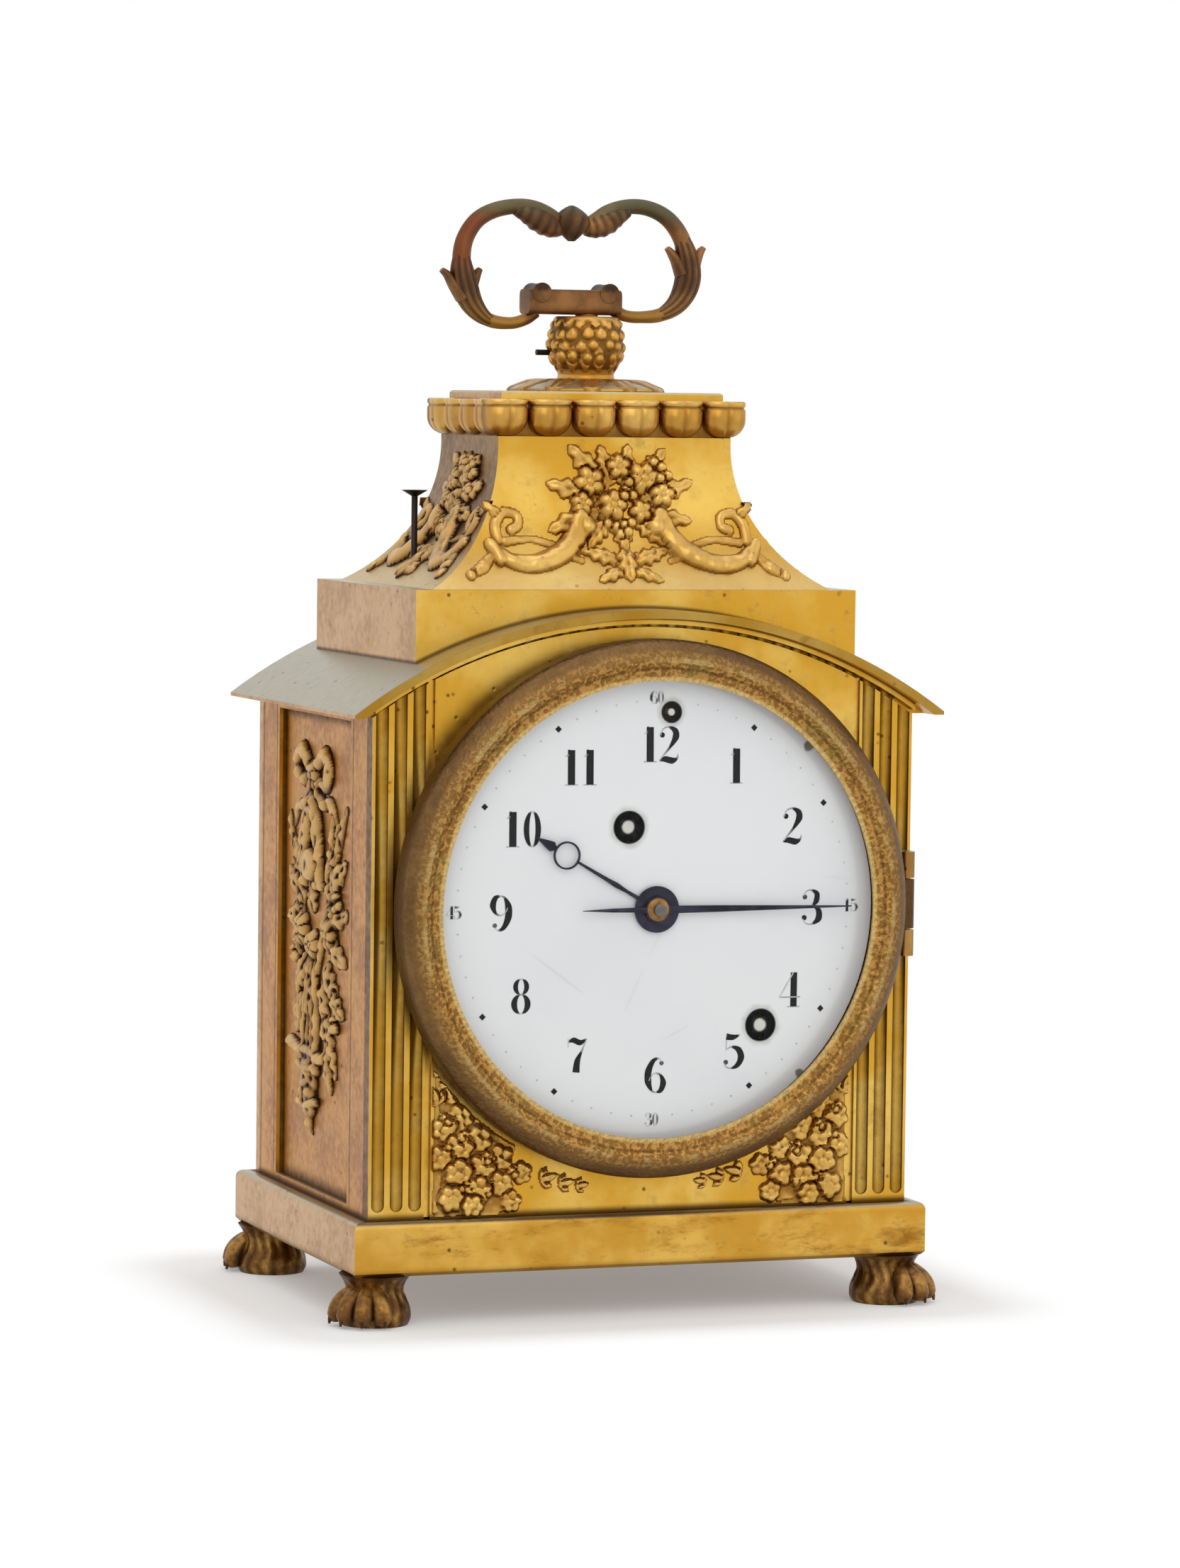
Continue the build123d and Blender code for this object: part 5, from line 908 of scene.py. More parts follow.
def spandrelMounts(finish):
    for name, side, tilt in (("spandrelLeft", -1, 0.0), ("spandrelRight", 1, 17.0)):
        sheet = Carving(spandrel["left"], spandrel["right"], spandrel["low"], spandrel["high"],
                        spandrel["step"])
        sheet.height = np.where((sheet.x + 0.25 * sheet.z > 33.6) & (sheet.x < 41.4), 0.5, sheet.height)
        sheet.strand(((41.0, 21.4), (40.6, 30.0), (40.9, 38.0), (40.5, 46.0), (41.0, 51.0)),
                     (0.9, 0.9, 0.8, 0.7, 0.5), 0.9)
        sheet.strand(((40.0, 21.4), (34.0, 21.6), (28.0, 21.2)), (0.9, 0.9, 0.6), 0.9)
        # Leaves on rows along the bezel, each row pointing up and inwards, the lowest row laid on last
        for x, z, angle, size, base in spandrel["leaves"]:
            if size > 3.5:
                sheet.roundLeaf(x, z, angle + tilt * math.sin(x + z), size * spandrel["leaf"], base)
            else:
                for turn, share in ((48, 0.9), (-48, 0.9), (0, 1.2)):
                    sheet.leaf(x, z, angle + turn, size * share, size * 0.6, 1.0, 1, base)
        for x, z in spandrel["berries"]:
            sheet.berry(x + 0.4 * (side > 0), z, 0.8, 0.8, 0.1)
        sheet.roughen(1.2, 0.5, 5 + side)
        away = np.hypot(sheet.x, sheet.z - clock["dialZ"])
        sheet.height = np.where(away < spandrel["clear"], -1.0, sheet.height)
        sheet.height = np.minimum(sheet.height, spandrel["top"])

        def lay(x, z, height, side=side):
            return np.stack([side * x, -(clock["bodyY"] + height), z], -1)
        shells = Shells()
        sheet.closedSheet(shells, lay)
        shells.piece(name, finish, "case", "gilt_bronze", ("spandrel_mounts",), 80)


# side trophies: bow, horn, ball, leaves, torch bundle and quiver
trophy = {
    "rise": 2.55, "step": 0.3, "halfWidth": 21.0, "low": 30.5, "high": 108.5,
    "leaves": (
        (6, 80, 54, 15, 7, 5), (5, 77, 30, 15, 6.6, 5), (6, 74, 2, 13, 6, 4), (-8, 76, 150, 13, 6.4, 5),
        (-8, 73, 178, 12, 5.6, 4), (-7, 70, 206, 12, 5.6, 4), (6, 70, -24, 13, 6, 4),
        (-3, 74, 92, 9, 6, 4), (-6, 66, 226, 11, 5.4, 4), (5, 65, -46, 12, 6, 4),
        (-2, 62, 262, 10, 5.4, 4), (3, 62, 286, 11, 5.6, 4), (-9, 80, 128, 11, 5, 4),
        (9, 86, 80, 8, 4, 3), (4, 56, -62, 15, 7.4, 5), (6, 52, -80, 12.5, 6, 4), (-9, 58, 240, 9, 5, 3),
        (9, 60, -36, 9, 5, 3),
    ),
    "berries": (
        (12.6, 78.2), (13.8, 76.8), (12.0, 76.2), (-13.8, 66.2), (-12.6, 65.0), (-14.4, 64.4),
        (11.4, 54.6), (12.2, 53.2), (10.6, 53.0),
    ),
}


def trophyCarving():
    sheet = Carving(-trophy["halfWidth"], trophy["halfWidth"], trophy["low"], trophy["high"], trophy["step"])
    sheet.strand(((-4, 101), (-10, 105.2), (-13.4, 102.6), (-10.6, 99.6), (-4, 100.4)),
                 (1.4, 1.9, 1.7, 1.6, 1.2), 0.9)
    sheet.strand(((-3, 101), (3.4, 105.0), (7.0, 102.0), (4.2, 98.8), (-3, 100.2)),
                 (1.4, 1.9, 1.7, 1.6, 1.2), 0.9)
    sheet.flower(-3.4, 100.6, 3.6, 6, 1.0, 0.6)
    sheet.strand(((-4, 99), (-8, 95), (-13, 94), (-16, 90.5)), (1.2, 1.5, 1.3, 0.8), 0.9)
    sheet.strand(((-2.6, 99), (2.6, 95.6), (8, 95.6), (11.8, 91)), (1.2, 1.5, 1.3, 0.8), 0.9)
    for offset in (0.0, 4.6):
        sheet.strand(((-8.6 + offset * 0.2, 80), (-7.8 + offset * 0.3, 90), (-4.0, 96.4 - offset * 0.5),
                      (0.4 - offset * 0.2, 91), (2.2 - offset * 0.4, 80)), (1.5, 1.5, 1.4, 1.5, 1.5), 0.95,
                      0.3)
    sheet.strand(((-19, 92), (-13.6, 82), (-8.6, 72), (-3, 62)), (1.0, 1.3, 1.3, 1.0), 0.9, 0.1, rings=14)
    sheet.strand(((17, 95), (11, 84), (5, 73), (0, 63)), (1.0, 1.3, 1.3, 1.0), 0.9, 0.1, rings=14)
    sheet.berry(-1.9, 83.4, 3.5, 0.1)
    for x, z, angle, length, width, lobes in trophy["leaves"]:
        sheet.leaf(x, z, angle, length, width, 1.25, lobes, 0.15, 0.07)
    for x in (-6.2, -4.0, -1.8, 0.4):
        sheet.strand(((x * 0.5 - 1.5, 66), (x, 54), (x * 1.15, 44)), (0.9, 1.25, 1.35), 1.0, 0.3)
    sheet.flower(-9.2, 70.4, 4.0, 7, 1.0, 0.7)
    sheet.flower(8.4, 70.8, 3.6, 6, 1.0, 0.7)
    sheet.flower(-2.2, 68.0, 3.2, 5, 1.0, 0.8)
    sheet.strand(((-16.6, 48.2), (-10, 47.0), (-4, 47.6), (3, 46.4), (9, 47.4)), (1.2, 1.3, 1.5, 1.3, 1.0),
                 0.9, 0.45)
    sheet.strand(((-4.4, 46), (-4.6, 38.5)), (4.4, 4.7), 0.34, 0.25, rings=4, ringDepth=0.12)
    sheet.strand(((-9.2, 44.4), (-4.4, 44.0), (0.2, 44.6)), (0.9, 0.9, 0.9), 1.0, 0.9)
    sheet.strand(((-9.3, 37.4), (-4.6, 36.8), (0.2, 37.6)), (0.9, 0.9, 0.9), 1.0, 0.9)
    sheet.strand(((-4.6, 37), (-4.0, 33), (-3.2, 31.4)), (1.6, 1.3, 0.6), 0.9, 0.1)
    for x, z in trophy["berries"]:
        sheet.berry(x, z, 1.15, 0.4)
    sheet.roughen(1.3, 0.75, 3)
    raised = sheet.height * 1.25 - np.clip(sheet.height * 1.25 - 1.9, 0, None) ** 2 * 0.35
    sheet.height = np.where(sheet.height > 0, np.minimum(raised, trophy["rise"]), sheet.height)
    return sheet


def sideTrophies(finish):
    for name, side in (("trophyLeft", -1), ("trophyRight", 1)):
        def lay(x, z, height, side=side):
            return np.stack([side * (clock["sideField"] + height), side * x, z], -1)
        shells = Shells()
        trophyCarving().closedSheet(shells, lay)
        shells.piece(name, finish, "case", "gilt_bronze", ("side_trophies",), 80)


# Gadroon cornice: closely set tongues round a slab, each with a groove down its middle and a bead on top
cornice = {"halfX": 26.9, "halfY": 20.0, "radius": 4.4, "toe": 3.5, "pitch": 8.9, "front": 6, "side": 4,
           "drop": 0.08}


def gadroonCornice(finish):
    shells = Shells()
    low, high, radius, toe = clock["hoodTop"], clock["corniceTop"], cornice["radius"], cornice["toe"]
    lobeX, lobeY = cornice["halfX"] - radius, cornice["halfY"] - radius
    corners = np.array([(-lobeX, -lobeY), (lobeX, -lobeY), (lobeX, lobeY), (-lobeX, lobeY)]) * 1.06
    rings = [np.column_stack([corners * shrink, np.full(4, z)]) for shrink, z in
             ((0.0, low), (1.0, low), (1.0, high - 0.15), (0.0, high - 0.15))]
    # Painted shade on the slab between the tongues, strong low down and faint at the top
    shells.grid(np.stack(rings), grime=np.repeat([[0.9], [0.9], [0.1], [0.1]], 4, 1))
    spots = [((k - (cornice["front"] - 1) / 2) * cornice["pitch"], side * lobeY, 90 * side)
             for k in range(cornice["front"]) for side in (-1, 1)]
    spots += [(side * lobeX, (k - (cornice["side"] - 1) / 2) * cornice["pitch"], 90 - 90 * side)
              for k in range(cornice["side"]) for side in (-1, 1)]
    # Tongue: oval toe, upright wall, a neck and a bead; plan = circle squared by (|cos|^3 + |sin|^3)^(-1/3)
    down = np.linspace(0, np.pi / 2, 9)
    heights = np.concatenate([[low], low + toe * (1 - np.cos(down)),
                              [high - 1.75, high - 1.5, high - 1.3, high - 1.05,
                                                                     high - 0.8, high - 0.35, high - 0.06,
                                                                     high, high]])
    widths = np.concatenate([[0.0], radius * (0.14 + 0.86 * np.sin(down) ** 0.9),
                             radius * np.array([1, 0.95, 0.93, 0.97, 1.0, 1.0, 0.96, 0.92, 0.0])])
    angle = np.linspace(-np.pi, np.pi, 72, endpoint=False)
    squared = (np.abs(np.cos(angle)) ** 3 + np.abs(np.sin(angle)) ** 3) ** (-1 / 3)
    squared = np.minimum(squared, 1 / np.maximum(np.abs(np.cos(angle)), np.abs(np.sin(angle))))
    groove = np.exp(-(angle / 0.12) ** 2) + 0.3 * np.exp(-((np.abs(angle) - 0.66) / 0.10) ** 2)
    banks = np.interp(np.abs(angle), [0.98, 1.30], [0, 1.0])
    depth = np.interp(heights, [low, low + 0.9, high - 2.1, high - 1.5], [0.0, 1.0, 1.0, 0.35])[:, None]
    swell = squared[None, :] * (1 - 0.10 * depth * groove[None, :])
    under = np.interp(heights, [low, low + 1.3], [0.95, 0.0])[:, None]
    neck = np.exp(-((heights - (high - 1.4)) / 0.22) ** 2)[:, None] * 0.75
    # Painted shade in the middle groove, beneath the tongues, at the neck and between the tongues, fading
    # towards the bead
    dirt = np.maximum(np.maximum(depth * groove[None, :] * 0.62, under), np.maximum(neck, banks[None, :]))
    dirt = dirt * np.interp(heights, [high - 0.35, high - 0.06], [0.75, 0.15])[:, None]
    # Painted highlight on the bead and in two streaks down each tongue
    rim = np.interp(heights, [high - 1.1, high - 0.9], [0.0, 0.9])[:, None]
    rim = rim + 0.25 * np.exp(-((np.abs(angle) - 0.35) / 0.2) ** 2)
    for x, y, facing in spots:
        around = angle + math.radians(facing)
        surface = np.stack([x + widths[:, None] * swell * np.cos(around),
                            y + widths[:, None] * swell * np.sin(around),
                            np.broadcast_to(heights[:, None], swell.shape)], -1)
        # The tongues of the short sides end a little lower, so that no two tops share a plane at the corners
        surface[..., 2] -= cornice["drop"] * (abs(facing) != 90) * (surface[..., 2] - low) / (high - low)
        shells.grid(surface, grime=clamped(dirt), high=clamped(rim))
    shells.piece("gadroonCornice", finish, "case", "gilt_bronze", ("gadroon_cornice",), 55)


# leaf rosette on the cap plate
rosette = {
    "inner": 5.4, "outer": 15.4, "leaves": 12, "rise": 0.75, "top": 177.35,
    "dome": ((5.65, 9.0, 11.5, 15.0, 15.4), (177.0, 176.95, 176.7, 175.4, 174.95)),
}


def capRosette(finish):
    # Leaves round the axis: h(r, a) = rise sqrt(1 - |s|^2) with s across each leaf, tips rounded by r
    radii = np.linspace(rosette["inner"], rosette["outer"], 46)
    angle = ringAngles(rosette["leaves"] * 26)
    t = (radii[:, None] - rosette["inner"]) / (rosette["outer"] - rosette["inner"])
    share = ((angle[None, :] * rosette["leaves"] / (2 * np.pi)) % 1.0 - 0.5) * 2
    half = np.sqrt(np.clip(1 - clamped((t - 0.55) / 0.45) ** 2, 0.0, 1)) * (0.92 + 0.08 * np.cos(20 * t))
    inside = 1 - (share / np.maximum(half, 0.05)) ** 2
    ribs = 1 - 0.35 * np.exp(-(share / 0.16) ** 2)
    rise = rosette["rise"] * np.sqrt(clamped(inside)) * ribs * (1 - 0.3 * t)
    dome = np.interp(radii, *rosette["dome"])[:, None]
    level = np.where(inside > 0, dome + rise - 0.12, dome - 0.3)
    level = np.minimum(level, rosette["top"])
    top = np.stack([radii[:, None] * np.cos(angle), radii[:, None] * np.sin(angle), level], -1)
    under = top.copy()
    under[..., 2] = np.minimum(level, dome - 0.5)
    surface = np.concatenate([top, under[::-1], top[:1]])
    # Painted shade between the leaves
    grime = clamped(1 - inside) * 0.8
    shells = Shells()
    shells.grid(surface, grime=np.concatenate([grime, grime[::-1], grime[:1]]))
    shells.piece("capRosette", finish, "case", "gilt_bronze", (), 60)


# knob covered with flowers: leaves first, then staggered rows of round cells
knob = {
    "cells": 15, "leaves": 13, "around": 47.0, "step": 0.16, "low": 176.0, "high": 190.0, "margin": 2.0,
    "rows": (188.1, 185.9, 183.6, 181.3), "rise": 0.75, "sunk": 0.3, "sides": 260,
    "profile": ((2.3, 180.0), (2.3, 189.35), (5.9, 189.4), (6.35, 189.0), (6.75, 188.0), (7.15, 186.8),
                (7.4, 185.4),
                (7.45, 184.0), (7.2, 182.4), (6.7, 180.8), (6.0, 179.3), (5.45, 178.3), (5.5, 177.7),
                (5.7, 177.2),
                (5.5, 177.0), (2.3, 177.0), (2.3, 180.0)),
}


def finialKnob(finish):
    # Flowers drawn on an unrolled sheet (x = a R, z) and looked up as a rise of the turned surface
    margin, step, around = knob["margin"], knob["step"], knob["around"]
    sheet = Carving(-margin, around + margin, knob["low"], knob["high"], step)
    for k in range(knob["leaves"]):
        sheet.leaf(k * around / knob["leaves"], 178.6, 90 + 14 * math.sin(k * 2.1), 5.2, 3.0, 0.45, 2)
    for row, z in enumerate(knob["rows"]):
        for k in range(knob["cells"]):
            x = (k + 0.5 * (row % 2)) * around / knob["cells"] + 0.35 * math.sin(3.1 * k + row)
            level, radius = z + 0.3 * math.sin(5 * k + 2 * row), 1.42 + 0.16 * math.sin(7 * k + row)
            for wrap in (-around, 0, around):
                sheet.berry(x + wrap, level, radius, -0.68, 0.1)
    grid = np.clip(sheet.height, 0, knob["rise"])
    # Painted shade with some dirt between the cells and leaves
    dirt = sheet.dirt(2)

    def look(table, angle, level):  # bilinear lookup on the unrolled sheet
        x = (angle % (2 * np.pi)) / (2 * np.pi) * around
        i = np.clip((x + margin) / step, 0, table.shape[0] - 2)
        j = np.clip((level - knob["low"]) / step, 0, table.shape[1] - 2)
        i0, j0 = i.astype(int), j.astype(int)
        u, v = i - i0, j - j0
        return ((1 - u) * (1 - v) * table[i0, j0] + u * (1 - v) * table[i0 + 1, j0]
                + (1 - u) * v * table[i0, j0 + 1] + u * v * table[i0 + 1, j0 + 1])

    profile = np.asarray(knob["profile"], float)
    outside = smoothLine(profile[2:12], 90)
    profile = np.vstack([profile[:2], outside, profile[12:]])
    angle = ringAngles(knob["sides"])
    level = np.repeat(profile[:, 1:], len(angle), 1)
    radius = np.repeat(profile[:, :1], len(angle), 1)
    lookAngle = np.broadcast_to(angle, level.shape)
    carved = np.interp(profile[:, 1], [178.4, 179.2, 188.2, 188.9], [0, 1, 1, 0])[:, None] * (radius > 5.0)
    rise = look(grid, lookAngle, level) * carved
    grime = look(dirt, lookAngle, level) * carved * 0.9
    radius = radius - knob["sunk"] * carved + rise
    surface = np.stack([radius * np.cos(angle), radius * np.sin(angle), level], -1)
    shells = Shells()
    shells.grid(surface, grime=grime)
    shells.piece("finialKnob", finish, "case", "gilt_bronze", ("finial_knob",), 70)


# handle: two scrolls, leaf sheaths with curled tips, a bar with ears and a bud
handle = {
    "left": ((-10.6, 190.2), (-12.6, 188.7), (-15.9, 187.9), (-20.3, 188.6), (-23.6, 191.7), (-25.2, 196.0),
             (-25.7, 199.9),
             (-25.1, 203.8), (-22.8, 207.4), (-19.2, 209.5), (-14.6, 210.4), (-10.9, 210.1), (-7.6, 208.6),
             (-5.0, 206.6)),
    "right": ((5.6, 190.8), (8.0, 189.7), (11.3, 189.5), (15.5, 190.1), (19.0, 192.6), (20.8, 196.5),
              (20.7, 200.9),
              (19.3, 205.2), (16.6, 208.6), (12.8, 210.5), (8.6, 210.85), (4.4, 209.8), (1.4, 207.8),
              (-1.2, 206.4)),
    "radii": (1.25, 1.1, 1.1, 1.3, 1.65, 1.8, 1.75, 1.65, 1.55, 1.45, 1.4, 1.4, 1.5, 1.3),
    "barX": (-3.25, 9.5), "barY": 3.0, "barZ": (192.15, 2.42), "ears": (-10.2, 3.7), "earZ": 193.85,
    "budX": -3.3,
}


def handlePiece(finish):
    shells = Shells()
    for key, sign in (("left", -1), ("right", 1)):
        line = smoothLine([(x, 0, z) for x, z in handle[key]], 120)
        wide = np.interp(np.linspace(0, 1, 120), np.linspace(0, 1, 14), handle["radii"])

        def fluted(t, angle):  # soft ridges along the scroll
            return 1 + 0.05 * np.cos(4 * angle) * np.ones_like(t)
        shells.grid(sweptTube(line, wide, wide * 1.1, 24, ripple=fluted))
        # Leaf sheath over the side of the scroll, ribbed along it, from its foot to where the tips curl off
        sheath = line[26:60] if sign < 0 else line[26:66]
        share = np.linspace(0, 1, len(sheath))
        swell = 1.2 + 1.25 * np.sin(np.pi * share**1.1 * 0.97) ** 0.85
        tube = sweptTube(sheath, swell * 0.98, swell * 1.12, 40,
                         ripple=lambda t, angle: 1 + 0.08 * np.cos(10 * angle) * np.sin(np.pi * clamped(t)))
        # Painted shade with some dirt between the ribs of the sheath
        dirt = np.broadcast_to(0.4 - 0.4 * np.cos(10 * ringAngles(40)), tube.shape[:2])
        shells.grid(tube, grime=dirt)
    for tip in (((-25.4, 192.6), (-27.2, 195.0), (-28.5, 196.9), (-29.7, 197.9)),
                ((-24.2, 193.6), (-23.2, 196.0), (-22.5, 197.4), (-21.9, 198.2)),
                ((19.6, 198.0), (18.5, 200.4), (17.4, 202.0), (16.5, 203.0)),
                ((21.4, 197.0), (22.4, 200.2), (23.3, 202.2), (24.1, 203.2))):
        line = smoothLine([(x, 0, z) for x, z in tip], 24)
        shells.grid(sweptTube(line, np.linspace(1.35, 0.55, 24), np.linspace(2.3, 0.9, 24), 16))
    # Leaves that clasp the bud from both sides, deeper below the scroll, with shallow veins
    for points in (((-14.8, 210.0), (-12.2, 209.0), (-9.6, 207.6), (-7.2, 206.6), (-5.2, 206.2)),
                   ((8.2, 210.1), (5.8, 208.8), (3.6, 207.5), (1.2, 206.7), (-0.8, 206.3))):
        line = smoothLine([(x, 0, z) for x, z in points], 48)
        share = np.linspace(0, 1, 48)
        swell = 1.3 + 1.05 * np.sin(np.pi * share**1.1) ** 0.9

        def ribbed(t, angle):
            return 1 + 0.05 * np.cos(12 * np.pi * t + 3 * np.cos(angle)) * np.sin(np.pi * clamped(t))
        tube = sweptTube(line, swell, swell * 1.1, 28, ripple=ribbed)
        # Painted shade with some dirt between the veins of the leaves
        dirt = 0.32 - 0.32 * np.cos(12 * np.pi * np.linspace(0, 1, len(tube)))[:, None] * np.ones(28)[None,
                                                                                                      :]
        shells.grid(tube, grime=dirt)
    # Closed bud, wound ridges: r(t, a) = r0 (1 + 0.09 cos(6a + 5t))
    share = np.linspace(0, 1, 30)
    centre = np.column_stack([np.full(30, handle["budX"]), np.zeros(30), 203.9 + 6.9 * share])
    radius = 3.3 * np.sin(np.pi * clamped(share**1.12 * 0.95 + 0.035)) ** 0.75
    tube = sweptTube(centre, radius, radius * 0.98, 36,
                     ripple=lambda t, angle: 1 + 0.09 * np.cos(6 * angle + 6 * t))
    # Painted shade with some dirt between the wound ridges of the bud
    ridge = 0.5 - 0.5 * np.cos(6 * ringAngles(36)[None, :] + 6 * np.linspace(0, 1, 32)[:, None])
    shells.grid(tube, grime=0.35 + 0.4 * ridge)
    # Bar: a waisted block with rounded edges carried along x; section y, z = superellipse of power 5
    share = np.linspace(-1, 1, 40)
    angle = ringAngles(40)
    cosine, sine = np.cos(angle), np.sin(angle)
    square = (np.abs(cosine) ** 5 + np.abs(sine) ** 5) ** -0.2
    waist = 1 - 0.05 * np.cos(np.pi * share / 2) ** 2
    (barX, barHalf), barY, (barZ, barHigh) = handle["barX"], handle["barY"], handle["barZ"]
    bar = np.stack([np.repeat((barX + barHalf * share)[:, None], 40, 1),
                    barY * waist[:, None] * square * cosine,
                    barZ + barHigh * square * sine * np.ones_like(share)[:, None]], -1)
    # Darker towards the top and bottom faces of the bar
    dirt = 0.25 * (0.5 - 0.5 * np.cos(angle * 2)) * np.ones((40, 1))
    shells.grid(closedEnds(bar), grime=np.pad(dirt, ((1, 1), (0, 0))))
    for x in handle["ears"]:
        # Ear: a roll across the bar with an eye at each end
        level = np.array([-3.25, -3.25, -3.1, -2.2, 0.0, 2.2, 3.1, 3.25, 3.25])
        size = np.array([0.9, 1.7, 1.95, 1.85, 1.8, 1.85, 1.95, 1.7, 0.9])[:, None]
        around = ringAngles(28)
        roll = np.stack([x + size * np.cos(around), np.repeat(level[:, None], 28, 1),
                         handle["earZ"] + size * np.sin(around)], -1)
        caps = [np.repeat(np.array([[x, y, handle["earZ"]]]), 28, 0)[None] for y in (-3.1, 3.1)]
        # Darker on the upper half of each ear
        dirt = np.repeat(np.clip(np.sin(around) * 1.2, 0.05, 0.85)[None], 11, 0)
        shells.grid(np.concatenate([caps[0], roll, caps[1]]), grime=dirt)
    stem = [(0.0, 180.4), (2.2, 180.4), (2.2, 181.7), (1.3, 181.7), (1.3, 183.1), (2.2, 183.1), (2.2, 191.0),
            (0.0, 191.0)]
    shells.grid(turned(stem, sides=32))
    shells.piece("handleScrolls", finish, "carry_handle", "handle_bronze", ("handle",), 60)


# lion paws
paw = {"toes": 4, "spread": 34.0, "x": 53.4, "y": 35.0, "heel": 2.2}


def pawPieces(finish):
    toe = smoothLine(((-0.4, 0, 7.0), (2.6, 0, 6.3), (4.5, 0, 5.1), (5.6, 0, 3.7), (5.95, 0, 2.2),
                      (5.8, 0, 1.0)), 26)
    toeWide = np.interp(np.linspace(0, 1, 26), [0, 0.3, 0.55, 0.8, 1.0], [1.3, 1.75, 1.9, 2.0, 1.2])
    claw = smoothLine(((6.6, 0, 2.6), (7.3, 0, 1.7), (7.6, 0, 0.5)), 12)
    clawWide = np.linspace(0.85, 0.2, 12)
    angle = ringAngles(72)
    # Wrist: S profile turned about the heel, r = profile + 0.2 cos(16 a), flared under the plinth
    profile = smoothLine(((6.3, 0.0), (6.85, 1.2), (6.7, 3.0), (5.9, 4.8), (5.3, 6.4), (5.6, 7.8),
                          (6.5, 9.1)), 40)
    profile = np.vstack([[0.0, 0.0], profile, [6.75, 9.5], [0.0, 9.5]])
    fur = turned(profile, sides=72, relief=lambda a, z: 0.2 * np.cos(16 * a + 1.2 * np.sin(z))
                 * clamped((z - 2) / 3) * clamped((9.2 - z) / 1.5))
    # Painted shade with some dirt in the grooves of the fur and at the top, under the plinth
    furShadeAndDirt = 0.36 - 0.36 * np.cos(16 * angle[None, :] + 1.2 * np.sin(fur[..., 2]))
    furShadeAndDirt = np.maximum(furShadeAndDirt, np.interp(fur[..., 2], [8.4, 9.3], [0, 0.75]))
    for node, sideX, sideY in (("front_left_paw", -1, -1), ("front_right_paw", 1, -1),
                               ("rear_left_paw", -1, 1), ("rear_right_paw", 1, 1)):
        shells = Shells()
        outward = math.atan2(sideY, sideX)
        centre = np.array([sideX * paw["x"], sideY * paw["y"], 0.0])
        heel = centre - paw["heel"] * np.array([math.cos(outward), math.sin(outward), 0.0])
        shells.grid(fur + heel, grime=furShadeAndDirt)
        for k in range(paw["toes"]):
            turn = outward + math.radians((k - (paw["toes"] - 1) / 2) * paw["spread"])
            turn = np.array([[math.cos(turn), -math.sin(turn), 0], [math.sin(turn), math.cos(turn), 0],
                             [0, 0, 1]])
            for line, wide, deep, grime in ((toe, toeWide, toeWide, 0.0),
                                            (claw, clawWide, clawWide * 0.9, 0.65)):
                tube = sweptTube(line, wide, deep, 20)
                tube[..., 2] = np.maximum(tube[..., 2], 0.0)
                # Painted shade with some dirt on the sides of the toes and at the knuckle; the claws are
                # darker all over
                joint = np.full(tube.shape[:2], grime)
                if grime == 0.0:
                    across = np.abs(np.sin(ringAngles(20)))[None, :]
                    knuckle = np.exp(-((np.arange(len(tube)) - 11) / 1.3) ** 2)[:, None] * 0.5
                    joint = np.maximum(joint + 0.75 * across**4, knuckle)
                shells.grid(tube @ turn.T + centre, grime=joint)
        name = node.replace("_", " ").title().replace(" ", "") + "Carved"
        shells.piece(name, finish, "case", "dark_bronze", (node,), 60)


# dial marks: numerals, quarter numbers, minute track
marks = {
    "shiftX": 0.5, "shiftZ": -0.25, "stroke": 1.4, "rubbed": (0.2, 0.5), "spread": 1.2,
    "numeralRadius": 31.3,
    "numeralHeight": 6.8, "quarterRadius": 39.9, "quarterHeight": 2.5, "diamond": 0.66, "dot": 0.2,
    "trackRadius": 39.3, "proud": 0.035, "sunk": 0.02,
}
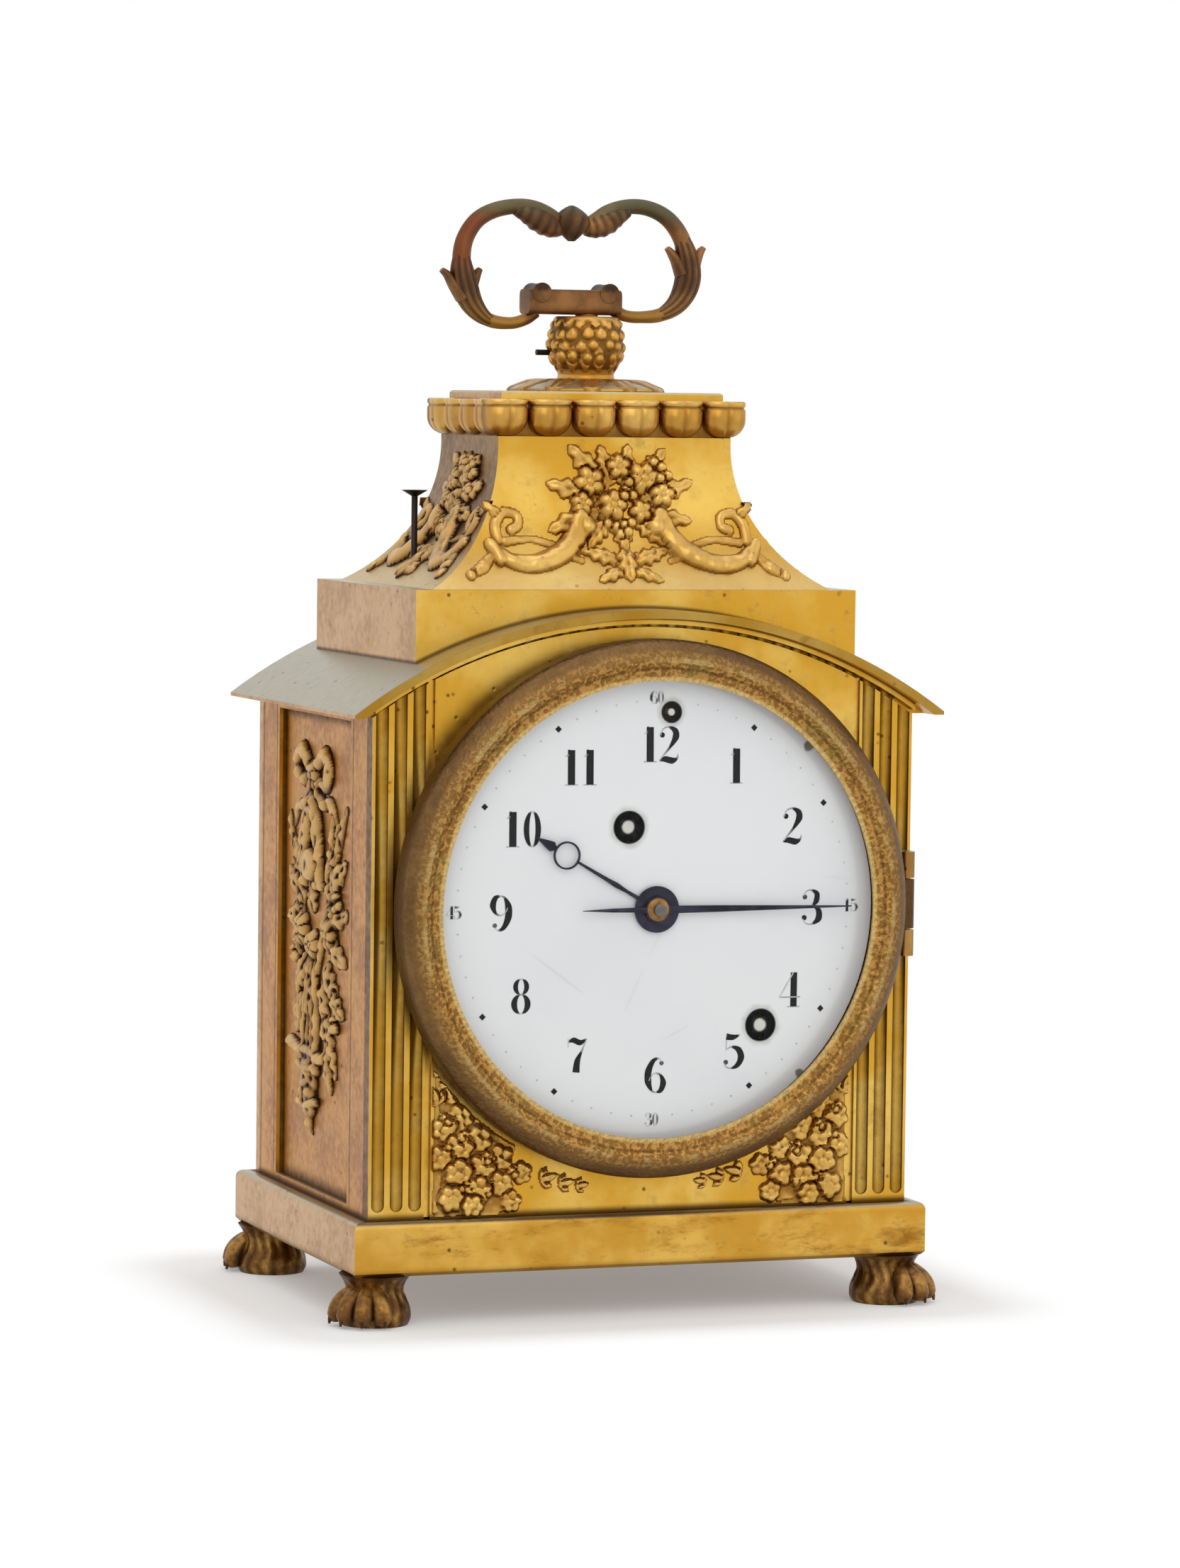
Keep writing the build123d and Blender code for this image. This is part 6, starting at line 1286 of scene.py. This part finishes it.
# Figures in a box one unit high: lines with points and widths, rings with centre, outer and inner radii,
# balls with centre and radius
figures = {
    "0": {"rings": (((0.29, 0.5), (0.25, 0.5), (0.09, 0.47)),)},
    "1": {"lines": ((((0.27, 0.02), (0.27, 0.98)), (0.15, 0.15)),
                    (((0.08, 0.02), (0.46, 0.02)), (0.04, 0.04)),
                    (((0.09, 0.80), (0.17, 0.84), (0.25, 0.97)), (0.03, 0.05, 0.1)))},
    "2": {"lines": ((((0.07, 0.74), (0.13, 0.91), (0.27, 0.98), (0.43, 0.88), (0.45, 0.70), (0.31, 0.42),
                      (0.13, 0.17), (0.05, 0.05)),
                     (0.03, 0.04, 0.05, 0.12, 0.14, 0.08, 0.04, 0.03)),
                    (((0.05, 0.05), (0.19, 0.09), (0.36, 0.05), (0.48, 0.11), (0.51, 0.24)),
                     (0.05, 0.12, 0.13, 0.07, 0.03))),
          "balls": (((0.12, 0.76), 0.075),)},
    "3": {"lines": ((((0.08, 0.80), (0.14, 0.94), (0.27, 0.98), (0.41, 0.88), (0.40, 0.68), (0.30, 0.55),
                      (0.20, 0.53)),
                     (0.03, 0.04, 0.05, 0.11, 0.12, 0.05, 0.03)),
                    (((0.20, 0.53), (0.34, 0.52), (0.46, 0.40), (0.46, 0.18), (0.30, 0.03), (0.14, 0.05),
                      (0.06, 0.18)),
                     (0.03, 0.05, 0.12, 0.14, 0.05, 0.04, 0.03))),
          "balls": (((0.11, 0.79), 0.07), ((0.10, 0.21), 0.075))},
    "4": {"lines": ((((0.38, 0.02), (0.38, 0.98)), (0.14, 0.14)),
                    (((0.36, 0.97), (0.03, 0.30)), (0.04, 0.035)),
                    (((0.02, 0.29), (0.55, 0.29)), (0.045, 0.045)),
                    (((0.22, 0.02), (0.54, 0.02)), (0.04, 0.04)))},
    "5": {"lines": ((((0.11, 0.91), (0.28, 0.89), (0.45, 0.95)), (0.13, 0.11, 0.04)),
                    (((0.12, 0.95), (0.11, 0.52)), (0.035, 0.035)),
                    (((0.11, 0.53), (0.24, 0.62), (0.42, 0.54), (0.49, 0.32), (0.40, 0.10), (0.24, 0.02),
                      (0.11, 0.07), (0.07, 0.18)),
                     (0.03, 0.05, 0.12, 0.14, 0.10, 0.05, 0.04, 0.03))),
          "balls": (((0.11, 0.19), 0.07),)},
    "6": {"lines": ((((0.45, 0.86), (0.36, 0.97), (0.22, 0.90), (0.11, 0.62), (0.11, 0.32), (0.20, 0.08),
                      (0.30, 0.02)),
                     (0.03, 0.04, 0.09, 0.14, 0.14, 0.07, 0.04)),
                    (((0.30, 0.02), (0.42, 0.08), (0.48, 0.29), (0.41, 0.50), (0.28, 0.56), (0.17, 0.47),
                      (0.13, 0.35)),
                     (0.04, 0.10, 0.13, 0.08, 0.04, 0.03, 0.02))),
          "balls": (((0.43, 0.84), 0.065),)},
    "7": {"lines": ((((0.05, 0.98), (0.05, 0.74)), (0.035, 0.035)),
                    (((0.05, 0.88), (0.18, 0.93), (0.34, 0.86), (0.50, 0.96)), (0.05, 0.11, 0.11, 0.04)),
                    (((0.50, 0.96), (0.38, 0.62), (0.28, 0.35), (0.25, 0.03)), (0.03, 0.06, 0.12, 0.15)))},
    "8": {"rings": (((0.29, 0.76), (0.23, 0.23), (0.09, 0.20)), ((0.29, 0.28), (0.28, 0.28), (0.11, 0.25)))},
}


def dialLevel(x, z):
    # Shallow dome of the enamel: y = front + (edge - front) (r / R)^2
    away = (x**2 + z**2) / clock["dialRadius"] ** 2
    return clock["dialFront"] + (clock["dialEdge"] - clock["dialFront"]) * away


class Print:  # flat marks laid on the enamel, each a closed thin plate
    def __init__(self):
        self.shells = Shells()

    def strip(self, left, right):  # a plate between two edge lines, rubbed where it is thin
        rubbed = np.interp(np.linalg.norm(left - right, axis=1), marks["rubbed"], [1.0, 0.0])
        x = np.stack([left[:, 0], right[:, 0]], 1)
        z = np.stack([left[:, 1], right[:, 1]], 1)
        base = dialLevel(x, z)
        front = np.stack([x, base - marks["proud"], z + clock["dialZ"]], -1)
        back = np.stack([x, base + marks["sunk"], z + clock["dialZ"]], -1)
        loop = np.stack([front[:, 0], front[:, 1], back[:, 1], back[:, 0]], 1)
        surface = closedEnds(loop)
        self.shells.grid(surface, grime=np.broadcast_to(np.pad(rubbed, 1, mode="edge")[:, None],
                                                        surface.shape[:2]))

    def line(self, points, widths, centre, size):
        flat = smoothLine(points, 8 * len(points)) if len(points) > 2 else np.asarray(points, float)
        widths = np.where(np.asarray(widths) > 0.08, np.asarray(widths) * marks["stroke"],
                          np.asarray(widths) * 0.9)
        thick = np.interp(np.linspace(0, 1, len(flat)), np.linspace(0, 1, len(widths)), widths)[:, None]
        tangent = unit(np.gradient(flat, axis=0))
        normal = np.column_stack([-tangent[:, 1], tangent[:, 0]])
        self.strip(centre + size * (flat + normal * thick / 2), centre + size * (flat - normal * thick / 2))

    def ring(self, middle, outer, inner, centre, size, sides=40):
        angle = np.linspace(0, 2 * np.pi, sides + 1)
        circle = np.column_stack([np.cos(angle), np.sin(angle)])
        middle = np.asarray(middle)
        self.strip(centre + size * (middle + circle * outer), centre + size * (middle + circle * inner))

    def ball(self, middle, radius, centre, size, sides=12):
        self.ring(middle, (radius, radius), (0.0, 0.0), centre, size, sides)

    def figure(self, digit, centre, size):
        shape, spread = figures[digit], 1.0 if digit == "1" else marks["spread"]
        wider = np.array([0.28 * (1 - spread), 0.0])
        for points, widths in shape.get("lines", ()):
            self.line(np.asarray(points) * (spread, 1) + wider, widths, centre, size)
        for middle, outer, inner in shape.get("rings", ()):
            self.ring(np.asarray(middle) * (spread, 1) + wider, outer, inner, centre, size)
        for middle, radius in shape.get("balls", ()):
            self.ball(np.asarray(middle) * (spread, 1) + wider, radius, centre, size)

    def number(self, text, x, z, size):  # centred on (x, z)
        step = 0.54
        left = x - size * (0.56 + step * (len(text) - 1)) / 2
        for k, digit in enumerate(text):
            self.figure(digit, np.array([left + k * step * size, z - size / 2]), size)


figures["9"] = {"lines": tuple((tuple((0.58 - x, 1 - z) for x, z in points), widths) for points,
                               widths in figures["6"]["lines"]),
                "balls": tuple(((0.58 - x, 1 - z), radius) for (x, z), radius in figures["6"]["balls"])}


def dialMarks(finish):
    numerals, track = Print(), Print()
    for hour in range(1, 13):
        angle = math.radians(90 - 30 * hour)
        numerals.number(str(hour), marks["numeralRadius"] * math.cos(angle) + marks["shiftX"],
                        marks["numeralRadius"] * math.sin(angle) + marks["shiftZ"], marks["numeralHeight"])
    for minute in range(60):
        angle = math.radians(90 - 6 * minute)
        spot = np.array([math.cos(angle), math.sin(angle)])
        if minute % 15 == 0:
            numerals.number(str(minute or 60), *spot * marks["quarterRadius"], marks["quarterHeight"])
        else:
            size, sides = (marks["diamond"], 4) if minute % 5 == 0 else (marks["dot"], 8)
            track.ring((0, 0), (size, size), (0, 0), spot * marks["trackRadius"], 1.0, sides)
    numerals.shells.piece("dialNumerals", finish, "case", "enamel", (), 30)
    track.shells.piece("minuteTrack", finish, "case", "enamel", (), 30)


# Strips that stand in the grooves beside the field, behind its face
grooves = {"inner": 42.15, "outer": 43.45, "front": -36.0, "back": -33.3, "low": 20.1, "high": 120.9}


def grooveStrips(finish):
    shells = Shells()
    for side in (-1, 1):
        loop = np.array([(side * grooves[x], grooves[y]) for x, y in
                         (("inner", "back"), ("inner", "front"), ("outer", "front"), ("outer", "back"))])
        rows = [np.column_stack([loop, np.full(4, grooves[z])]) for z in ("low", "high")]
        shells.grid(closedEnds(np.stack(rows)))
    shells.piece("grooveStrips", finish, "case", "gilt_bronze", (), 30)


# Hands: thin bevelled blades, an open ring on the hour hand and a hub on each
hands = {
    "hourFront": -43.55, "hourBack": -43.0, "minuteFront": -44.15, "minuteBack": -43.6, "hourAngle": 150.0,
    "bevel": 0.16, "hub": 4.4, "hourBore": 2.3, "minuteBore": 1.2, "minuteHub": 2.5,
    "hour": ((3.6, 0.4), (7.0, 0.3), (9.5, 0.5), (11.5, 0.36), (18.4, 0.22)),
    "tip": ((23.4, 0.28), (24.3, 1.0), (25.2, 0.8), (27.9, 0.06)), "ringPlace": 20.9, "ringRadius": 2.65,
    "ringWire": 0.34,
    "tail": ((-15.0, 0.05), (-9.0, 0.36), (-2.0, 0.5)),
    "minute": ((2.0, 0.72), (12.0, 0.62), (30.0, 0.3), (39.3, 0.12)),
}


def handBlade(shells, line, angle, front, back):  # half widths along a straight line, with a ridge in front
    line = np.array(line)
    ahead = np.array([math.cos(math.radians(angle)), math.sin(math.radians(angle))])
    aside = np.array([-ahead[1], ahead[0]])
    middle = line[:, :1] * ahead
    left, right = middle + line[:, 1:] * aside, middle - line[:, 1:] * aside
    bevel = front + hands["bevel"]
    loop = np.stack([np.insert(flat, 1, level, axis=1) for flat, level in
                     ((left, back), (left, bevel), (middle, front), (right, bevel), (right, back))], 1)
    shells.grid(closedEnds(loop) + (0, 0, clock["dialZ"]))


def handRing(shells, centre, outer, inner, front, back, sides=48):
    # Closed ring with a bevelled front: the section turns about the centre of the ring
    bevel = front + hands["bevel"] / 2
    section = np.array([(outer, back), (outer, bevel), (outer * 0.7 + inner * 0.3, front),
                        (outer * 0.3 + inner * 0.7, front), (inner, bevel), (inner, back)])
    angle = ringAngles(sides)[:, None]
    ring = np.stack([centre[0] + section[:, 0] * np.cos(angle), np.broadcast_to(section[:, 1], (sides, 6)),
                     clock["dialZ"] + centre[1] + section[:, 0] * np.sin(angle)], -1)
    shells.add(ring.reshape(-1, 3), gridFaces(sides, 6, True, True))


def clockHands(finish):
    angle = math.radians(hands["hourAngle"])
    hour, minute = Shells(), Shells()
    hourLevels = hands["hourFront"], hands["hourBack"]
    minuteLevels = hands["minuteFront"], hands["minuteBack"]
    for part in ("hour", "tip"):
        handBlade(hour, hands[part], hands["hourAngle"], *hourLevels)
    centre = hands["ringPlace"] * math.cos(angle), hands["ringPlace"] * math.sin(angle)
    handRing(hour, centre, hands["ringRadius"], hands["ringRadius"] - hands["ringWire"], *hourLevels)
    handRing(hour, (0, 0), hands["hub"], hands["hourBore"], *hourLevels)
    hour.piece("hourHand", finish, "hour_hand_group", "blued_steel", ("hour_hand",), 30)
    for part in ("tail", "minute"):
        handBlade(minute, hands[part], 0.0, *minuteLevels)
    handRing(minute, (0, 0), hands["minuteHub"], hands["minuteBore"], *minuteLevels)
    minute.piece("minuteHand", finish, "minute_hand_group", "blued_steel", ("minute_hand",), 30)


# Coil under the collar of the repeat pin, which squashes it as the pin goes down; here it is built at the
# part's length
coil = {"turns": 5.0, "wire": 0.3, "radius": 1.4, "endGap": 0.02, "travel": 3.5}


def repeatCoil(finish):
    lowest, highest = (np.array(corner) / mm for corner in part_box("repeat_spring"))
    centre, length = (lowest + highest) / 2, highest[2] - lowest[2]
    # Helix (x + R cos a, y + R sin a, z) with both end turns flat: the rise stops where they start
    angle = np.linspace(0, 2 * np.pi * coil["turns"], 200)
    rise = clamped((angle / (2 * np.pi) - 0.75) / (coil["turns"] - 1.5))
    ends = coil["wire"] + coil["endGap"]
    path = np.column_stack([centre[0] + coil["radius"] * np.cos(angle),
                            centre[1] + coil["radius"] * np.sin(angle),
                            lowest[2] + ends + (length - 2 * ends) * rise])
    shells = Shells()
    shells.grid(sweptTube(path, coil["wire"], sides=8, level=(0, 0, 1)))
    made = shells.piece("repeatCoil", finish, "case", "grey_steel", ("repeat_spring",), 60)
    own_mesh(made)


# build
def dressNodes(finishes, table):
    for finish, nodes in table.items():
        for node in nodes:
            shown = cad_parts[node]
            shown.data.materials.clear()
            shown.data.materials.append(finishes[finish])


def seenShare():  # 1 for rays from the camera, from mirrors and through glass
    rays = [Wire.node("ShaderNodeLightPath", out=f"Is {kind} Ray") for kind in ("Camera", "Glossy",
                                                                                "Transmission")]
    return (rays[0] + rays[1] + rays[2]).smaller(1.0)


def makeStage():
    bpy.ops.mesh.primitive_plane_add(size=8.0)
    floor = bpy.context.object
    floor.name = "paleFloor"
    material = bpy.data.materials.new("paleFloor")
    material.use_nodes = True
    tree = material.node_tree
    Wire.tree = tree
    tree.nodes.remove(tree.nodes["Principled BSDF"])
    across, deep, _ = parted(Wire.node("ShaderNodeTexCoord", out="Object"))
    halfX, halfY = stageLook["plinthHalf"]
    away = distance((abs(across) - halfX).larger(0.0), (abs(deep) - halfY).larger(0.0))
    # Painted light: near the plinth the floor keeps the object's shadow but still glows a share of white,
    # which lightens that shadow; further off it glows fully white
    far = away.over(*stageLook["shadowReach"]).larger(stageLook["glowInShadow"]) * seenShare()
    diffuse = Wire.node("ShaderNodeBsdfDiffuse", None, {"Color": toLinear(stageLook["floor"])})
    bright = Wire.node("ShaderNodeEmission", None, {"Color": (1, 1, 1, 1), "Strength": 1.0})
    mixed = Wire.node("ShaderNodeMixShader", None, {0: far, 1: diffuse, 2: bright})
    tree.links.new(mixed.socket, tree.nodes["Material Output"].inputs["Surface"])
    floor.data.materials.append(material)

    world = bpy.data.worlds.new("studio")
    world.use_nodes = True
    bpy.context.scene.world = world
    tree = world.node_tree
    Wire.tree = tree
    strength = stageLook["skyForObject"] + seenShare() * (1 - stageLook["skyForObject"])
    background = tree.nodes["Background"]
    background.inputs["Color"].default_value = (1, 1, 1, 1)
    tree.links.new(strength.socket, background.inputs["Strength"])

    for name, start, power, size in stageLook["lamps"]:
        data = bpy.data.lights.new(name, "AREA")
        data.energy = power
        data.size = size
        lamp = bpy.data.objects.new(name, data)
        bpy.context.collection.objects.link(lamp)
        toward = unit(np.array(start) - stageLook["lampAim"])
        side = unit(np.cross([0.0, 0.0, 1.0] if abs(toward[2]) < 0.95 else [0.0, 1.0, 0.0], toward))
        lamp.matrix_world = placedAt((side, np.cross(toward, side), toward), start)


setCamera()
makeStage()
bpy.context.scene.view_settings.view_transform = "Standard"
print("camera and stage set")

# In these kinds the side and up tones are painted light by facing, the hollow colours painted shade with
# some dirt, and the bright colours painted highlights
giltKinds = {
    "giltPlain": {},
    "giltBack": {"look": {"stainDepth": 0.5, "pale": (220, 172, 70)}},
    "giltFront": {"look": {"stainDepth": 0.5}, "hollows": frontHollows, "shape": fluteShape},
    "giltSide": {"look": {"side": (192, 134, 56), "sideLightStain": (160, 102, 36)}, "hollows": sideHollows},
    "giltPlinth": {"look": {"gold": (200, 148, 52), "pale": (222, 178, 84), "stainDepth": 1.0,
                            "streak": (0.45, 0.45, 1.4)}, "hollows": plinthHollows},
    "giltBlock": {"look": {"stainDepth": 0.45}, "hollows": blockHollows},
    # The hood's sideways faces are painted darker for the shade on them, and its upward faces take a painted
    # grey-gold up tone
    "giltHood": {"look": {"side": (140, 104, 56), "sideLightStain": (104, 74, 34), "up": (186, 164, 118)},
                 "upLightTint": 0.8},
    # The roof slopes take a grey up tone, a painted reflection
    "giltRoof": {"look": {"up": (164, 158, 138)}, "hollows": roofHollows},
    "giltMoulding": {"hollows": mouldingHollows},
    "giltRing": {"look": {"gold": (150, 108, 52), "pale": (178, 136, 76), "side": (128, 92, 52),
                          "sideLightStain": (104, 72, 38)}},
    "giltCarved": {"look": {"gold": (180, 130, 50), "pale": (208, 164, 84), "stain": (140, 90, 34),
                            "dirt": (98, 60, 22), "gain": 0.62, "bright": (236, 200, 118), "highlightShare": 0.4,
                            "stainDepth": 0.45, "roughLow": 0.2, "roughHigh": 0.4}, "sideLightTint": 0.2,
                            "upLightTint": 0.25},
    "giltTrophy": {"look": {"gold": (140, 98, 46), "pale": (176, 130, 72), "stain": (100, 64, 32),
                            "bright": (222, 182, 118), "dirt": (40, 22, 10), "gain": 1.5, "highlightShare": 0.7,
                            "roughLow": 0.22}, "sideLightTint": 0.0, "upLightTint": 0.2},
    "giltKnob": {"look": {"gold": (190, 136, 56), "pale": (222, 176, 92)}, "sideLightTint": 0.2, "upLightTint": 0.2},
}
finishes = {
    **{name: giltFinish(name, **settings) for name, settings in giltKinds.items()},
    "bezel": bezelFinish(), "paw": pawFinish(), "handle": handleFinish(), "enamel": enamelFinish(),
    "arborEnd": arborFinish(), "ink": inkFinish(), "glass": glassFinish(),
    **{name: metalFinish(name) for name in metalLooks},
}
dressNodes(finishes, {
    "giltPlain": ("cap_plate", "finial_knob", "gadroon_cornice", "hood_mounts", "side_trophies",
                  "spandrel_mounts"),
    "giltBack": ("rear_frame", "rear_door", "rear_door_knob"), "giltRing": ("dial_ring",),
    "giltBlock": ("attic_block",), "giltHood": ("cavetto_hood",),
    "giltFront": ("front_panel", "pilasters"), "giltSide": ("left_side", "right_side"),
    "giltPlinth": ("base_plinth",),
    "giltRoof": ("roof_cover",), "giltMoulding": ("arch_moulding",), "bezel": ("bezel",),
    "enamel": ("dial",),
    "glass": ("bezel_glass",), "paw": ("front_left_paw", "front_right_paw", "rear_left_paw",
                                       "rear_right_paw"),
    "handle": ("handle",), "bluedSteel": ("hour_hand", "minute_hand", "plate_screws", "hairspring"),
    "darkPin": ("repeat_push", "handle_pin"), "colletBrass": ("hand_collet", "bezel_hinge_pin",
                                                              "rear_hinge_pins"),
    "arborEnd": ("going_arbor", "strike_arbor", "regulator"),
    "greySteel": ("tie_bolt", "repeat_spring", "click_springs", "hammer", "strike_fly", "cannon_pinion"),
    "movementBrass": ("front_plate", "back_plate", "balance_cock"), "bellMetal": ("bell",),
    "wheelBrass": ("going_barrel", "strike_barrel", "intermediate_wheel", "centre_wheel", "third_wheel",
                   "fourth_wheel",
                   "escape_wheel", "balance_wheel", "minute_wheel", "hour_wheel", "pin_wheel"),
})
print("finishes on the nodes")
hoodMounts(finishes["giltCarved"], finishes["giltTrophy"])
spandrelMounts(finishes["giltCarved"])
sideTrophies(finishes["giltTrophy"])
gadroonCornice(finishes["giltCarved"])
capRosette(finishes["giltCarved"])
finialKnob(finishes["giltKnob"])
handlePiece(finishes["handle"])
pawPieces(finishes["paw"])
dialMarks(finishes["ink"])
clockHands(finishes["bluedSteel"])
repeatCoil(finishes["greySteel"])
grooveStrips(finishes["giltPlain"])
